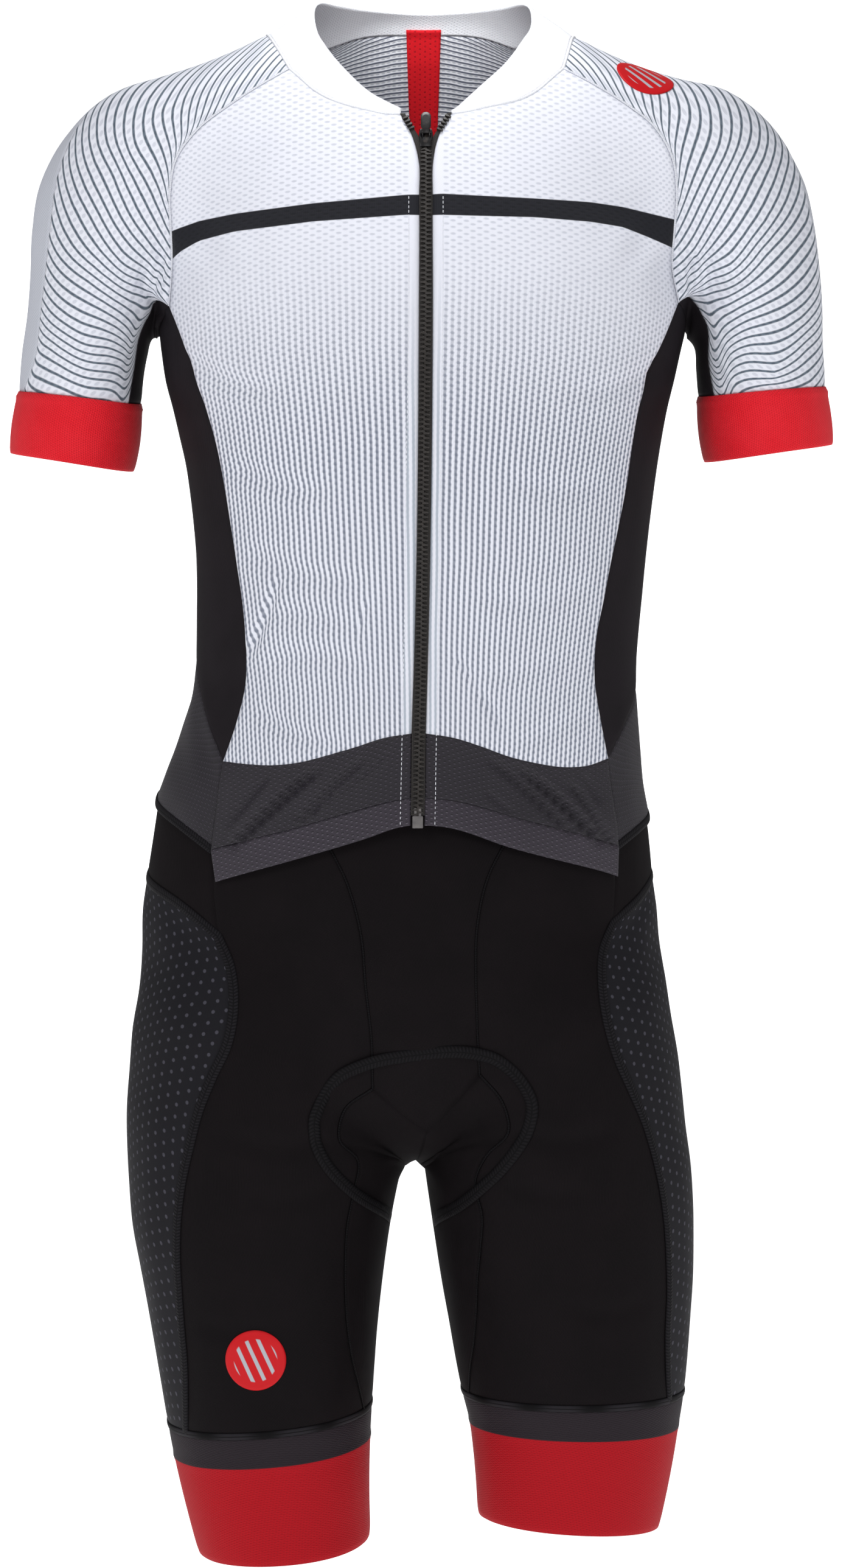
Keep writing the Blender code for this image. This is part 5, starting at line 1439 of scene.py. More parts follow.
def copies(name: str, master: bmesh.types.BMesh, places: Array, turns: Array,
           material: bpy.types.Material) -> Piece:
    """One piece made of many copies of a small shape.

    Args:
        name: the piece's name.
        master: the small shape, in millimetres. It is freed.
        places: where the copies go.
        turns: a turning matrix for each.
        material: the finish.

    Returns:
        The piece, riding with the garment.
    """
    single = bpy.data.meshes.new(name)
    master.to_mesh(single)
    master.free()
    whole = bmesh.new()
    for place, turn in zip(places, turns):
        matrix = Matrix(turn.tolist()).to_4x4()
        matrix.translation = Vector(place)
        before = len(whole.verts)
        whole.from_mesh(single)
        whole.verts.ensure_lookup_table()
        bmesh.ops.transform(whole, matrix=matrix, verts=whole.verts[before:])
    bmesh.ops.scale(whole, vec=(MM, MM, MM), verts=whole.verts[:])
    bpy.data.meshes.remove(single)
    return Piece(add_object(name, finished(name, whole, SHARP_COPY))).dress(material).ride()


# ---------------------------------------------------------------------------------------------------
# Finishes.

Socket = bpy.types.NodeSocket


def colour(hex_code: str) -> tuple[float, float, float, float]:
    """A linear colour from an sRGB hex value."""
    parts = [int(hex_code.lstrip("#")[i:i + 2], 16) / 255 for i in (0, 2, 4)]
    linear = [part / 12.92 if part <= 0.04045 else ((part + 0.055) / 1.055)**2.4 for part in parts]
    return (*linear, 1.0)


class Graph:
    """The nodes of one material."""

    def __init__(self, name: str) -> None:
        """Args: name: the material's name."""
        self.material = bpy.data.materials.new(name)
        self.material.use_nodes = True
        self.nodes = self.material.node_tree.nodes
        self.links = self.material.node_tree.links
        self.shader = self.nodes["Principled BSDF"]

    def add(self, kind: str, *inputs: Socket | float | Sequence[float] | None, output: int | str = 0,
            **settings: str | bool | int) -> Socket:
        """Add a node.

        Args:
            kind: its type, without the words that all types start with.
            inputs: for each of its sockets, a link, a value, or None to leave it.
            output: which output is wanted.
            settings: its other properties.

        Returns:
            The output.
        """
        node = self.nodes.new("ShaderNode" + kind)
        for name, value in settings.items():
            setattr(node, name, value)
        for socket, value in zip(node.inputs, inputs):
            if isinstance(value, Socket):
                self.links.new(value, socket)
            elif value is not None:
                socket.default_value = value
        return node.outputs[output]

    def flat(self, label: str) -> tuple[Socket, Socket]:
        """The two coordinates of a UV map, in millimetres."""
        where = self.add("UVMap", uv_map=label)
        node = self.add("SeparateXYZ", where).node
        return node.outputs[0], node.outputs[1]

    def lattice(self, u: Socket, v: Socket, pitch_u: float, pitch_v: float, stagger: float = 0.5
                ) -> tuple[Socket, Socket]:
        """Offsets from the nearest point of a lattice whose columns are shifted in turn.

        Args:
            u: coordinate across the columns.
            v: coordinate along them.
            pitch_u: distance between columns.
            pitch_v: distance along a column.
            stagger: how far every second column is shifted, in pitches.

        Returns:
            The two offsets, in the coordinates' unit.
        """
        a = self.add("Math", u, 1 / pitch_u, operation="MULTIPLY")
        n = self.add("Math", a, operation="ROUND")
        du = self.add("Math", self.add("Math", a, n, operation="SUBTRACT"), pitch_u, operation="MULTIPLY")
        odd = self.add("Math", n, 2.0, operation="MODULO")
        b = self.add("Math", v, 1 / pitch_v, self.add("Math", odd, stagger, operation="MULTIPLY"),
                     operation="MULTIPLY_ADD")
        m = self.add("Math", b, operation="ROUND")
        dv = self.add("Math", self.add("Math", b, m, operation="SUBTRACT"), pitch_v, operation="MULTIPLY")
        return du, dv

    def spot(self, du: Socket, dv: Socket, wide: float, high: float, soft: float = 0.25) -> Socket:
        """A round or oval spot, 1 inside, of the given full width and height."""
        a = self.add("Math", du, 2 / wide, operation="MULTIPLY")
        b = self.add("Math", dv, 2 / high, operation="MULTIPLY")
        square = self.add("Math", a, a, self.add("Math", b, b, operation="MULTIPLY"),
                          operation="MULTIPLY_ADD")
        reach = self.add("Math", square, operation="SQRT")
        return self.add("MapRange", reach, 1 - soft, 1 + soft, 1.0, 0.0, interpolation_type="SMOOTHSTEP")

    def stripe(self, value: Socket, share: float, soft: float = 0.06) -> Socket:
        """Stripes centred on the whole numbers of a value, 1 inside, that take a share of the pitch."""
        near = self.add("Math", value, operation="ROUND")
        gap = self.add("Math", self.add("Math", value, near, operation="SUBTRACT"), operation="ABSOLUTE")
        return self.add("MapRange", gap, share / 2 - soft, share / 2 + soft, 1.0, 0.0,
                        interpolation_type="SMOOTHSTEP")

    def threads(self, u: Socket, v: Socket, pitch: float, slant: float) -> Socket:
        """Fine slanting ridges of thread, from -1 to 1, a pitch apart."""
        along = self.add("Math", v, slant, u, operation="MULTIPLY_ADD")
        return self.add("Math", self.add("Math", along, 2 * math.pi / pitch, operation="MULTIPLY"),
                        operation="SINE")

    def tint(self, base: Socket | Sequence[float], mask: Socket, share: float, hex_code: str) -> Socket:
        """A colour laid over another where a mask is, at a share of its strength."""
        strength = self.add("Math", mask, share, operation="MULTIPLY")
        return self.add("MixRGB", strength, base, colour(hex_code))

    def yarn_relief(self, mask: Socket, deep: float, ridges: Socket, high: float) -> Socket:
        """Relief of knitted cloth: hollows where a mask is, and fine ridges about the middle level."""
        level = self.add("Math", ridges, high, 0.5, operation="MULTIPLY_ADD")
        return self.add("Math", mask, deep, level, operation="MULTIPLY_ADD")

    def noise(self, scale_mm: float, detail: float = 3.0) -> Socket:
        """Soft unevenness over the given size, from 0 to 1, in the piece's own space."""
        where = self.add("TexCoord", output="Object")
        return self.add("TexNoise", where, None, 1 / (scale_mm * MM), detail, 0.55)

    def finish(self, base: Socket | Sequence[float], roughness: Socket | float, height: Socket | None = None,
               depth_mm: float = 0.2, **more: float | Sequence[float]) -> bpy.types.Material:
        """Connect the surface.

        Args:
            base: its colour.
            roughness: its roughness.
            height: its fine relief, from 0 to 1.
            depth_mm: how deep that relief is.
            more: the shader's other sockets, with their spaces written as underscores.

        Returns:
            The material.
        """
        for name, value in (("Base Color", base), ("Roughness", roughness)):
            if isinstance(value, Socket):
                self.links.new(value, self.shader.inputs[name])
            else:
                self.shader.inputs[name].default_value = value
        for name, value in more.items():
            self.shader.inputs[name.replace("_", " ")].default_value = value
        if height is not None:
            bump = self.nodes.new("ShaderNodeBump")
            bump.inputs["Strength"].default_value = 1.0
            bump.inputs["Distance"].default_value = depth_mm * MM
            self.links.new(height, bump.inputs["Height"])
            self.links.new(bump.outputs[0], self.shader.inputs["Normal"])
        return self.material


# The short fibres that stand off knitted yarn.
SHEEN = {"Sheen_Weight": 0.05, "Sheen_Roughness": 0.5, "Specular_IOR_Level": 0.3}


@dataclass(frozen=True)
class WhiteMesh:
    """Knitted polyester mesh: matt white yarn, with lens-shaped holes that turn into printed stripes."""

    white: str = "#E3E5EF"
    hole: str = "#C9CCD8"
    slate: str = "#656D7F"
    pale_slate: str = "#98A3B1"
    band: str = "#15161D"
    pitch_u: float = 4.05
    pitch_v: float = 4.15
    placket: float = 10.8

    def material(self) -> bpy.types.Material:
        """The finish of the jersey's front. The map "marks" holds the distances from zip and chest band."""
        g = Graph("white_polyester_mesh")
        u, v = g.flat("cut")
        aside, band = g.flat("marks")
        u = g.add("Math", g.noise(60, 1.0), 2.0, u, operation="MULTIPLY_ADD")
        u = g.add("Math", g.threads(v, u, self.pitch_v, 0.5), 0.12, u, operation="MULTIPLY_ADD")
        lower = g.add("MapRange", v, -100.0, -250.0, 0.0, 1.0, interpolation_type="SMOOTHSTEP")
        solid = g.add("MapRange", v, -205.0, -315.0, 0.0, 1.0, interpolation_type="SMOOTHSTEP")
        on_front = g.add("MapRange", aside, self.placket - 0.6, self.placket + 0.6, 0.0, 1.0)
        du, dv = g.lattice(u, v, self.pitch_u, self.pitch_v)
        lens = g.spot(du, dv, 3.4, 1.35, 0.45)
        lens = g.add("Math", lens, on_front, operation="MULTIPLY")
        seen_lens = g.add("Math", lens, g.add("Math", 1.0, solid, operation="SUBTRACT"), operation="MULTIPLY")
        columns = g.add("Math", u, 1 / self.pitch_u, operation="MULTIPLY")
        line = g.stripe(columns, 0.44, 0.09)
        hatch = g.threads(u, v, 1.0, 0.9)
        hatch = g.add("MapRange", hatch, -0.6, 0.8, 0.6, 0.95)
        line = g.add("Math", line, g.add("Math", hatch, lower, operation="MULTIPLY"), operation="MULTIPLY")
        dot = g.spot(du, dv, 2.3, 2.3, 0.35)
        dark = g.add("Math", g.add("Math", dot, on_front, operation="MULTIPLY"), lower, operation="MULTIPLY")
        base = g.add("MixRGB", seen_lens, colour(self.white), colour(self.hole))
        stripe_colour = g.add("MixRGB", on_front, colour(self.pale_slate), colour(self.slate))
        base = g.add("MixRGB", line, base, stripe_colour)
        base = g.tint(base, dark, 0.6, self.slate)
        uneven = g.add("MapRange", g.noise(25), 0.3, 0.7, 0.985, 1.01)
        base = g.add("MixRGB", 1.0, base, uneven, blend_type="MULTIPLY")
        in_band = g.add("MapRange", band, -0.25, 0.25, 0.0, 1.0)
        rib = g.add("MapRange", g.threads(u, v, 1.35, 0.0), -1.0, 1.0, 0.0, 1.0)
        dark_cloth = g.tint(colour(self.band), rib, 0.25, "#23242D")
        dark_cloth = g.tint(dark_cloth, lens, 0.5, "#0D0E13")
        base = g.add("MixRGB", in_band, base, dark_cloth)
        ridge = g.threads(u, v, 0.9, 0.6)
        height = g.yarn_relief(lens, -0.8, ridge, 0.12)
        return g.finish(base, 0.85, height, 0.2, **SHEEN)


@dataclass(frozen=True)
class BackMesh:
    """The same mesh with fine navy stripes across it: matt, slightly see-through yarn."""

    white: str = "#F2F3F9"
    navy: str = "#36415A"
    pitch: float = 3.2

    def material(self) -> bpy.types.Material:
        """The finish of the back, inside and out."""
        g = Graph("striped_polyester_mesh")
        u, v = g.flat("cut")
        v = g.add("Math", g.noise(14, 2.0), 1.2, v, operation="MULTIPLY_ADD")
        rows = g.add("Math", v, 1 / self.pitch, operation="MULTIPLY")
        line = g.stripe(rows, 0.36, 0.1)
        du, dv = g.lattice(u, g.add("Math", v, self.pitch / 2, operation="ADD"), 3.6, self.pitch, 0.0)
        oval = g.spot(du, dv, 2.3, 1.2, 0.35)
        base = g.tint(colour(self.white), oval, 0.55, "#B7BDCA")
        base = g.tint(base, line, 0.92, self.navy)
        height = g.yarn_relief(oval, -0.7, g.threads(u, v, 0.9, 0.6), 0.12)
        return g.finish(base, 0.85, height, 0.3, **SHEEN)


@dataclass(frozen=True)
class FineMesh:
    """Fine warp-knitted mesh: even, matt, with pin-prick holes and slanting ridges."""

    name: str = "white_fine_mesh"
    cloth: str = "#F4F5FA"
    hole: str = "#D2D5DF"
    pitch: float = 1.9

    def material(self) -> bpy.types.Material:
        """The finish of the collar and, in a greyer copy with painted shade, of the rear halves of the
        sleeves.
        """
        g = Graph(self.name)
        u, v = g.flat("cut")
        du, dv = g.lattice(u, v, self.pitch, self.pitch)
        hole = g.spot(du, dv, 0.95, 0.8, 0.4)
        twill = g.add("MapRange", g.threads(u, v, 1.1, 1.0), -1.0, 1.0, 0.0, 1.0)
        base = g.tint(colour(self.cloth), hole, 0.55, self.hole)
        base = g.tint(base, twill, 0.25, "#DEE1E9")
        height = g.yarn_relief(hole, -0.6, twill, 0.25)
        return g.finish(base, 0.85, height, 0.22, **SHEEN)


@dataclass(frozen=True)
class StripedKnit:
    """White knit with printed slate stripes that turn with the sleeve; a ring-shaped dimple between them."""

    white: str = "#E3E5EF"
    ring: str = "#C6C9D5"
    slate: str = "#434D59"
    share: float = 0.27
    pitch_t: float = 4.2

    def material(self) -> bpy.types.Material:
        """The finish of the sleeves. The map "stripes" holds the stripe's number and a distance along it."""
        g = Graph("striped_polyester_knit")
        number, along = g.flat("stripes")
        u, v = g.flat("cut")
        uneven = g.add("MapRange", g.noise(9), 0.0, 1.0, -0.06, 0.06)
        line = g.stripe(g.add("Math", number, uneven, operation="ADD"), self.share, 0.07)
        half = g.add("Math", number, 0.5, operation="ADD")
        du, dv = g.lattice(half, along, 1.0, self.pitch_t)
        scaled = g.add("Math", du, self.pitch_t, operation="MULTIPLY")
        outer = g.spot(scaled, dv, 1.9, 2.1, 0.4)
        base = g.tint(colour(self.white), outer, 0.8, self.ring)
        bu, bv = g.lattice(number, along, 1.0, self.pitch_t)
        blob = g.spot(g.add("Math", bu, self.pitch_t, operation="MULTIPLY"), bv, 1.9, 2.0, 0.4)
        slate = g.tint(colour("#5F6B78"), blob, 0.6, self.slate)
        base = g.add("MixRGB", line, base, slate)
        height = g.yarn_relief(outer, -0.6, g.threads(u, v, 0.9, 0.7), 0.12)
        return g.finish(base, 0.85, height, 0.25, **SHEEN)


@dataclass(frozen=True)
class DarkMesh:
    """Charcoal knitted mesh: matt dark yarn with small holes, and a painted highlight on one side of each
    hole.
    """

    name: str = "charcoal_polyester_mesh"
    cloth: str = "#1D1921"
    hole: str = "#0A080C"
    # colour of the painted highlight beside each hole
    dot: str = "#524C58"
    pitch_u: float = 3.1
    pitch_v: float = 2.9

    def material(self) -> bpy.types.Material:
        """The finish of the front flap and the waist."""
        g = Graph(self.name)
        u, v = g.flat("cut")
        du, dv = g.lattice(u, v, self.pitch_u, self.pitch_v)
        hole = g.spot(du, dv, 1.5, 1.0, 0.35)
        # a pale spot on one side of each hole: painted highlight, laid on in the dot colour below
        lit = g.spot(du, g.add("Math", dv, 0.75, operation="ADD"), 1.3, 0.6, 0.5)
        shade = g.add("MapRange", g.noise(40), 0.3, 0.7, 0.9, 1.12)
        base = g.tint(colour(self.cloth), hole, 0.85, self.hole)
        base = g.tint(base, lit, 0.55, self.dot)
        base = g.add("MixRGB", 1.0, base, shade, blend_type="MULTIPLY")
        height = g.yarn_relief(hole, -0.8, g.threads(u, v, 0.9, 0.6), 0.15)
        return g.finish(base, 0.55, height, 0.3, Sheen_Weight=0.03, Specular_IOR_Level=0.35)


@dataclass(frozen=True)
class DarkKnit:
    """Close elastane knit: dark, with a soft shine where it is stretched and very fine ribs."""

    name: str = "black_elastane_knit"
    cloth: str = "#0B080A"
    light: str = "#171315"
    pitch: float = 0.95
    roughness: float = 0.8

    def material(self) -> bpy.types.Material:
        """The finish of the shorts or the side panels."""
        g = Graph(self.name)
        u, v = g.flat("cut")
        rib = g.add("MapRange", g.threads(u, v, self.pitch, 0.25), -1.0, 1.0, 0.0, 1.0)
        cloud = g.add("MapRange", g.noise(30), 0.35, 0.65, 0.0, 1.0)
        mixed = g.add("Math", rib, 0.45, g.add("Math", cloud, 0.35, operation="MULTIPLY"),
                      operation="MULTIPLY_ADD")
        base = g.add("MixRGB", mixed, colour(self.cloth), colour(self.light))
        rough = g.add("MapRange", cloud, 0.0, 1.0, self.roughness - 0.04, self.roughness + 0.05)
        height = g.add("Math", rib, g.add("Math", g.noise(1.2), 0.6, operation="MULTIPLY"), operation="ADD")
        return g.finish(base, rough, height, 0.07, Specular_IOR_Level=0.08)


@dataclass(frozen=True)
class DottedKnit:
    """Elastane knit with rows of raised dots, a little greyer than its ground: matt dark blue-black."""

    cloth: str = "#121116"
    dot: str = "#42414A"
    pitch_u: float = 8.0
    pitch_v: float = 7.4
    size: float = 2.4

    def material(self) -> bpy.types.Material:
        """The finish of the side panels of the legs."""
        g = Graph("dotted_elastane_knit")
        u, v = g.flat("cut")
        du, dv = g.lattice(u, v, self.pitch_u, self.pitch_v)
        dot = g.spot(du, dv, self.size, self.size, 0.25)
        ring = g.spot(du, dv, self.size * 1.35, self.size * 1.35, 0.2)
        rib = g.add("MapRange", g.threads(u, v, 0.95, 0.3), -1.0, 1.0, 0.0, 1.0)
        base = g.tint(colour(self.cloth), rib, 0.35, "#1B1A20")
        base = g.tint(base, ring, 0.35, "#0D0C10")
        base = g.tint(base, dot, 0.9, self.dot)
        height = g.add("Math", dot, 0.9, g.add("Math", rib, 0.2, operation="MULTIPLY"), operation="ADD")
        return g.finish(base, 0.72, height, 0.22, Specular_IOR_Level=0.15)


@dataclass(frozen=True)
class RedPique:
    """Red piqué knit: bright dyed yarn in a lattice of small raised lozenges, with painted highlights on the
    raised points and painted shade in the pits between them.
    """

    name: str = "red_pique_knit"
    cloth: str = "#DA061C"
    # paler red: a random tone over the cloth, and the painted highlight on the raised points
    light: str = "#EA2C3A"
    # darker red of the painted shade in the pits
    dark: str = "#A80A18"
    pitch: float = 1.5

    def material(self) -> bpy.types.Material:
        """The finish of the cuffs or the leg grippers."""
        g = Graph(self.name)
        u, v = g.flat("cut")
        du, dv = g.lattice(u, v, self.pitch, self.pitch)
        point = g.spot(du, dv, self.pitch * 0.62, self.pitch * 0.62, 0.4)
        bu, bv = g.lattice(g.add("Math", u, self.pitch / 2, operation="ADD"), v, self.pitch, self.pitch)
        pit = g.spot(bu, bv, self.pitch * 0.6, self.pitch * 0.5, 0.4)
        cloud = g.add("MapRange", g.noise(16), 0.35, 0.65, 0.0, 0.22)
        base = g.add("MixRGB", cloud, colour(self.cloth), colour(self.light))
        # painted highlight on the raised points, then painted shade in the pits
        base = g.tint(base, point, 0.38, self.light)
        base = g.tint(base, pit, 0.45, self.dark)
        height = g.add("Math", point, 0.8, g.add("Math", pit, -0.5, operation="MULTIPLY"),
                       operation="MULTIPLY_ADD")
        return g.finish(base, 0.72, height, 0.2, Sheen_Weight=0.04, Specular_IOR_Level=0.25)


@dataclass(frozen=True)
class DottedRed:
    """Red tape knit with darker dots in staggered rows, matt."""

    cloth: str = "#E0101F"
    dot: str = "#A00D18"

    def material(self) -> bpy.types.Material:
        """The finish of the strip inside the neck."""
        g = Graph("red_dotted_tape")
        u, v = g.flat("cut")
        du, dv = g.lattice(u, v, 3.3, 3.3)
        dot = g.spot(du, dv, 1.2, 1.2, 0.35)
        base = g.tint(colour(self.cloth), dot, 0.85, self.dot)
        height = g.yarn_relief(dot, -0.6, g.threads(u, v, 0.8, 0.5), 0.15)
        return g.finish(base, 0.75, height, 0.2, Sheen_Weight=0.04, Specular_IOR_Level=0.25)


@dataclass(frozen=True)
class LegBand:
    """A dark elastic band above a red silicone-backed gripper knit with fine cross ribs."""

    dark: str = "#1F191E"
    red: str = "#9E0614"

    def material(self) -> bpy.types.Material:
        """The finish of the leg bands. The map "marks" holds the distances above the split and the hem."""
        g = Graph("red_gripper_knit")
        u, v = g.flat("cut")
        above, _ = g.flat("marks")
        rib = g.add("MapRange", g.threads(v, u, 1.1, 0.15), -1.0, 1.0, 0.0, 1.0)
        du, dv = g.lattice(u, v, 1.9, 1.7)
        knot = g.spot(du, dv, 1.1, 0.8, 0.4)
        red = g.tint(colour(self.red), rib, 0.35, "#B0101E")
        red = g.tint(red, knot, 0.4, "#7E0E18")
        dark = g.tint(colour(self.dark), rib, 0.4, "#2D262C")
        upper = g.add("MapRange", above, -0.3, 0.3, 0.0, 1.0)
        height = g.add("Math", rib, 0.5, g.add("Math", knot, -0.5, operation="MULTIPLY"),
                       operation="MULTIPLY_ADD")
        return g.finish(g.add("MixRGB", upper, red, dark), 0.72, height, 0.2, Specular_IOR_Level=0.15)


@dataclass(frozen=True)
class HeatPrint:
    """Heat-pressed film patch: smooth red vinyl with slanting bars of grey reflective film."""

    red: str = "#BC0A14"
    silver: str = "#A9ABB2"

    def material(self) -> bpy.types.Material:
        """The finish of the two round patches."""
        g = Graph("red_vinyl_print")
        u, v = g.flat("cut")
        slant = g.add("Math", g.add("Math", v, 0.45, u, operation="MULTIPLY_ADD"), 1 / 7.5,
                      operation="MULTIPLY")
        bars = g.stripe(slant, 0.34, 0.03)
        reach = g.add("Math", g.add("Math", u, u, g.add("Math", v, v, operation="MULTIPLY"),
                                    operation="MULTIPLY_ADD"), operation="SQRT")
        inside = g.add("MapRange", reach, 13.0, 13.6, 1.0, 0.0)
        bars = g.add("Math", bars, inside, operation="MULTIPLY")
        base = g.add("MixRGB", bars, colour(self.red), colour(self.silver))
        rough = g.add("MapRange", bars, 0.0, 1.0, 0.5, 0.35)
        height = g.add("Math", bars, 0.6, g.add("Math", g.noise(0.9), 0.2, operation="MULTIPLY"),
                       operation="MULTIPLY_ADD")
        return g.finish(base, rough, height, 0.12, Specular_IOR_Level=0.2)


@dataclass(frozen=True)
class FlatSeam:
    """Flat ladder seam: slanting rows of shiny polyester thread across a strip, darker at the edges."""

    name: str
    thread: str
    ground: str
    pitch: float = 1.7
    width: float = 6.3

    def material(self) -> bpy.types.Material:
        """The finish of a sewn strip."""
        g = Graph(self.name)
        u, v = g.flat("cut")
        aside = g.add("Math", u, operation="ABSOLUTE")
        rungs = g.add("Math", g.add("Math", aside, 0.35, v, operation="MULTIPLY_ADD"), 1 / self.pitch,
                      operation="MULTIPLY")
        rung = g.stripe(rungs, 0.55, 0.18)
        rail = g.add("MapRange", aside, self.width * 0.02, self.width * 0.09, 0.0, 1.0,
                     interpolation_type="SMOOTHSTEP")
        edge = g.add("MapRange", aside, self.width * 0.42, self.width * 0.5, 1.0, 0.4,
                     interpolation_type="SMOOTHSTEP")
        lit = g.add("Math", g.add("Math", rung, rail, operation="MULTIPLY"), edge, operation="MULTIPLY")
        return g.finish(g.add("MixRGB", lit, colour(self.ground), colour(self.thread)), 0.75, lit, 0.25,
                        Specular_IOR_Level=0.12)


@dataclass(frozen=True)
class Thread:
    """Twisted polyester sewing thread: a soft shine broken by its twist."""

    name: str
    yarn: str
    shade: str

    def material(self) -> bpy.types.Material:
        """The finish of single stitches and cords."""
        g = Graph(self.name)
        grain = g.add("MapRange", g.noise(0.5, 2.0), 0.35, 0.65, 0.0, 1.0)
        return g.finish(g.add("MixRGB", grain, colour(self.yarn), colour(self.shade)), 0.6, grain, 0.1,
                        Specular_IOR_Level=0.3)


@dataclass(frozen=True)
class ZipTape:
    """Woven polyester zip tape: near-black, with fine pale points along its edges."""

    cloth: str = "#120F0E"
    point: str = "#4C4540"

    def material(self) -> bpy.types.Material:
        """The finish of the tapes."""
        g = Graph("woven_zip_tape")
        u, v = g.flat("cut")
        du, dv = g.lattice(u, v, 1.0, 1.0)
        point = g.spot(du, dv, 0.5, 0.45, 0.4)
        rib = g.add("MapRange", g.threads(u, v, 0.8, 0.0), -1.0, 1.0, 0.0, 1.0)
        base = g.tint(colour(self.cloth), rib, 0.4, "#1D1917")
        base = g.tint(base, point, 0.5, self.point)
        return g.finish(base, 0.75, rib, 0.1)


@dataclass(frozen=True)
class MouldedResin:
    """Acetal zip tooth: injection-moulded brown-black plastic with a dull shine and rubbed, paler crowns."""

    name: str = "moulded_acetal"
    body: str = "#1D1917"
    worn: str = "#302A26"
    roughness: float = 0.34

    def material(self) -> bpy.types.Material:
        """The finish of the teeth."""
        g = Graph(self.name)
        cloud = g.add("MapRange", g.noise(3.0), 0.35, 0.65, 0.0, 1.0)
        base = g.tint(colour(self.body), cloud, 0.5, self.worn)
        rough = g.add("MapRange", cloud, 0.0, 1.0, self.roughness, self.roughness + 0.12)
        return g.finish(base, rough, g.noise(0.6), 0.03)


@dataclass(frozen=True)
class CastZinc:
    """Die-cast zinc under dark enamel: smooth and glossy, with a warmer, brighter metal at rubbed spots."""

    name: str = "enamelled_zinc"
    enamel: str = "#121113"
    metal: str = "#4B423C"
    wear: float = 0.55

    def material(self) -> bpy.types.Material:
        """The finish of the slider, its pull and the box."""
        g = Graph(self.name)
        rubbed = g.add("MapRange", g.noise(5.0, 2.0), self.wear, self.wear + 0.3, 0.0, 1.0)
        base = g.add("MixRGB", rubbed, colour(self.enamel), colour(self.metal))
        rough = g.add("MapRange", rubbed, 0.0, 1.0, 0.26, 0.42)
        return g.finish(base, rough, g.noise(0.8), 0.02, Metallic=0.35)


@dataclass(frozen=True)
class PaintedWall:
    """Matt white studio wall and floor, rolled emulsion paint: even, with a faint stipple."""

    paint: str = "#FFFFFF"

    def material(self) -> bpy.types.Material:
        """The finish of the backdrop."""
        g = Graph("matt_studio_paint")
        stipple = g.noise(4.0)
        base = g.add("MixRGB", g.add("MapRange", stipple, 0.0, 1.0, 0.0, 0.02), colour(self.paint),
                     colour("#F2F2F2"))
        return g.finish(base, 0.95, stipple, 0.02)


# ---------------------------------------------------------------------------------------------------
# Pieces.

JERSEY_FACE = 1.8      # from the form to the jersey's outer face
SHORTS_FACE = 0.0      # and to that of the shorts
COLLAR_CENTRE = (0, 5, 15)
CHEST_BAND = table("across top bottom", (
    (-170, -109, -130),
    (-157.7, -104, -122.4),
    (-151.8, -101.9, -117.3),
    (-139.4, -97.8, -110.6),
    (-117, -93.5, -104.9),
    (-68, -87, -98.5),
    (-10, -81.6, -94.3),
    (13.9, -80.9, -94.3),
    (72.4, -84, -95.9),
    (106.3, -86.2, -98.8),
    (126.7, -89, -102.1),
    (162.1, -96.8, -115.7),
    (175, -100, -121),
))
# How far apart the columns of the front's mesh are, at heights in the front view.
COLUMN_PITCH = table("height pitch",
                     ((-440, 3.0), (-400, 3.1), (-320, 3.45), (-265, 3.6), (-190, 3.95), (-140, 4.05)))
CREASE_PULL = 0.7      # how far a trough draws the columns aside, as a share of its depth
ROW_BEND = 0.0008      # the rows of the mesh rise to the middle by this much times the square of the distance
# Stripes of the left sleeve, from the cuff to the neck: each row is a stripe's number and a place that it
# passes in the front view.
SLEEVE_STRIPE = table("number across height", (
    (3, -246.4, -186.9), (3, -235.7, -197.6), (3, -225.4, -203.8),
    (3, -212, -209.0), (3, -198, -212.5), (3, -184, -214.5),
    (6, -168, -201.0), (9, -168, -185.2),
    (6, -244.4, -167.0), (6, -232.8, -180.6), (6, -213.7, -192.4), (6, -188.6, -199.0), (6, -177.9, -200.1),
    (9, -243.7, -145.3), (9, -232.8, -161.1), (9, -211.4, -175.8), (9, -188.6, -183.2), (9, -175.0, -184.5),
    (12, -241.3, -122.4), (12, -232.8, -138.6), (12, -211.4, -157.4), (12, -188.6, -167.4),
    (12, -173.3, -168.8),
    (15, -236.5, -97.8), (15, -229.1, -115.4), (15, -211.4, -136.4), (15, -188.6, -150.8),
    (15, -172.4, -153.4),
    (17, -232.1, -80.6), (17, -211.4, -120.2), (17, -188.6, -139.4), (17, -173.1, -143.8),
    (20, -221.4, -46.7), (20, -220.3, -69.1), (20, -208.5, -96.2), (20, -188.6, -126.1), (20, -170.9, -135.0),
    (22, -205.5, -24.2), (22, -212.9, -43.4), (22, -207.0, -75.0), (22, -186.4, -110.6), (22, -170.9, -123.9),
    (24, -196.0, -18.7), (24, -202.5, -50.7), (24, -196.7, -67.7), (24, -182.7, -96.2), (24, -167.2, -118.0),
    (28, -175.3, -17.6), (28, -180.5, -32.3), (28, -178.7, -50.7), (28, -170.9, -68.4), (28, -159.1, -96.2),
    (31, -146.6, -5.8), (31, -159.1, -19.1), (31, -163.9, -32.3), (31, -159.9, -50.7),
    (35, -139.4, -19.1), (35, -142.2, -32.3),
    (39, -121.7, -19.7), (39, -109.6, -1.6), (39, -91, 15.3),
    (43, -95.5, -5.0), (43, -91, 1.2),
))
KNOT_REACH = 6.0       # a stripe's place counts for a panel that comes this near to it
PLATE_SOFT = 40.0      # how freely the stripes may pass beside their places
STRIPE_MIRROR = (0.97, 2.0)      # the right sleeve's stripes are the left's, a little wider and shifted


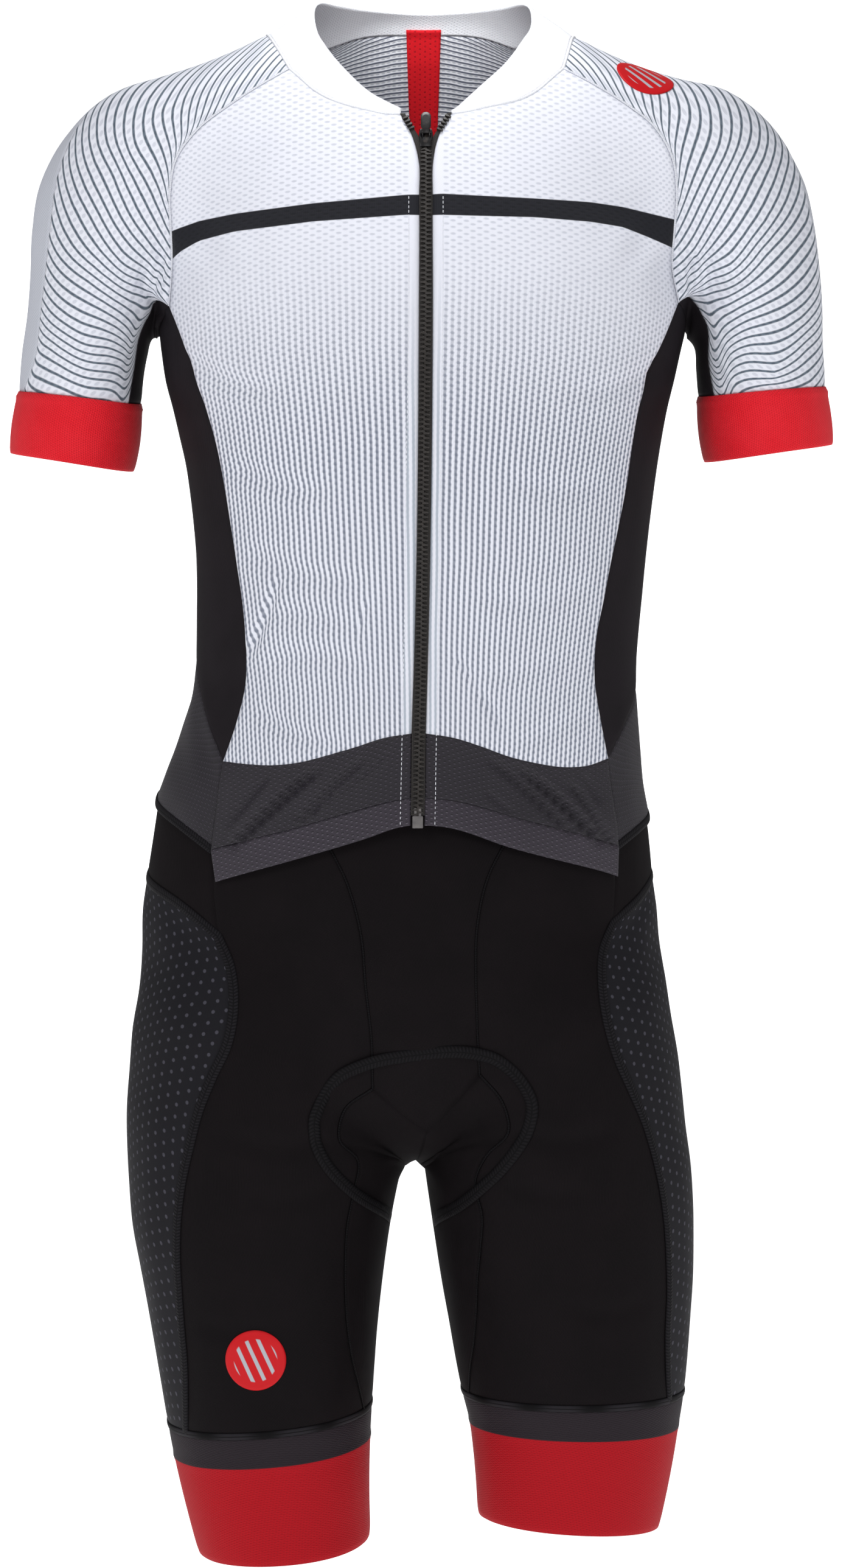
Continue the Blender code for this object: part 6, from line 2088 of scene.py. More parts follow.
def front_map(place: Array) -> dict[str, Array]:
    """UV maps of the white fronts: columns and rows of the mesh, and distances from zip and chest band."""
    x, z = place[..., 0], place[..., 2]
    wide, deep, power = (value[..., None] for value in TRUNK.size(np.minimum(z, -140.0)))
    share = np.clip(np.abs(x)[..., None] / wide, 0, 0.98) * np.linspace(0, 1, 24)
    slope = deep / wide * share**(power - 1) * (1 - share**power)**(1 / power - 1)
    arc = x * np.sqrt(1 + slope**2).mean(-1)
    base = COLUMN_PITCH["pitch"][-1]
    u = arc * base / np.interp(z, COLUMN_PITCH["height"], COLUMN_PITCH["pitch"])
    where = FRONT.locate(place)
    u = u + CREASE_PULL * crease_depth(where, FRONT_CREASE)
    middle = np.interp(where[..., 1], ZIP_MIDDLE["height"], (ZIP_MIDDLE["left"] + ZIP_MIDDLE["right"]) / 2)
    top, bottom = (np.interp(where[..., 0], CHEST_BAND["across"], CHEST_BAND[name])
                   for name in ("top", "bottom"))
    band = np.minimum(top - where[..., 1], where[..., 1] - bottom)
    return {"cut": np.stack([u, where[..., 1] + ROW_BEND * x**2], -1),
            "marks": np.stack([np.abs(where[..., 0] - middle), band], -1)}


def stripe_map(place: Array, which: Which) -> Array:
    """Stripe number and distance along the stripes, over a sleeve's panel.

    A thin plate, bent as little as possible, passes through the numbers at the places that are known.

    Args:
        place: the panel's points.
        which: the sleeve.

    Returns:
        The two values at each point.
    """
    flat = unrolled(place).reshape(-1, 2)
    across, height = SLEEVE_STRIPE["across"], SLEEVE_STRIPE["height"]
    values = np.stack([SLEEVE_STRIPE["number"], (across - height) / math.sqrt(2)], -1)
    if which is Which.RIGHT:
        across = STRIPE_MIRROR[1] - across / STRIPE_MIRROR[0]
    solid = FRONT.surface(np.stack([across, height], -1))
    gap = np.linalg.norm(place.reshape(-1, 1, 3) - solid, axis=-1)
    nearest = gap.argmin(0)
    kept = gap.min(0) < KNOT_REACH
    knots, values = flat[nearest[kept]], values[kept]

    def plate(square: Array) -> Array:
        """How a bent plate answers at a squared distance from a knot."""
        return square * np.log(np.maximum(square, 1e-6))

    def squares(a: Array, b: Array) -> Array:
        """Squared distances between two sets of places."""
        return ((a[:, None] - b[None]) ** 2).sum(-1)

    count = len(knots)
    ones = np.hstack([np.ones((count, 1)), knots])
    system = np.block([[plate(squares(knots, knots)) + PLATE_SOFT * np.eye(count), ones],
                       [ones.T, np.zeros((3, 3))]])
    weight = np.linalg.solve(system, np.vstack([values, np.zeros((3, 2))]))
    tilt = np.hstack([np.ones((len(flat), 1)), flat])
    found = plate(squares(flat, knots)) @ weight[:count] + tilt @ weight[count:]
    return found.reshape(*place.shape[:2], 2)


@dataclass
class Jersey:
    """The white front and back, with dark sides, an open front flap and a mesh waist."""

    face: float = JERSEY_FACE
    front_finish: WhiteMesh = field(default_factory=WhiteMesh)
    back_finish: BackMesh = field(default_factory=BackMesh)
    waist_finish: DarkMesh = field(default_factory=DarkMesh)
    # the hem's last colour is its painted highlight beside each hole, brighter than on the waist
    hem_finish: DarkMesh = field(default_factory=lambda: DarkMesh("charcoal_hem_mesh", "#2C2630", "#15121A",
                                                                  "#6C6672"))
    side_finish: DarkKnit = field(default_factory=lambda: DarkKnit(
        name="dark_side_knit", cloth="#181518", light="#242024", roughness=0.7))
    pieces: list[Piece] = field(default_factory=list)

    def build(self) -> None:
        """Make every panel of the jersey."""
        white, waist = self.front_finish.material(), self.waist_finish.material()
        dark, hem = self.side_finish.material(), self.hem_finish.material()
        for side in SIDES.values():
            self.front(side, white)
            self.flap(side, waist, hem)
            self.side(side, dark)
        self.back(self.back_finish.material(), waist)

    def front(self, side: Side, material: bpy.types.Material) -> None:
        """One white front, from the waist to the neck."""
        rims = side.ordered(join(side.side_front, side.raglan_front), side.zip_edge)
        top = side.collar_front if side.left else side.collar_front.back()
        panel = patch(FRONT, side.front_bottom, top, *rims)
        self.pieces.append(cloth(f"front_{side.which.value}", panel, lie(panel, self.face), material,
                                 front_map(panel.place), slot="white_mesh"))

    def flap(self, side: Side, material: bpy.types.Material, hem: bpy.types.Material) -> None:
        """The dark lower front and its turned hem."""
        rise = flap_rise(side)
        rims = side.ordered(side.hem_edge.finer(2), side.zip_hem)
        panel = patch(FRONT, side.band_top, side.front_bottom.finer(3), *rims)
        name = side.which.value
        lift = self.face + rise(panel.place) + rim_dip(panel.place.shape[:2])
        self.pieces.append(cloth(f"front_hem_{name}", panel, lift, material, held=Held.HUNG,
                                 slot="dark_mesh"))
        ends = [seam([side.band_bottom.coarse[k], side.band_top.coarse[k]], 2) for k in (0, -1)]
        panel = patch(FRONT, side.band_bottom, side.band_top, *ends)
        lift = self.face + 0.25 + rise(panel.place) + rim_dip(panel.place.shape[:2])
        self.pieces.append(cloth(f"hem_band_{name}", panel, lift, hem, held=Held.HUNG, slot="dark_mesh",
                                 thick=1.2))

    def side(self, side: Side, material: bpy.types.Material) -> None:
        """The dark panel from the armpit to the waist."""
        panel = patch(side.trunk, side.side_bottom, side.armpit, side.side_front, side.side_back, rounds=14)
        self.pieces.append(cloth(f"side_panel_{side.which.value}", panel, lie(panel, self.face), material,
                                 slot="dark_knit"))

    def back(self, striped: bpy.types.Material, waist: bpy.types.Material) -> None:
        """The back in one piece and the mesh waist below it."""
        left, right = SIDES.values()
        chart = Round(TRUNK, 0)
        self.bottom, top = seam(BACK_BOTTOM, 12), seam(COLLAR_BACK, 12)
        rims = [join(side.side_back, side.raglan_back) for side in SIDES.values()]
        self.back_grid = coarse_patch(chart, self.bottom, top, *rims)
        panel = refine(self.back_grid, self.bottom, top, *rims)
        self.pieces.append(cloth("back_panel", panel, lie(panel, self.face), striped, slot="white_mesh"))
        joint = join(left.joint_side.back(), left.joint_back, right.joint_back.back(), right.joint_side)
        upper = join(left.side_bottom, self.bottom, right.side_bottom.back())
        panel = patch(chart, joint, upper, left.hem_edge, right.hem_edge)
        self.pieces.append(cloth("back_mesh", panel, lie(panel, self.face), waist, slot="dark_mesh"))


@dataclass
class Sleeves:
    """Both raglan sleeves: striped in front, plain behind, dark underneath, with red cuffs."""

    face: float = JERSEY_FACE
    swell: float = 1.44          # of the cuff in its middle, and at its top
    top_swell: float = 0.63
    ridge: float = 0.5           # of the cuff's upper seam, which lies this far below its edge
    ridge_at: float = 3.5
    ridge_wide: float = 1.3
    striped: StripedKnit = field(default_factory=StripedKnit)
    # the rear halves are the white fine mesh in a greyer copy: painted shade
    plain: FineMesh = field(default_factory=lambda: FineMesh("plain_sleeve_mesh_painted_shade", "#C2C5D0", "#A3A7B4", 1.9))
    dark: DarkKnit = field(default_factory=lambda: DarkKnit(
        name="dark_underarm_knit", cloth="#181518", light="#242024", roughness=0.7))
    cuff: RedPique = field(default_factory=RedPique)
    pieces: list[Piece] = field(default_factory=list)

    def build(self) -> None:
        """Make both sleeves."""
        striped, plain = self.striped.material(), self.plain.material()
        dark, red = self.dark.material(), self.cuff.material()
        for side in SIDES.values():
            name = side.which.value
            ring = side.cuff_seam
            front = patch(side.sleeve, ring.part(0, 7), side.collar_side,
                          join(side.underarm_front, side.raglan_front), side.stripes, rounds=14)
            maps = {"cut": unrolled(front.place), "stripes": stripe_map(front.place, side.which)}
            self.add(f"sleeve_{name}", front, striped, "striped_knit", maps)
            back = patch(side.sleeve, ring.part(7, 13), side.collar_rear, side.stripes,
                         join(side.underarm_rear, side.raglan_back), rounds=14)
            self.add(f"sleeve_back_{name}", back, plain, "white_mesh")
            below = patch(side.sleeve_below, ring.part(13, 19).back(), side.armpit, side.underarm_front,
                          side.underarm_rear, rounds=14)
            self.add(f"underarm_{name}", below, dark, "dark_knit")
            self.add_cuff(side, red)

    def add(self, name: str, panel: Panel, material: bpy.types.Material, slot: str,
            maps: dict[str, Array] | None = None) -> None:
        """Make one panel."""
        self.pieces.append(cloth(name, panel, lie(panel, self.face), material, maps, slot=slot))

    def add_cuff(self, side: Side, material: bpy.types.Material) -> None:
        """Make one cuff, a tube of cloth that swells a little."""
        panel = between(side.cuff_seam, side.cuff_hem)
        v = np.linspace(0, 1, panel.place.shape[1])[None, :]
        deep = arcs(panel.place, 1)
        below = deep - deep[:, :1]
        swell = self.swell * np.sin(np.pi * v) + self.top_swell * (1 - v)
        ridge = self.ridge * np.exp(-((below - self.ridge_at) / self.ridge_wide)**2)
        lift = self.face + swell + ridge + rim_dip(panel.place.shape[:2], True)
        self.pieces.append(cloth(f"cuff_{side.which.value}", panel, lift, material, ring=True,
                                 slot="red_knit"))


@dataclass
class Collar:
    """The standing collar, with the red strip inside the back of the neck and the cord at its seam."""

    start: float = 0.5           # from the neck seam to where the collar begins
    swell: float = 1.0
    thick: float = 1.3
    strip_middle: float = 1.7
    strip_ends: tuple[float, float] = (-30.0, 35.5)
    strip_width: tuple[float, float] = (18.0, 22.5)
    mesh: FineMesh = field(default_factory=FineMesh)
    strip: DottedRed = field(default_factory=DottedRed)
    cord: Thread = field(default_factory=lambda: Thread("white_collar_cord", "#F1F2F7", "#D8DAE2"))
    pieces: list[Piece] = field(default_factory=list)

    def build(self, back_grid: Array) -> None:
        """Make the collar, its cord and the strip. The grid is that of the back, on which the strip lies."""
        left, right = SIDES.values()
        base = join(left.collar_front.back(), left.collar_side, left.collar_rear, seam(COLLAR_BACK, 12),
                    right.collar_rear.back(), right.collar_side.back(), right.collar_front)
        panel = self.standing(base.fine)
        self.pieces.append(cloth("collar", panel, self.thick, self.mesh.material(), slot="white_mesh",
                                 thick=self.thick))
        self.pieces.append(ribbon("collar_cord", base.fine, 2.0, JERSEY_FACE - 0.5, 0.9,
                                  self.cord.material()))
        self.neck_strip(panel.place[::FINE, ::FINE], back_grid)

    def standing(self, base: Array) -> Panel:
        """The collar's inner face, from its seam to its top edge."""
        where = np.stack([COLLAR_TOP["across"], COLLAR_TOP["height"]], -1)
        gone = gone_along(base)
        steps = 1200
        edge = spline(FRONT.at_depth(where, COLLAR_TOP["depth"]), steps)
        share = gone / gone[-1] * steps
        top = points_at(share, np.arange(steps + 1), edge)
        start = base + unit(top - base) * self.start
        v = np.linspace(0, 1, 3 * FINE + 1)[None, :, None]
        grid = start[:, None] * (1 - v) + top[:, None] * v
        out = unit(np.cross(np.gradient(grid, axis=0), np.gradient(grid, axis=1)))
        out *= np.sign(((grid - np.array(COLLAR_CENTRE)) * out).sum())
        return Panel(grid + out * self.swell * np.sin(np.pi * v), out)

    def neck_strip(self, collar: Array, back: Array) -> None:
        """The strip on the inside of the collar and of the back below it."""
        skin = Skin(collar, back + outward(back) * (JERSEY_FACE - CLOTH_THICK))
        u = np.linspace(0, 1, 12)[:, None]
        height = np.linspace(*self.strip_ends, 34)[None, :]
        wide = np.interp(height, self.strip_ends, self.strip_width)
        start = np.stack(np.broadcast_arrays(self.strip_middle + (u - 0.5) * wide, 0.0, height), -1)
        lying = skin.touch(start, (0, 1, 0))
        towards = np.broadcast_to(np.array((0.0, -1.0, 0.0)), lying.shape)
        self.pieces.append(cloth("neck_strip", Panel(lying, towards), 1.1, self.strip.material(),
                                 slot="red_knit", thick=0.6))


class Skin:
    """The faces of panels, for finding where a straight line meets them."""

    def __init__(self, *grids: Array) -> None:
        """Args: grids: the panels' points."""
        corners: list[tuple[float, ...]] = []
        faces: list[tuple[int, ...]] = []
        for grid in grids:
            start, up = len(corners), grid.shape[1]
            corners += [tuple(corner) for corner in grid.reshape(-1, 3)]
            for i in range(grid.shape[0] - 1):
                for j in range(up - 1):
                    a = start + i * up + j
                    faces.append((a, a + up, a + up + 1, a + 1))
        self.tree = BVHTree.FromPolygons(corners, faces)

    def touch(self, start: Array, direction: Sequence[float]) -> Array:
        """Where lines from the given points meet the faces."""
        hits = [self.tree.ray_cast(Vector(place), Vector(direction))[0] for place in start.reshape(-1, 3)]
        if None in hits:
            raise ValueError(f"{hits.count(None)} lines miss the panel")
        return np.array(hits, float).reshape(start.shape)


@dataclass
class Shorts:
    """The shorts: fronts, seat, inner legs, dotted side panels and leg bands."""

    face: float = SHORTS_FACE
    black: DarkKnit = field(default_factory=DarkKnit)
    dotted: DottedKnit = field(default_factory=DottedKnit)
    band: LegBand = field(default_factory=LegBand)
    band_ridge: float = 0.5      # height and width of the ridge where the two bands meet
    band_ridge_wide: float = 1.2
    red_share: dict[Which, float] = field(default_factory=lambda: {Which.LEFT: 0.75, Which.RIGHT: 0.74})
    pieces: list[Piece] = field(default_factory=list)

    def build(self) -> None:
        """Make every panel of the shorts."""
        black, dotted, band = self.black.material(), self.dotted.material(), self.band.material()
        for s in SIDES.values():
            name = s.which.value
            ring = s.leg_seam
            edge = join(s.flatlock_lower, s.waist_front, s.waist_hidden)
            self.add(f"thigh_front_{name}",
                     patch(s.leg, ring.part(0, 7), s.waist_top, edge, join(s.inner_front, s.centre_front)),
                     black, "black_knit", tucked=True)
            self.add(f"inner_leg_{name}",
                     patch(SPACE, ring.part(7, 12), s.gusset, s.inner_front, join(s.inner_back, s.crotch)),
                     black, "black_knit")
            self.add(f"thigh_side_{name}",
                     patch(s.leg_outside, ring.part(18, 24), s.flatlock_upper, s.rear_lower,
                           s.flatlock_lower),
                     dotted, "dotted_knit")
            self.add(f"waist_side_{name}",
                     patch(s.trunk, s.flatlock_upper, s.joint_side, s.rear_upper, s.waist_front),
                     black, "black_knit")
            self.add(f"shorts_back_{name}",
                     patch(s.leg_behind, ring.part(12, 18), s.joint_back.back(),
                           join(s.inner_back, s.centre_back), join(s.rear_lower, s.rear_upper)),
                     black, "black_knit")
            self.leg_band(s, band)
        left, right = SIDES.values()
        top = straight((WAIST_TOP[Which.LEFT][1], WAIST_TOP[Which.RIGHT][1]), WAIST_HEIGHT, 10)
        front = patch(FRONT, join(left.gusset, right.gusset.back()), top, left.centre_front,
                      right.centre_front)
        self.add("shorts_front", front, black, "black_knit", tucked=True)

    def add(self, name: str, panel: Panel, material: bpy.types.Material, slot: str, tucked: bool = False
            ) -> None:
        """Make one panel."""
        lift = lie(panel, self.face)
        if tucked:
            lift = lift + tuck(panel.place)
        self.pieces.append(cloth(name, panel, lift, material, slot=slot))

    def leg_band(self, side: Side, material: bpy.types.Material) -> None:
        """Make one leg band, dark above and red below."""
        panel = between(side.leg_hem, side.leg_seam)
        up = arcs(panel.place, 1)
        up = up - up[:, :1]
        split = up[:, -1:] * self.red_share[side.which]
        marks = np.stack([up - split, up], -1)
        ridge = self.band_ridge * np.exp(-((up - split) / self.band_ridge_wide)**2)
        lift = self.face + ridge + rim_dip(panel.place.shape[:2], True)
        self.pieces.append(cloth(f"leg_band_{side.which.value}", panel, lift, material,
                                 {"cut": unrolled(panel.place),
                                  "marks": marks}, ring=True, slot="red_gripper"))


@dataclass
class Stitching:
    """Seams that lie on the cloth: flat ladder seams, the outline of the pad, cords and single stitches."""

    flat_width: float = 6.3
    pad_width: float = 7.7
    fine_width: float = 1.3
    stitched: tuple[float, float] = (-480.0, -82.0)      # heights of the placket's stitched stretch
    stitch_aside: float = 10.8
    stitch_pitch: float = 3.0
    stitch_long: float = 2.1
    stitch_thick: float = 0.5
    flap_top: float = -425.0     # height below which the stitches rise with the flap
    pieces: list[Piece] = field(default_factory=list)

    def build(self) -> None:
        """Sew every seam."""
        ladder = FlatSeam("black_ladder_seam", "#1A181C", "#08070A", 2.0, self.flat_width).material()
        pad = FlatSeam("black_pad_seam", "#121013", "#060507", 2.2, self.pad_width).material()
        fine = FlatSeam("black_fine_seam", "#100E11", "#060507", 1.5, self.fine_width).material()
        cord = FlatSeam("black_double_cord", "#211F23", "#060507", 40.0, 4.4).material()
        pale = FlatSeam("white_fine_seam", "#E8EAF2", "#D5D8E2", 1.4, 1.4).material()
        for s in SIDES.values():
            name = s.which.value
            self.sew(f"flat_seam_{name}", join(s.flatlock_upper, s.flatlock_lower.back()), self.flat_width,
                     SHORTS_FACE, 0.55, ladder)
            self.sew(f"joint_seam_{name}", join(s.joint_back.back(), s.joint_side), 5.0, JERSEY_FACE, 0.3,
                     ladder)
            self.sew(f"inner_seam_{name}", s.inner_front, self.fine_width, SHORTS_FACE, 0.15, fine)
            self.sew(f"inner_back_seam_{name}", s.inner_back, self.fine_width, SHORTS_FACE, 0.15, fine)
            self.sew(f"rear_seam_{name}", join(s.rear_lower, s.rear_upper), self.flat_width, SHORTS_FACE,
                     0.45,
                     ladder)
            shown = s.centre_front.part(0, 5)
            self.sew(f"centre_seam_{name}", shown, 1.0, SHORTS_FACE, 0.1, fine, tucked=True)
            self.sew(f"raglan_seam_{name}", s.raglan_front, 1.4, JERSEY_FACE, 0.1, pale)
            self.sew(f"raglan_back_seam_{name}", s.raglan_back, 1.4, JERSEY_FACE, 0.1, pale)
            self.pieces.append(ribbon(f"leg_cord_{name}", s.leg_seam.fine, 4.4, SHORTS_FACE + 0.1, 0.4, cord,
                                      closed=True))
        self.sew("seat_seam", SIDES[Which.LEFT].centre_back, self.flat_width, SHORTS_FACE, 0.45, ladder)
        self.pad_outline(pad)
        self.white_stitches()

    def sew(self, name: str, line: Line, width: float, face: float, crown: float,
            material: bpy.types.Material, tucked: bool = False) -> None:
        """Lay one flat seam along a line.

        Args:
            name: the seam's name.
            line: where it runs.
            width: how wide it is.
            face: how far the cloth's outer face lies outside the form.
            crown: how far its middle stands above its edges.
            material: its finish.
            tucked: whether it sinks under the flap with the shorts' front.
        """
        points = line.fine
        lift = face + 0.12 + relief(points, outward(points))
        if tucked:
            lift = lift + tuck(points)
        self.pieces.append(ribbon(name, points, width, lift, crown, material))

    def white_stitches(self) -> None:
        """Rows of single white stitches along both edges of the zip's placket."""
        material = Thread("white_sewing_thread", "#F4F5FA", "#D6D9E2").material()
        for side in SIDES.values():
            heights = np.linspace(*self.stitched, 200)
            middle = np.interp(heights, ZIP_MIDDLE["height"], (ZIP_MIDDLE["left"] + ZIP_MIDDLE["right"]) / 2)
            line = FRONT.surface(np.stack([middle + side.which.sign * self.stitch_aside, heights], -1))
            points = along_line(line, self.stitch_pitch)
            out = outward(points)
            on_flap = flap_rise(side)(points) * (points[:, 2] < self.flap_top)
            lift = JERSEY_FACE + 0.1 + relief(points, out) + on_flap
            places = points + out * lift[:, None]
            bm = bmesh.new()
            bmesh.ops.create_uvsphere(bm, u_segments=8, v_segments=5, radius=0.5)
            in_order(bm)
            size = (self.stitch_thick, self.stitch_thick, self.stitch_long)
            bmesh.ops.scale(bm, vec=size, verts=bm.verts[:])
            bmesh.ops.rotate(bm, cent=(0, 0, 0), matrix=Matrix.Rotation(math.pi / 2, 3, "X"),
                             verts=bm.verts[:])
            turns = unit_frame(unit(np.gradient(points, axis=0)), out)
            self.pieces.append(copies(f"placket_stitches_{side.which.value}", bm, places, turns, material))

    def pad_outline(self, material: bpy.types.Material) -> None:
        """The stitched outline of the pad on the front of the shorts."""
        rows = PAD_OUTLINE
        line = FRONT.surface(np.stack([rows["across"], rows["height"]], -1))
        points = settle(smooth(line, FINE))
        lift = SHORTS_FACE + 0.6 + relief(points, outward(points))
        self.pieces.append(ribbon("pad_seam", points, self.pad_width, lift, 0.4, material))


def from_photo(*pixels: tuple[float, float]) -> list[tuple[float, float]]:
    """Places in the front view, in millimetres, of pixels of the photograph."""
    return [((x - PHOTO_ORIGIN[0]) * PHOTO_SCALE, (PHOTO_ORIGIN[1] - y) * PHOTO_SCALE) for x, y in pixels]


PAD_OUTLINE = table("across height", from_photo(
    (641, 1999), (595, 1969), (552, 1932), (526, 1895), (516, 1850), (522, 1823), (544, 1783), (575, 1759),
    (635, 1740), (735, 1728), (791, 1733), (827, 1748), (858, 1779), (875, 1818), (864, 1864), (836, 1907),
    (797, 1947), (754, 1981), (714, 2005)))


@dataclass
class Zip:
    """The front zip: tapes, interlocking teeth, slider with its pull, and the box at the bottom."""

    pitch: float = 2.8
    tooth: tuple[float, float, float] = (3.9, 1.65, 1.5)      # across, along, high
    tooth_out: float = 2.5       # from the form to a tooth's middle
    tape_face: float = 1.9
    teeth_from: float = -474.0   # heights in the front view between which the teeth stand
    teeth_to: float = -31.5
    overlap: float = 0.55        # of a tooth past the middle, where the rows interlock
    apart: float = 1.6           # from a half's inner edge to a tooth's middle, above the slider
    in_slider: float = 0.42      # share of the slider's length over which it hides the teeth
    tape_gap: float = 0.05       # share of a tape's width that is left open at the middle
    flap_top: float = -421.6     # height below which the zip rises with the flap
    flap_ramp: float = 10.0
    slider_height: float = -46.7
    slider_length: float = 12.6
    slider_width: float = 8.6
    top_x: float = 3.1
    foot_x: float = -2.1
    box_height: float = -477.9
    tape: ZipTape = field(default_factory=ZipTape)
    resin: MouldedResin = field(default_factory=MouldedResin)
    metal: CastZinc = field(default_factory=CastZinc)
    box_resin: MouldedResin = field(default_factory=lambda: MouldedResin("grey_moulded_acetal", "#565354",
                                                                         "#6E6A68"))
    pieces: list[Piece] = field(default_factory=list)

    def build(self) -> None:
        """Make the whole zip."""
        self.tapes()
        self.teeth()
        self.slider()
        self.pull()
        self.box()

    def middle(self, height: Array, which: Which) -> Array:
        """Places on the form along the inner edge of one half, at heights in the front view."""
        across = np.interp(height, ZIP_MIDDLE["height"], ZIP_MIDDLE[which.value])
        return FRONT.surface(np.stack([across, height], -1))

    def rise(self, point: Array) -> Array:
        """How far the flap lifts the zip off the form."""
        return np.maximum(flap_rise(SIDES[Which.LEFT])(point), 0) * soft_step(
            (self.flap_top - point[..., 2]) / self.flap_ramp)

    def tapes(self) -> None:
        """Both tapes, from the edge of the front to the middle."""
        material = self.tape.material()
        for side in SIDES.values():
            edge = join(side.zip_foot, side.zip_hem, side.zip_edge).fine
            middle = self.middle(FRONT.locate(edge)[:, 1], side.which)
            v = np.linspace(0, 1, 6)[:, None, None]
            grid = edge * (1 - v) + (middle + (edge - middle) * self.tape_gap) * v
            panel = Panel.on_form(grid)
            lift = self.tape_face + self.rise(grid)
            self.pieces.append(cloth(f"zip_{side.which.value}", panel, lift, material, slot="zip_tape"))

    def teeth(self) -> None:
        """The two rows of teeth, interlocked below the slider and apart above it."""
        material = self.resin.material()
        for side in SIDES.values():
            heights = np.linspace(self.teeth_from, self.teeth_to, 500)
            line = self.middle(heights, side.which)
            points = along_line(line, self.pitch / 2)[(0 if side.left else 1)::2]
            gap = np.abs(FRONT.locate(points)[:, 1] - self.slider_height)
            hidden = gap < self.slider_length * self.in_slider
            points = points[~hidden]
            out = outward(points)
            run = unit(np.gradient(points, axis=0))
            turn = unit_frame(run, out)
            aside = turn[:, :, 0] * side.which.sign
            reach = np.where(FRONT.locate(points)[:, 1] > self.slider_height, self.apart,
                             self.tooth[0] / 2 - self.overlap)
            places = points + aside * reach[:, None] + out * (self.tooth_out + self.rise(points))[:, None]
            turn[:, :, 0] = aside
            turn[:, :, 1] = run * side.which.sign
            self.pieces.append(copies(f"zip_teeth_{side.which.value}", self.one_tooth(), places, turn,
                                      material))

    def one_tooth(self) -> bmesh.types.BMesh:
        """A tooth in millimetres: a block with a waist, wider at the head that faces the other row."""
        bm = bmesh.new()
        bmesh.ops.create_cube(bm, size=1)
        bmesh.ops.subdivide_edges(bm,
                                  edges=[e for e in bm.edges if abs(e.verts[0].co.x - e.verts[1].co.x) > 0.5],
                                  cuts=2, use_grid_fill=True)
        for vert in bm.verts:
            waist = 0.62 if abs(vert.co.x) < 0.3 and vert.co.x > 0 else 1.0
            vert.co.y *= waist * (0.8 if vert.co.x > 0.4 else 1.0)
            vert.co.z *= 0.75 if vert.co.x > 0.4 else 1.0
        bmesh.ops.scale(bm, vec=self.tooth, verts=bm.verts[:])
        bmesh.ops.bevel(bm, geom=[e for e in bm.edges if e.calc_face_angle(0) > 0.9], offset=0.22, segments=1,
                        profile=0.5, affect="EDGES", material=-1)
        return bm

    def lean(self, across: float, height: float) -> tuple[Array, float]:
        """A place on the front, and how far the cloth leans back there."""
        place = FRONT.surface(np.array([[across, height]], float))
        out = outward(place)[0]
        return place[0], math.atan2(out[2], -out[1])

    def put(self, name: str, bm: bmesh.types.BMesh, place: Array, tilt: float, material: bpy.types.Material,
            body: str = GARMENT, slot: str = "zip_metal") -> None:
        """Place a part that was made upright in millimetres, leaning back with the cloth, as its node."""
        in_order(bm)
        bmesh.ops.recalc_face_normals(bm, faces=bm.faces[:])
        matrix = Matrix.Scale(MM, 4) @ Matrix.Translation(Vector(place)) @ Matrix.Rotation(-tilt, 4, "X")
        bmesh.ops.transform(bm, matrix=matrix, verts=bm.verts[:])
        item = add_object(f"fine_{name}", finished(name, bm, SHARP_METAL))
        self.pieces.append(Piece(item, body).dress(material).ride().stand_for(name, slot=slot))

    def plate(self, bm: bmesh.types.BMesh, outline: Sequence[tuple[float, float]], near: float, far: float,
              edge: float, segments: int = 2) -> None:
        """A plate with rounded edges.

        Args:
            bm: what it is added to.
            outline: its corners, across and up.
            near: how far out its back lies.
            far: how far out its front lies.
            edge: how wide the rounding is.
            segments: how many faces round it.
        """
        face = bm.faces.new([bm.verts.new((x, -near, up)) for x, up in outline])
        made = bmesh.ops.extrude_face_region(bm, geom=[face], use_keep_orig=True)
        new = [item for item in made["geom"] if isinstance(item, bmesh.types.BMVert)]
        bmesh.ops.translate(bm, verts=new, vec=(0, near - far, 0))
        edges = dict.fromkeys(e for vert in new for f in vert.link_faces for e in f.edges)
        rim = [e for e in edges if len(e.link_faces) == 2 and e.calc_face_angle(0) > 0.7]
        bmesh.ops.bevel(bm, geom=rim, offset=edge, segments=segments, profile=0.5, affect="EDGES",
                        material=-1)

    def slider(self) -> None:
        """The slider: two plates joined by a bridge, with the pull's lugs on top."""
        place, tilt = self.lean(self.top_x, self.slider_height)
        bm = bmesh.new()
        half, wide = self.slider_length / 2, self.slider_width / 2
        shield = [(-wide * 0.8, -half), (wide * 0.8, -half), (wide * 0.86, -half * 0.3), (wide, half * 0.35),
                  (wide * 0.92, half * 0.8), (wide * 0.45, half), (-wide * 0.45, half),
                  (-wide * 0.92, half * 0.8), (-wide, half * 0.35), (-wide * 0.86, -half * 0.3)]
        self.plate(bm, shield, 3.1, 4.2, 0.35)
        self.plate(bm, [(-1.2, half * 0.3), (1.2, half * 0.3), (1.2, half * 0.95), (-1.2, half * 0.95)],
                   0.2, 3.3, 0.15)
        self.plate(bm, shield, -1.2, -0.3, 0.25)
        for sign in (-1, 1):
            lug = sorted((sign * 2.6, sign * 3.5))
            self.plate(bm, [(lug[0], 1.1), (lug[1], 1.1), (lug[1], 4.1), (lug[0], 4.1)], 4.0, 7.5, 0.2)
        self.put("zip_slider", bm, place, tilt, self.metal.material())

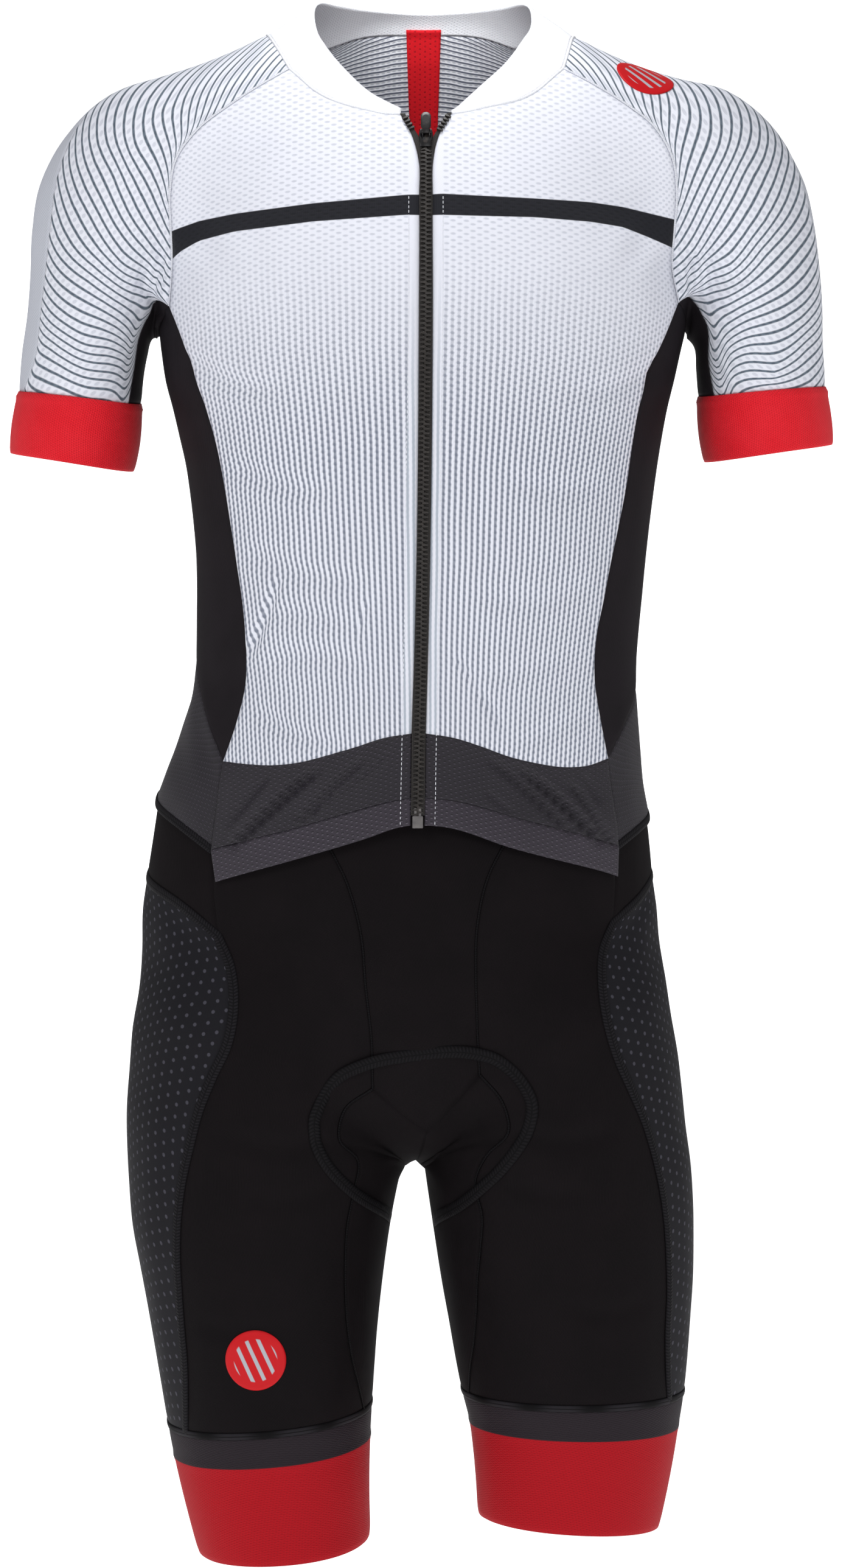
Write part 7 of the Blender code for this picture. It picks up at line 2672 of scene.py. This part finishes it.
    def pull(self) -> None:
        """The pull tab with its round end, a raised rim and a hinge pin."""
        place, tilt = self.lean(self.top_x, self.slider_height)
        hinge_out, hinge_up = 6.0, 2.6
        out, up = np.array((0, -math.cos(tilt), math.sin(tilt))), np.array((0, math.sin(tilt),
                                                                            math.cos(tilt)))
        wide, tip, tongue = 3.1, 13.9, 2.3
        turn = np.linspace(0, math.pi, 17)
        crown = [(wide * math.cos(a), tip - wide + wide * math.sin(a)) for a in turn]
        outline = [(wide, 3.6)] + crown + [(-wide, 3.6), (-tongue, 2.6), (-tongue, -0.9), (tongue, -0.9),
                                           (tongue, 2.6)]
        bm = bmesh.new()
        self.plate(bm, outline, -0.6, 0.6, 0.22)
        inner = [(x * 0.66, (y - 8.6) * 0.62 + 8.8) for x, y in [(wide, 4.6)] + crown + [(-wide, 4.6)]]
        self.plate(bm, inner, 0.5, 0.72, 0.08, 1)
        self.put("zip_pull", bm, place + out * hinge_out + up * hinge_up, tilt,
                 CastZinc("worn_enamelled_zinc", "#1A1718", "#4A403A", 0.6).material(), TAB)

    def box(self) -> None:
        """The box at the bottom, with the two pins that stand in it."""
        place, tilt = self.lean(self.foot_x, self.box_height)
        rise = float(self.rise(place[None])[0])
        bm = bmesh.new()
        self.plate(bm, [(-3.25, -3.7), (3.25, -3.7), (3.25, 3.7), (-3.25, 3.7)], 0.6 + rise, 3.4 + rise, 0.5)
        for sign in (-1, 1):
            pin = sorted((sign * 0.5, sign * 2.2))
            self.plate(bm, [(pin[0], 3.4), (pin[1], 3.4), (pin[1], 8.4), (pin[0], 8.4)], 0.9 + rise,
                       3.0 + rise,
                       0.35)
        self.put("zip_box", bm, place, tilt, self.box_resin.material())


@dataclass
class Patches:
    """Two round plain patches, pressed onto the right sleeve and the left thigh."""

    radius: float = 18.7
    above: float = 24.0          # from the form to where the patch is dropped from
    high: float = 0.9            # of its face above the cloth
    edge: float = 1.2            # how wide its rounded edge is
    edge_drop: float = 0.3
    shoulder: tuple[float, float] = (141.0, -8.1)
    thigh: tuple[float, float] = (-104.7, -818.1)
    finish: HeatPrint = field(default_factory=HeatPrint)
    pieces: list[Piece] = field(default_factory=list)

    def build(self) -> None:
        """Make both patches."""
        material = self.finish.material()
        for name, where, face in (("patch_shoulder", self.shoulder, JERSEY_FACE),
                                  ("patch_thigh", self.thigh, SHORTS_FACE)):
            middle = FRONT.surface(np.array([where], float))[0]
            out = outward(middle[None])[0]
            side = unit(np.cross((0, 0, 1.0), out))
            up = np.cross(out, side)
            square = np.linspace(-1, 1, 31)
            u, v = np.meshgrid(square, square, indexing="ij")
            flat = np.stack([u * np.sqrt(1 - v * v / 2), v * np.sqrt(1 - u * u / 2)], -1) * self.radius
            start = middle + self.above * out + flat[..., :1] * side + flat[..., 1:] * up
            lying = first_crossing(start, np.broadcast_to(-out, start.shape), 3 * self.above, leaving=False)
            reach = np.hypot(*np.moveaxis(flat, -1, 0))
            rounding = -self.edge_drop * soft_step((reach - self.radius + self.edge) / self.edge)
            lift = face + self.high + relief(lying, outward(lying)) + rounding
            self.pieces.append(cloth(name, Panel(lying, np.broadcast_to(out, lying.shape)), lift, material,
                                     {"cut": flat}, slot="red_print", thick=0.6))


@dataclass(frozen=True)
class Lamp:
    """A square soft light: its place and the height it is aimed at, in metres, its side and its power."""

    name: str
    place: tuple[float, float, float]
    aim: float
    size: float
    power: float

    def hang(self) -> None:
        """Put the light into the scene."""
        light = bpy.data.lights.new(self.name, "AREA")
        light.shape = "SQUARE"
        light.size = self.size
        light.energy = self.power
        item = add_object(self.name, light)
        item.location = self.place
        towards = Vector((0, 0, self.aim)) - Vector(self.place)
        item.rotation_euler = towards.to_track_quat("-Z", "Y").to_euler()


LAMPS = (
    Lamp("key", (-1.7, -2.3, 1.2), -0.4, 1.0, 23),
    Lamp("fill", (1.9, -2.4, 0.3), -0.45, 1.3, 9),
    Lamp("neck", (0.2, -2.2, 1.0), 0.0, 0.7, 5),
    Lamp("inside_neck", (0.0, -0.13, 0.17), 0.03, 0.1, 0.42),
    Lamp("top", (0.0, -0.7, 1.7), -0.3, 1.2, 8),
    Lamp("left_side", (-2.3, 0.3, -0.3), -0.45, 1.2, 3.5),
    Lamp("right_side", (2.3, 0.3, -0.3), -0.45, 1.2, 4),
)


@dataclass
class Studio:
    """A white studio: floor and wall in one sweep, soft lights and the camera."""

    floor: float = -1040.0
    wall: float = 7000.0
    sweep: float = 600.0
    wide: float = 3600.0
    front: float = -5000.0       # where the floor ends behind the camera
    high: float = 4000.0         # where the wall ends
    glow: float = 0.9            # of the wall itself, so that it stays white
    sky: float = 0.27            # of the light from all round
    sensor: float = 36.0         # the camera's, across its longer side
    farthest: float = 50.0       # metres that the camera sees

    def build(self) -> None:
        """Make the studio."""
        self.backdrop()
        self.lights()
        self.camera()
        scene = bpy.context.scene
        scene.view_settings.view_transform = "Standard"

    def backdrop(self) -> None:
        """Floor and wall, joined by a round sweep."""
        turn = np.linspace(0, math.pi / 2, 13)
        curve = [(self.wall - self.sweep + self.sweep * math.sin(a),
                  self.floor + self.sweep * (1 - math.cos(a)))
                 for a in turn]
        profile = [(self.front, self.floor)] + curve + [(self.wall, self.high)]
        bm = bmesh.new()
        verts = [bm.verts.new((-self.wide / 2 * MM, y * MM, z * MM)) for y, z in profile]
        edges = [bm.edges.new(pair) for pair in zip(verts[:-1], verts[1:])]
        made = bmesh.ops.extrude_edge_only(bm, edges=edges)
        new = [item for item in made["geom"] if isinstance(item, bmesh.types.BMVert)]
        bmesh.ops.translate(bm, verts=new, vec=(self.wide * MM, 0, 0))
        mesh = finished("studio_sweep", bm)
        item = add_object("studio_sweep", mesh)
        material = PaintedWall().material()
        shader = material.node_tree.nodes["Principled BSDF"]
        shader.inputs["Emission Color"].default_value = (1, 1, 1, 1)
        shader.inputs["Emission Strength"].default_value = self.glow
        mesh.materials.append(material)

    def lights(self) -> None:
        """Large soft lights in front, at both sides and above."""
        world = bpy.data.worlds.new("studio")
        bpy.context.scene.world = world
        world.use_nodes = True
        sky = world.node_tree.nodes["Background"].inputs
        sky["Color"].default_value = colour("#FFFFFF")
        sky["Strength"].default_value = self.sky
        for lamp in LAMPS:
            lamp.hang()

    def camera(self) -> None:
        """The camera, straight in front as in the photograph."""
        data = bpy.data.cameras.new("camera")
        data.sensor_width = self.sensor
        data.lens = data.sensor_width * VIEW_DISTANCE / (PHOTO_HEIGHT * PHOTO_SCALE)
        data.clip_end = self.farthest
        item = add_object("camera", data)
        item.location = (0, -VIEW_DISTANCE * MM, VIEW_HEIGHT * MM)
        item.rotation_euler = (math.pi / 2, 0, 0)
        bpy.context.scene.camera = item


def report(name: str, pieces: Sequence[Piece]) -> None:
    """Log every piece of a sub-assembly."""
    for piece in pieces:
        log.info("%s: %s, %d faces", name, piece.item.name, len(piece.item.data.polygons))


def main() -> None:
    """Build the studio and the suit in order, and write how large it has become."""
    logging.basicConfig(level=logging.INFO, format="%(message)s")
    Studio().build()
    jersey = Jersey()
    jersey.build()
    report("jersey", jersey.pieces)
    collar = Collar()
    collar.build(jersey.back_grid)
    report("collar", collar.pieces)
    for part in (Sleeves(), Shorts(), Zip(), Stitching(), Patches()):
        part.build()
        report(type(part).__name__.lower(), part.pieces)
    for name, (wide, long, area) in FLAT_SIZES.items():
        log.info("cut of %s: %.0f x %.0f mm, %.0f cm2", name, wide, long, area / 100)


if __name__ == "__main__":
    main()
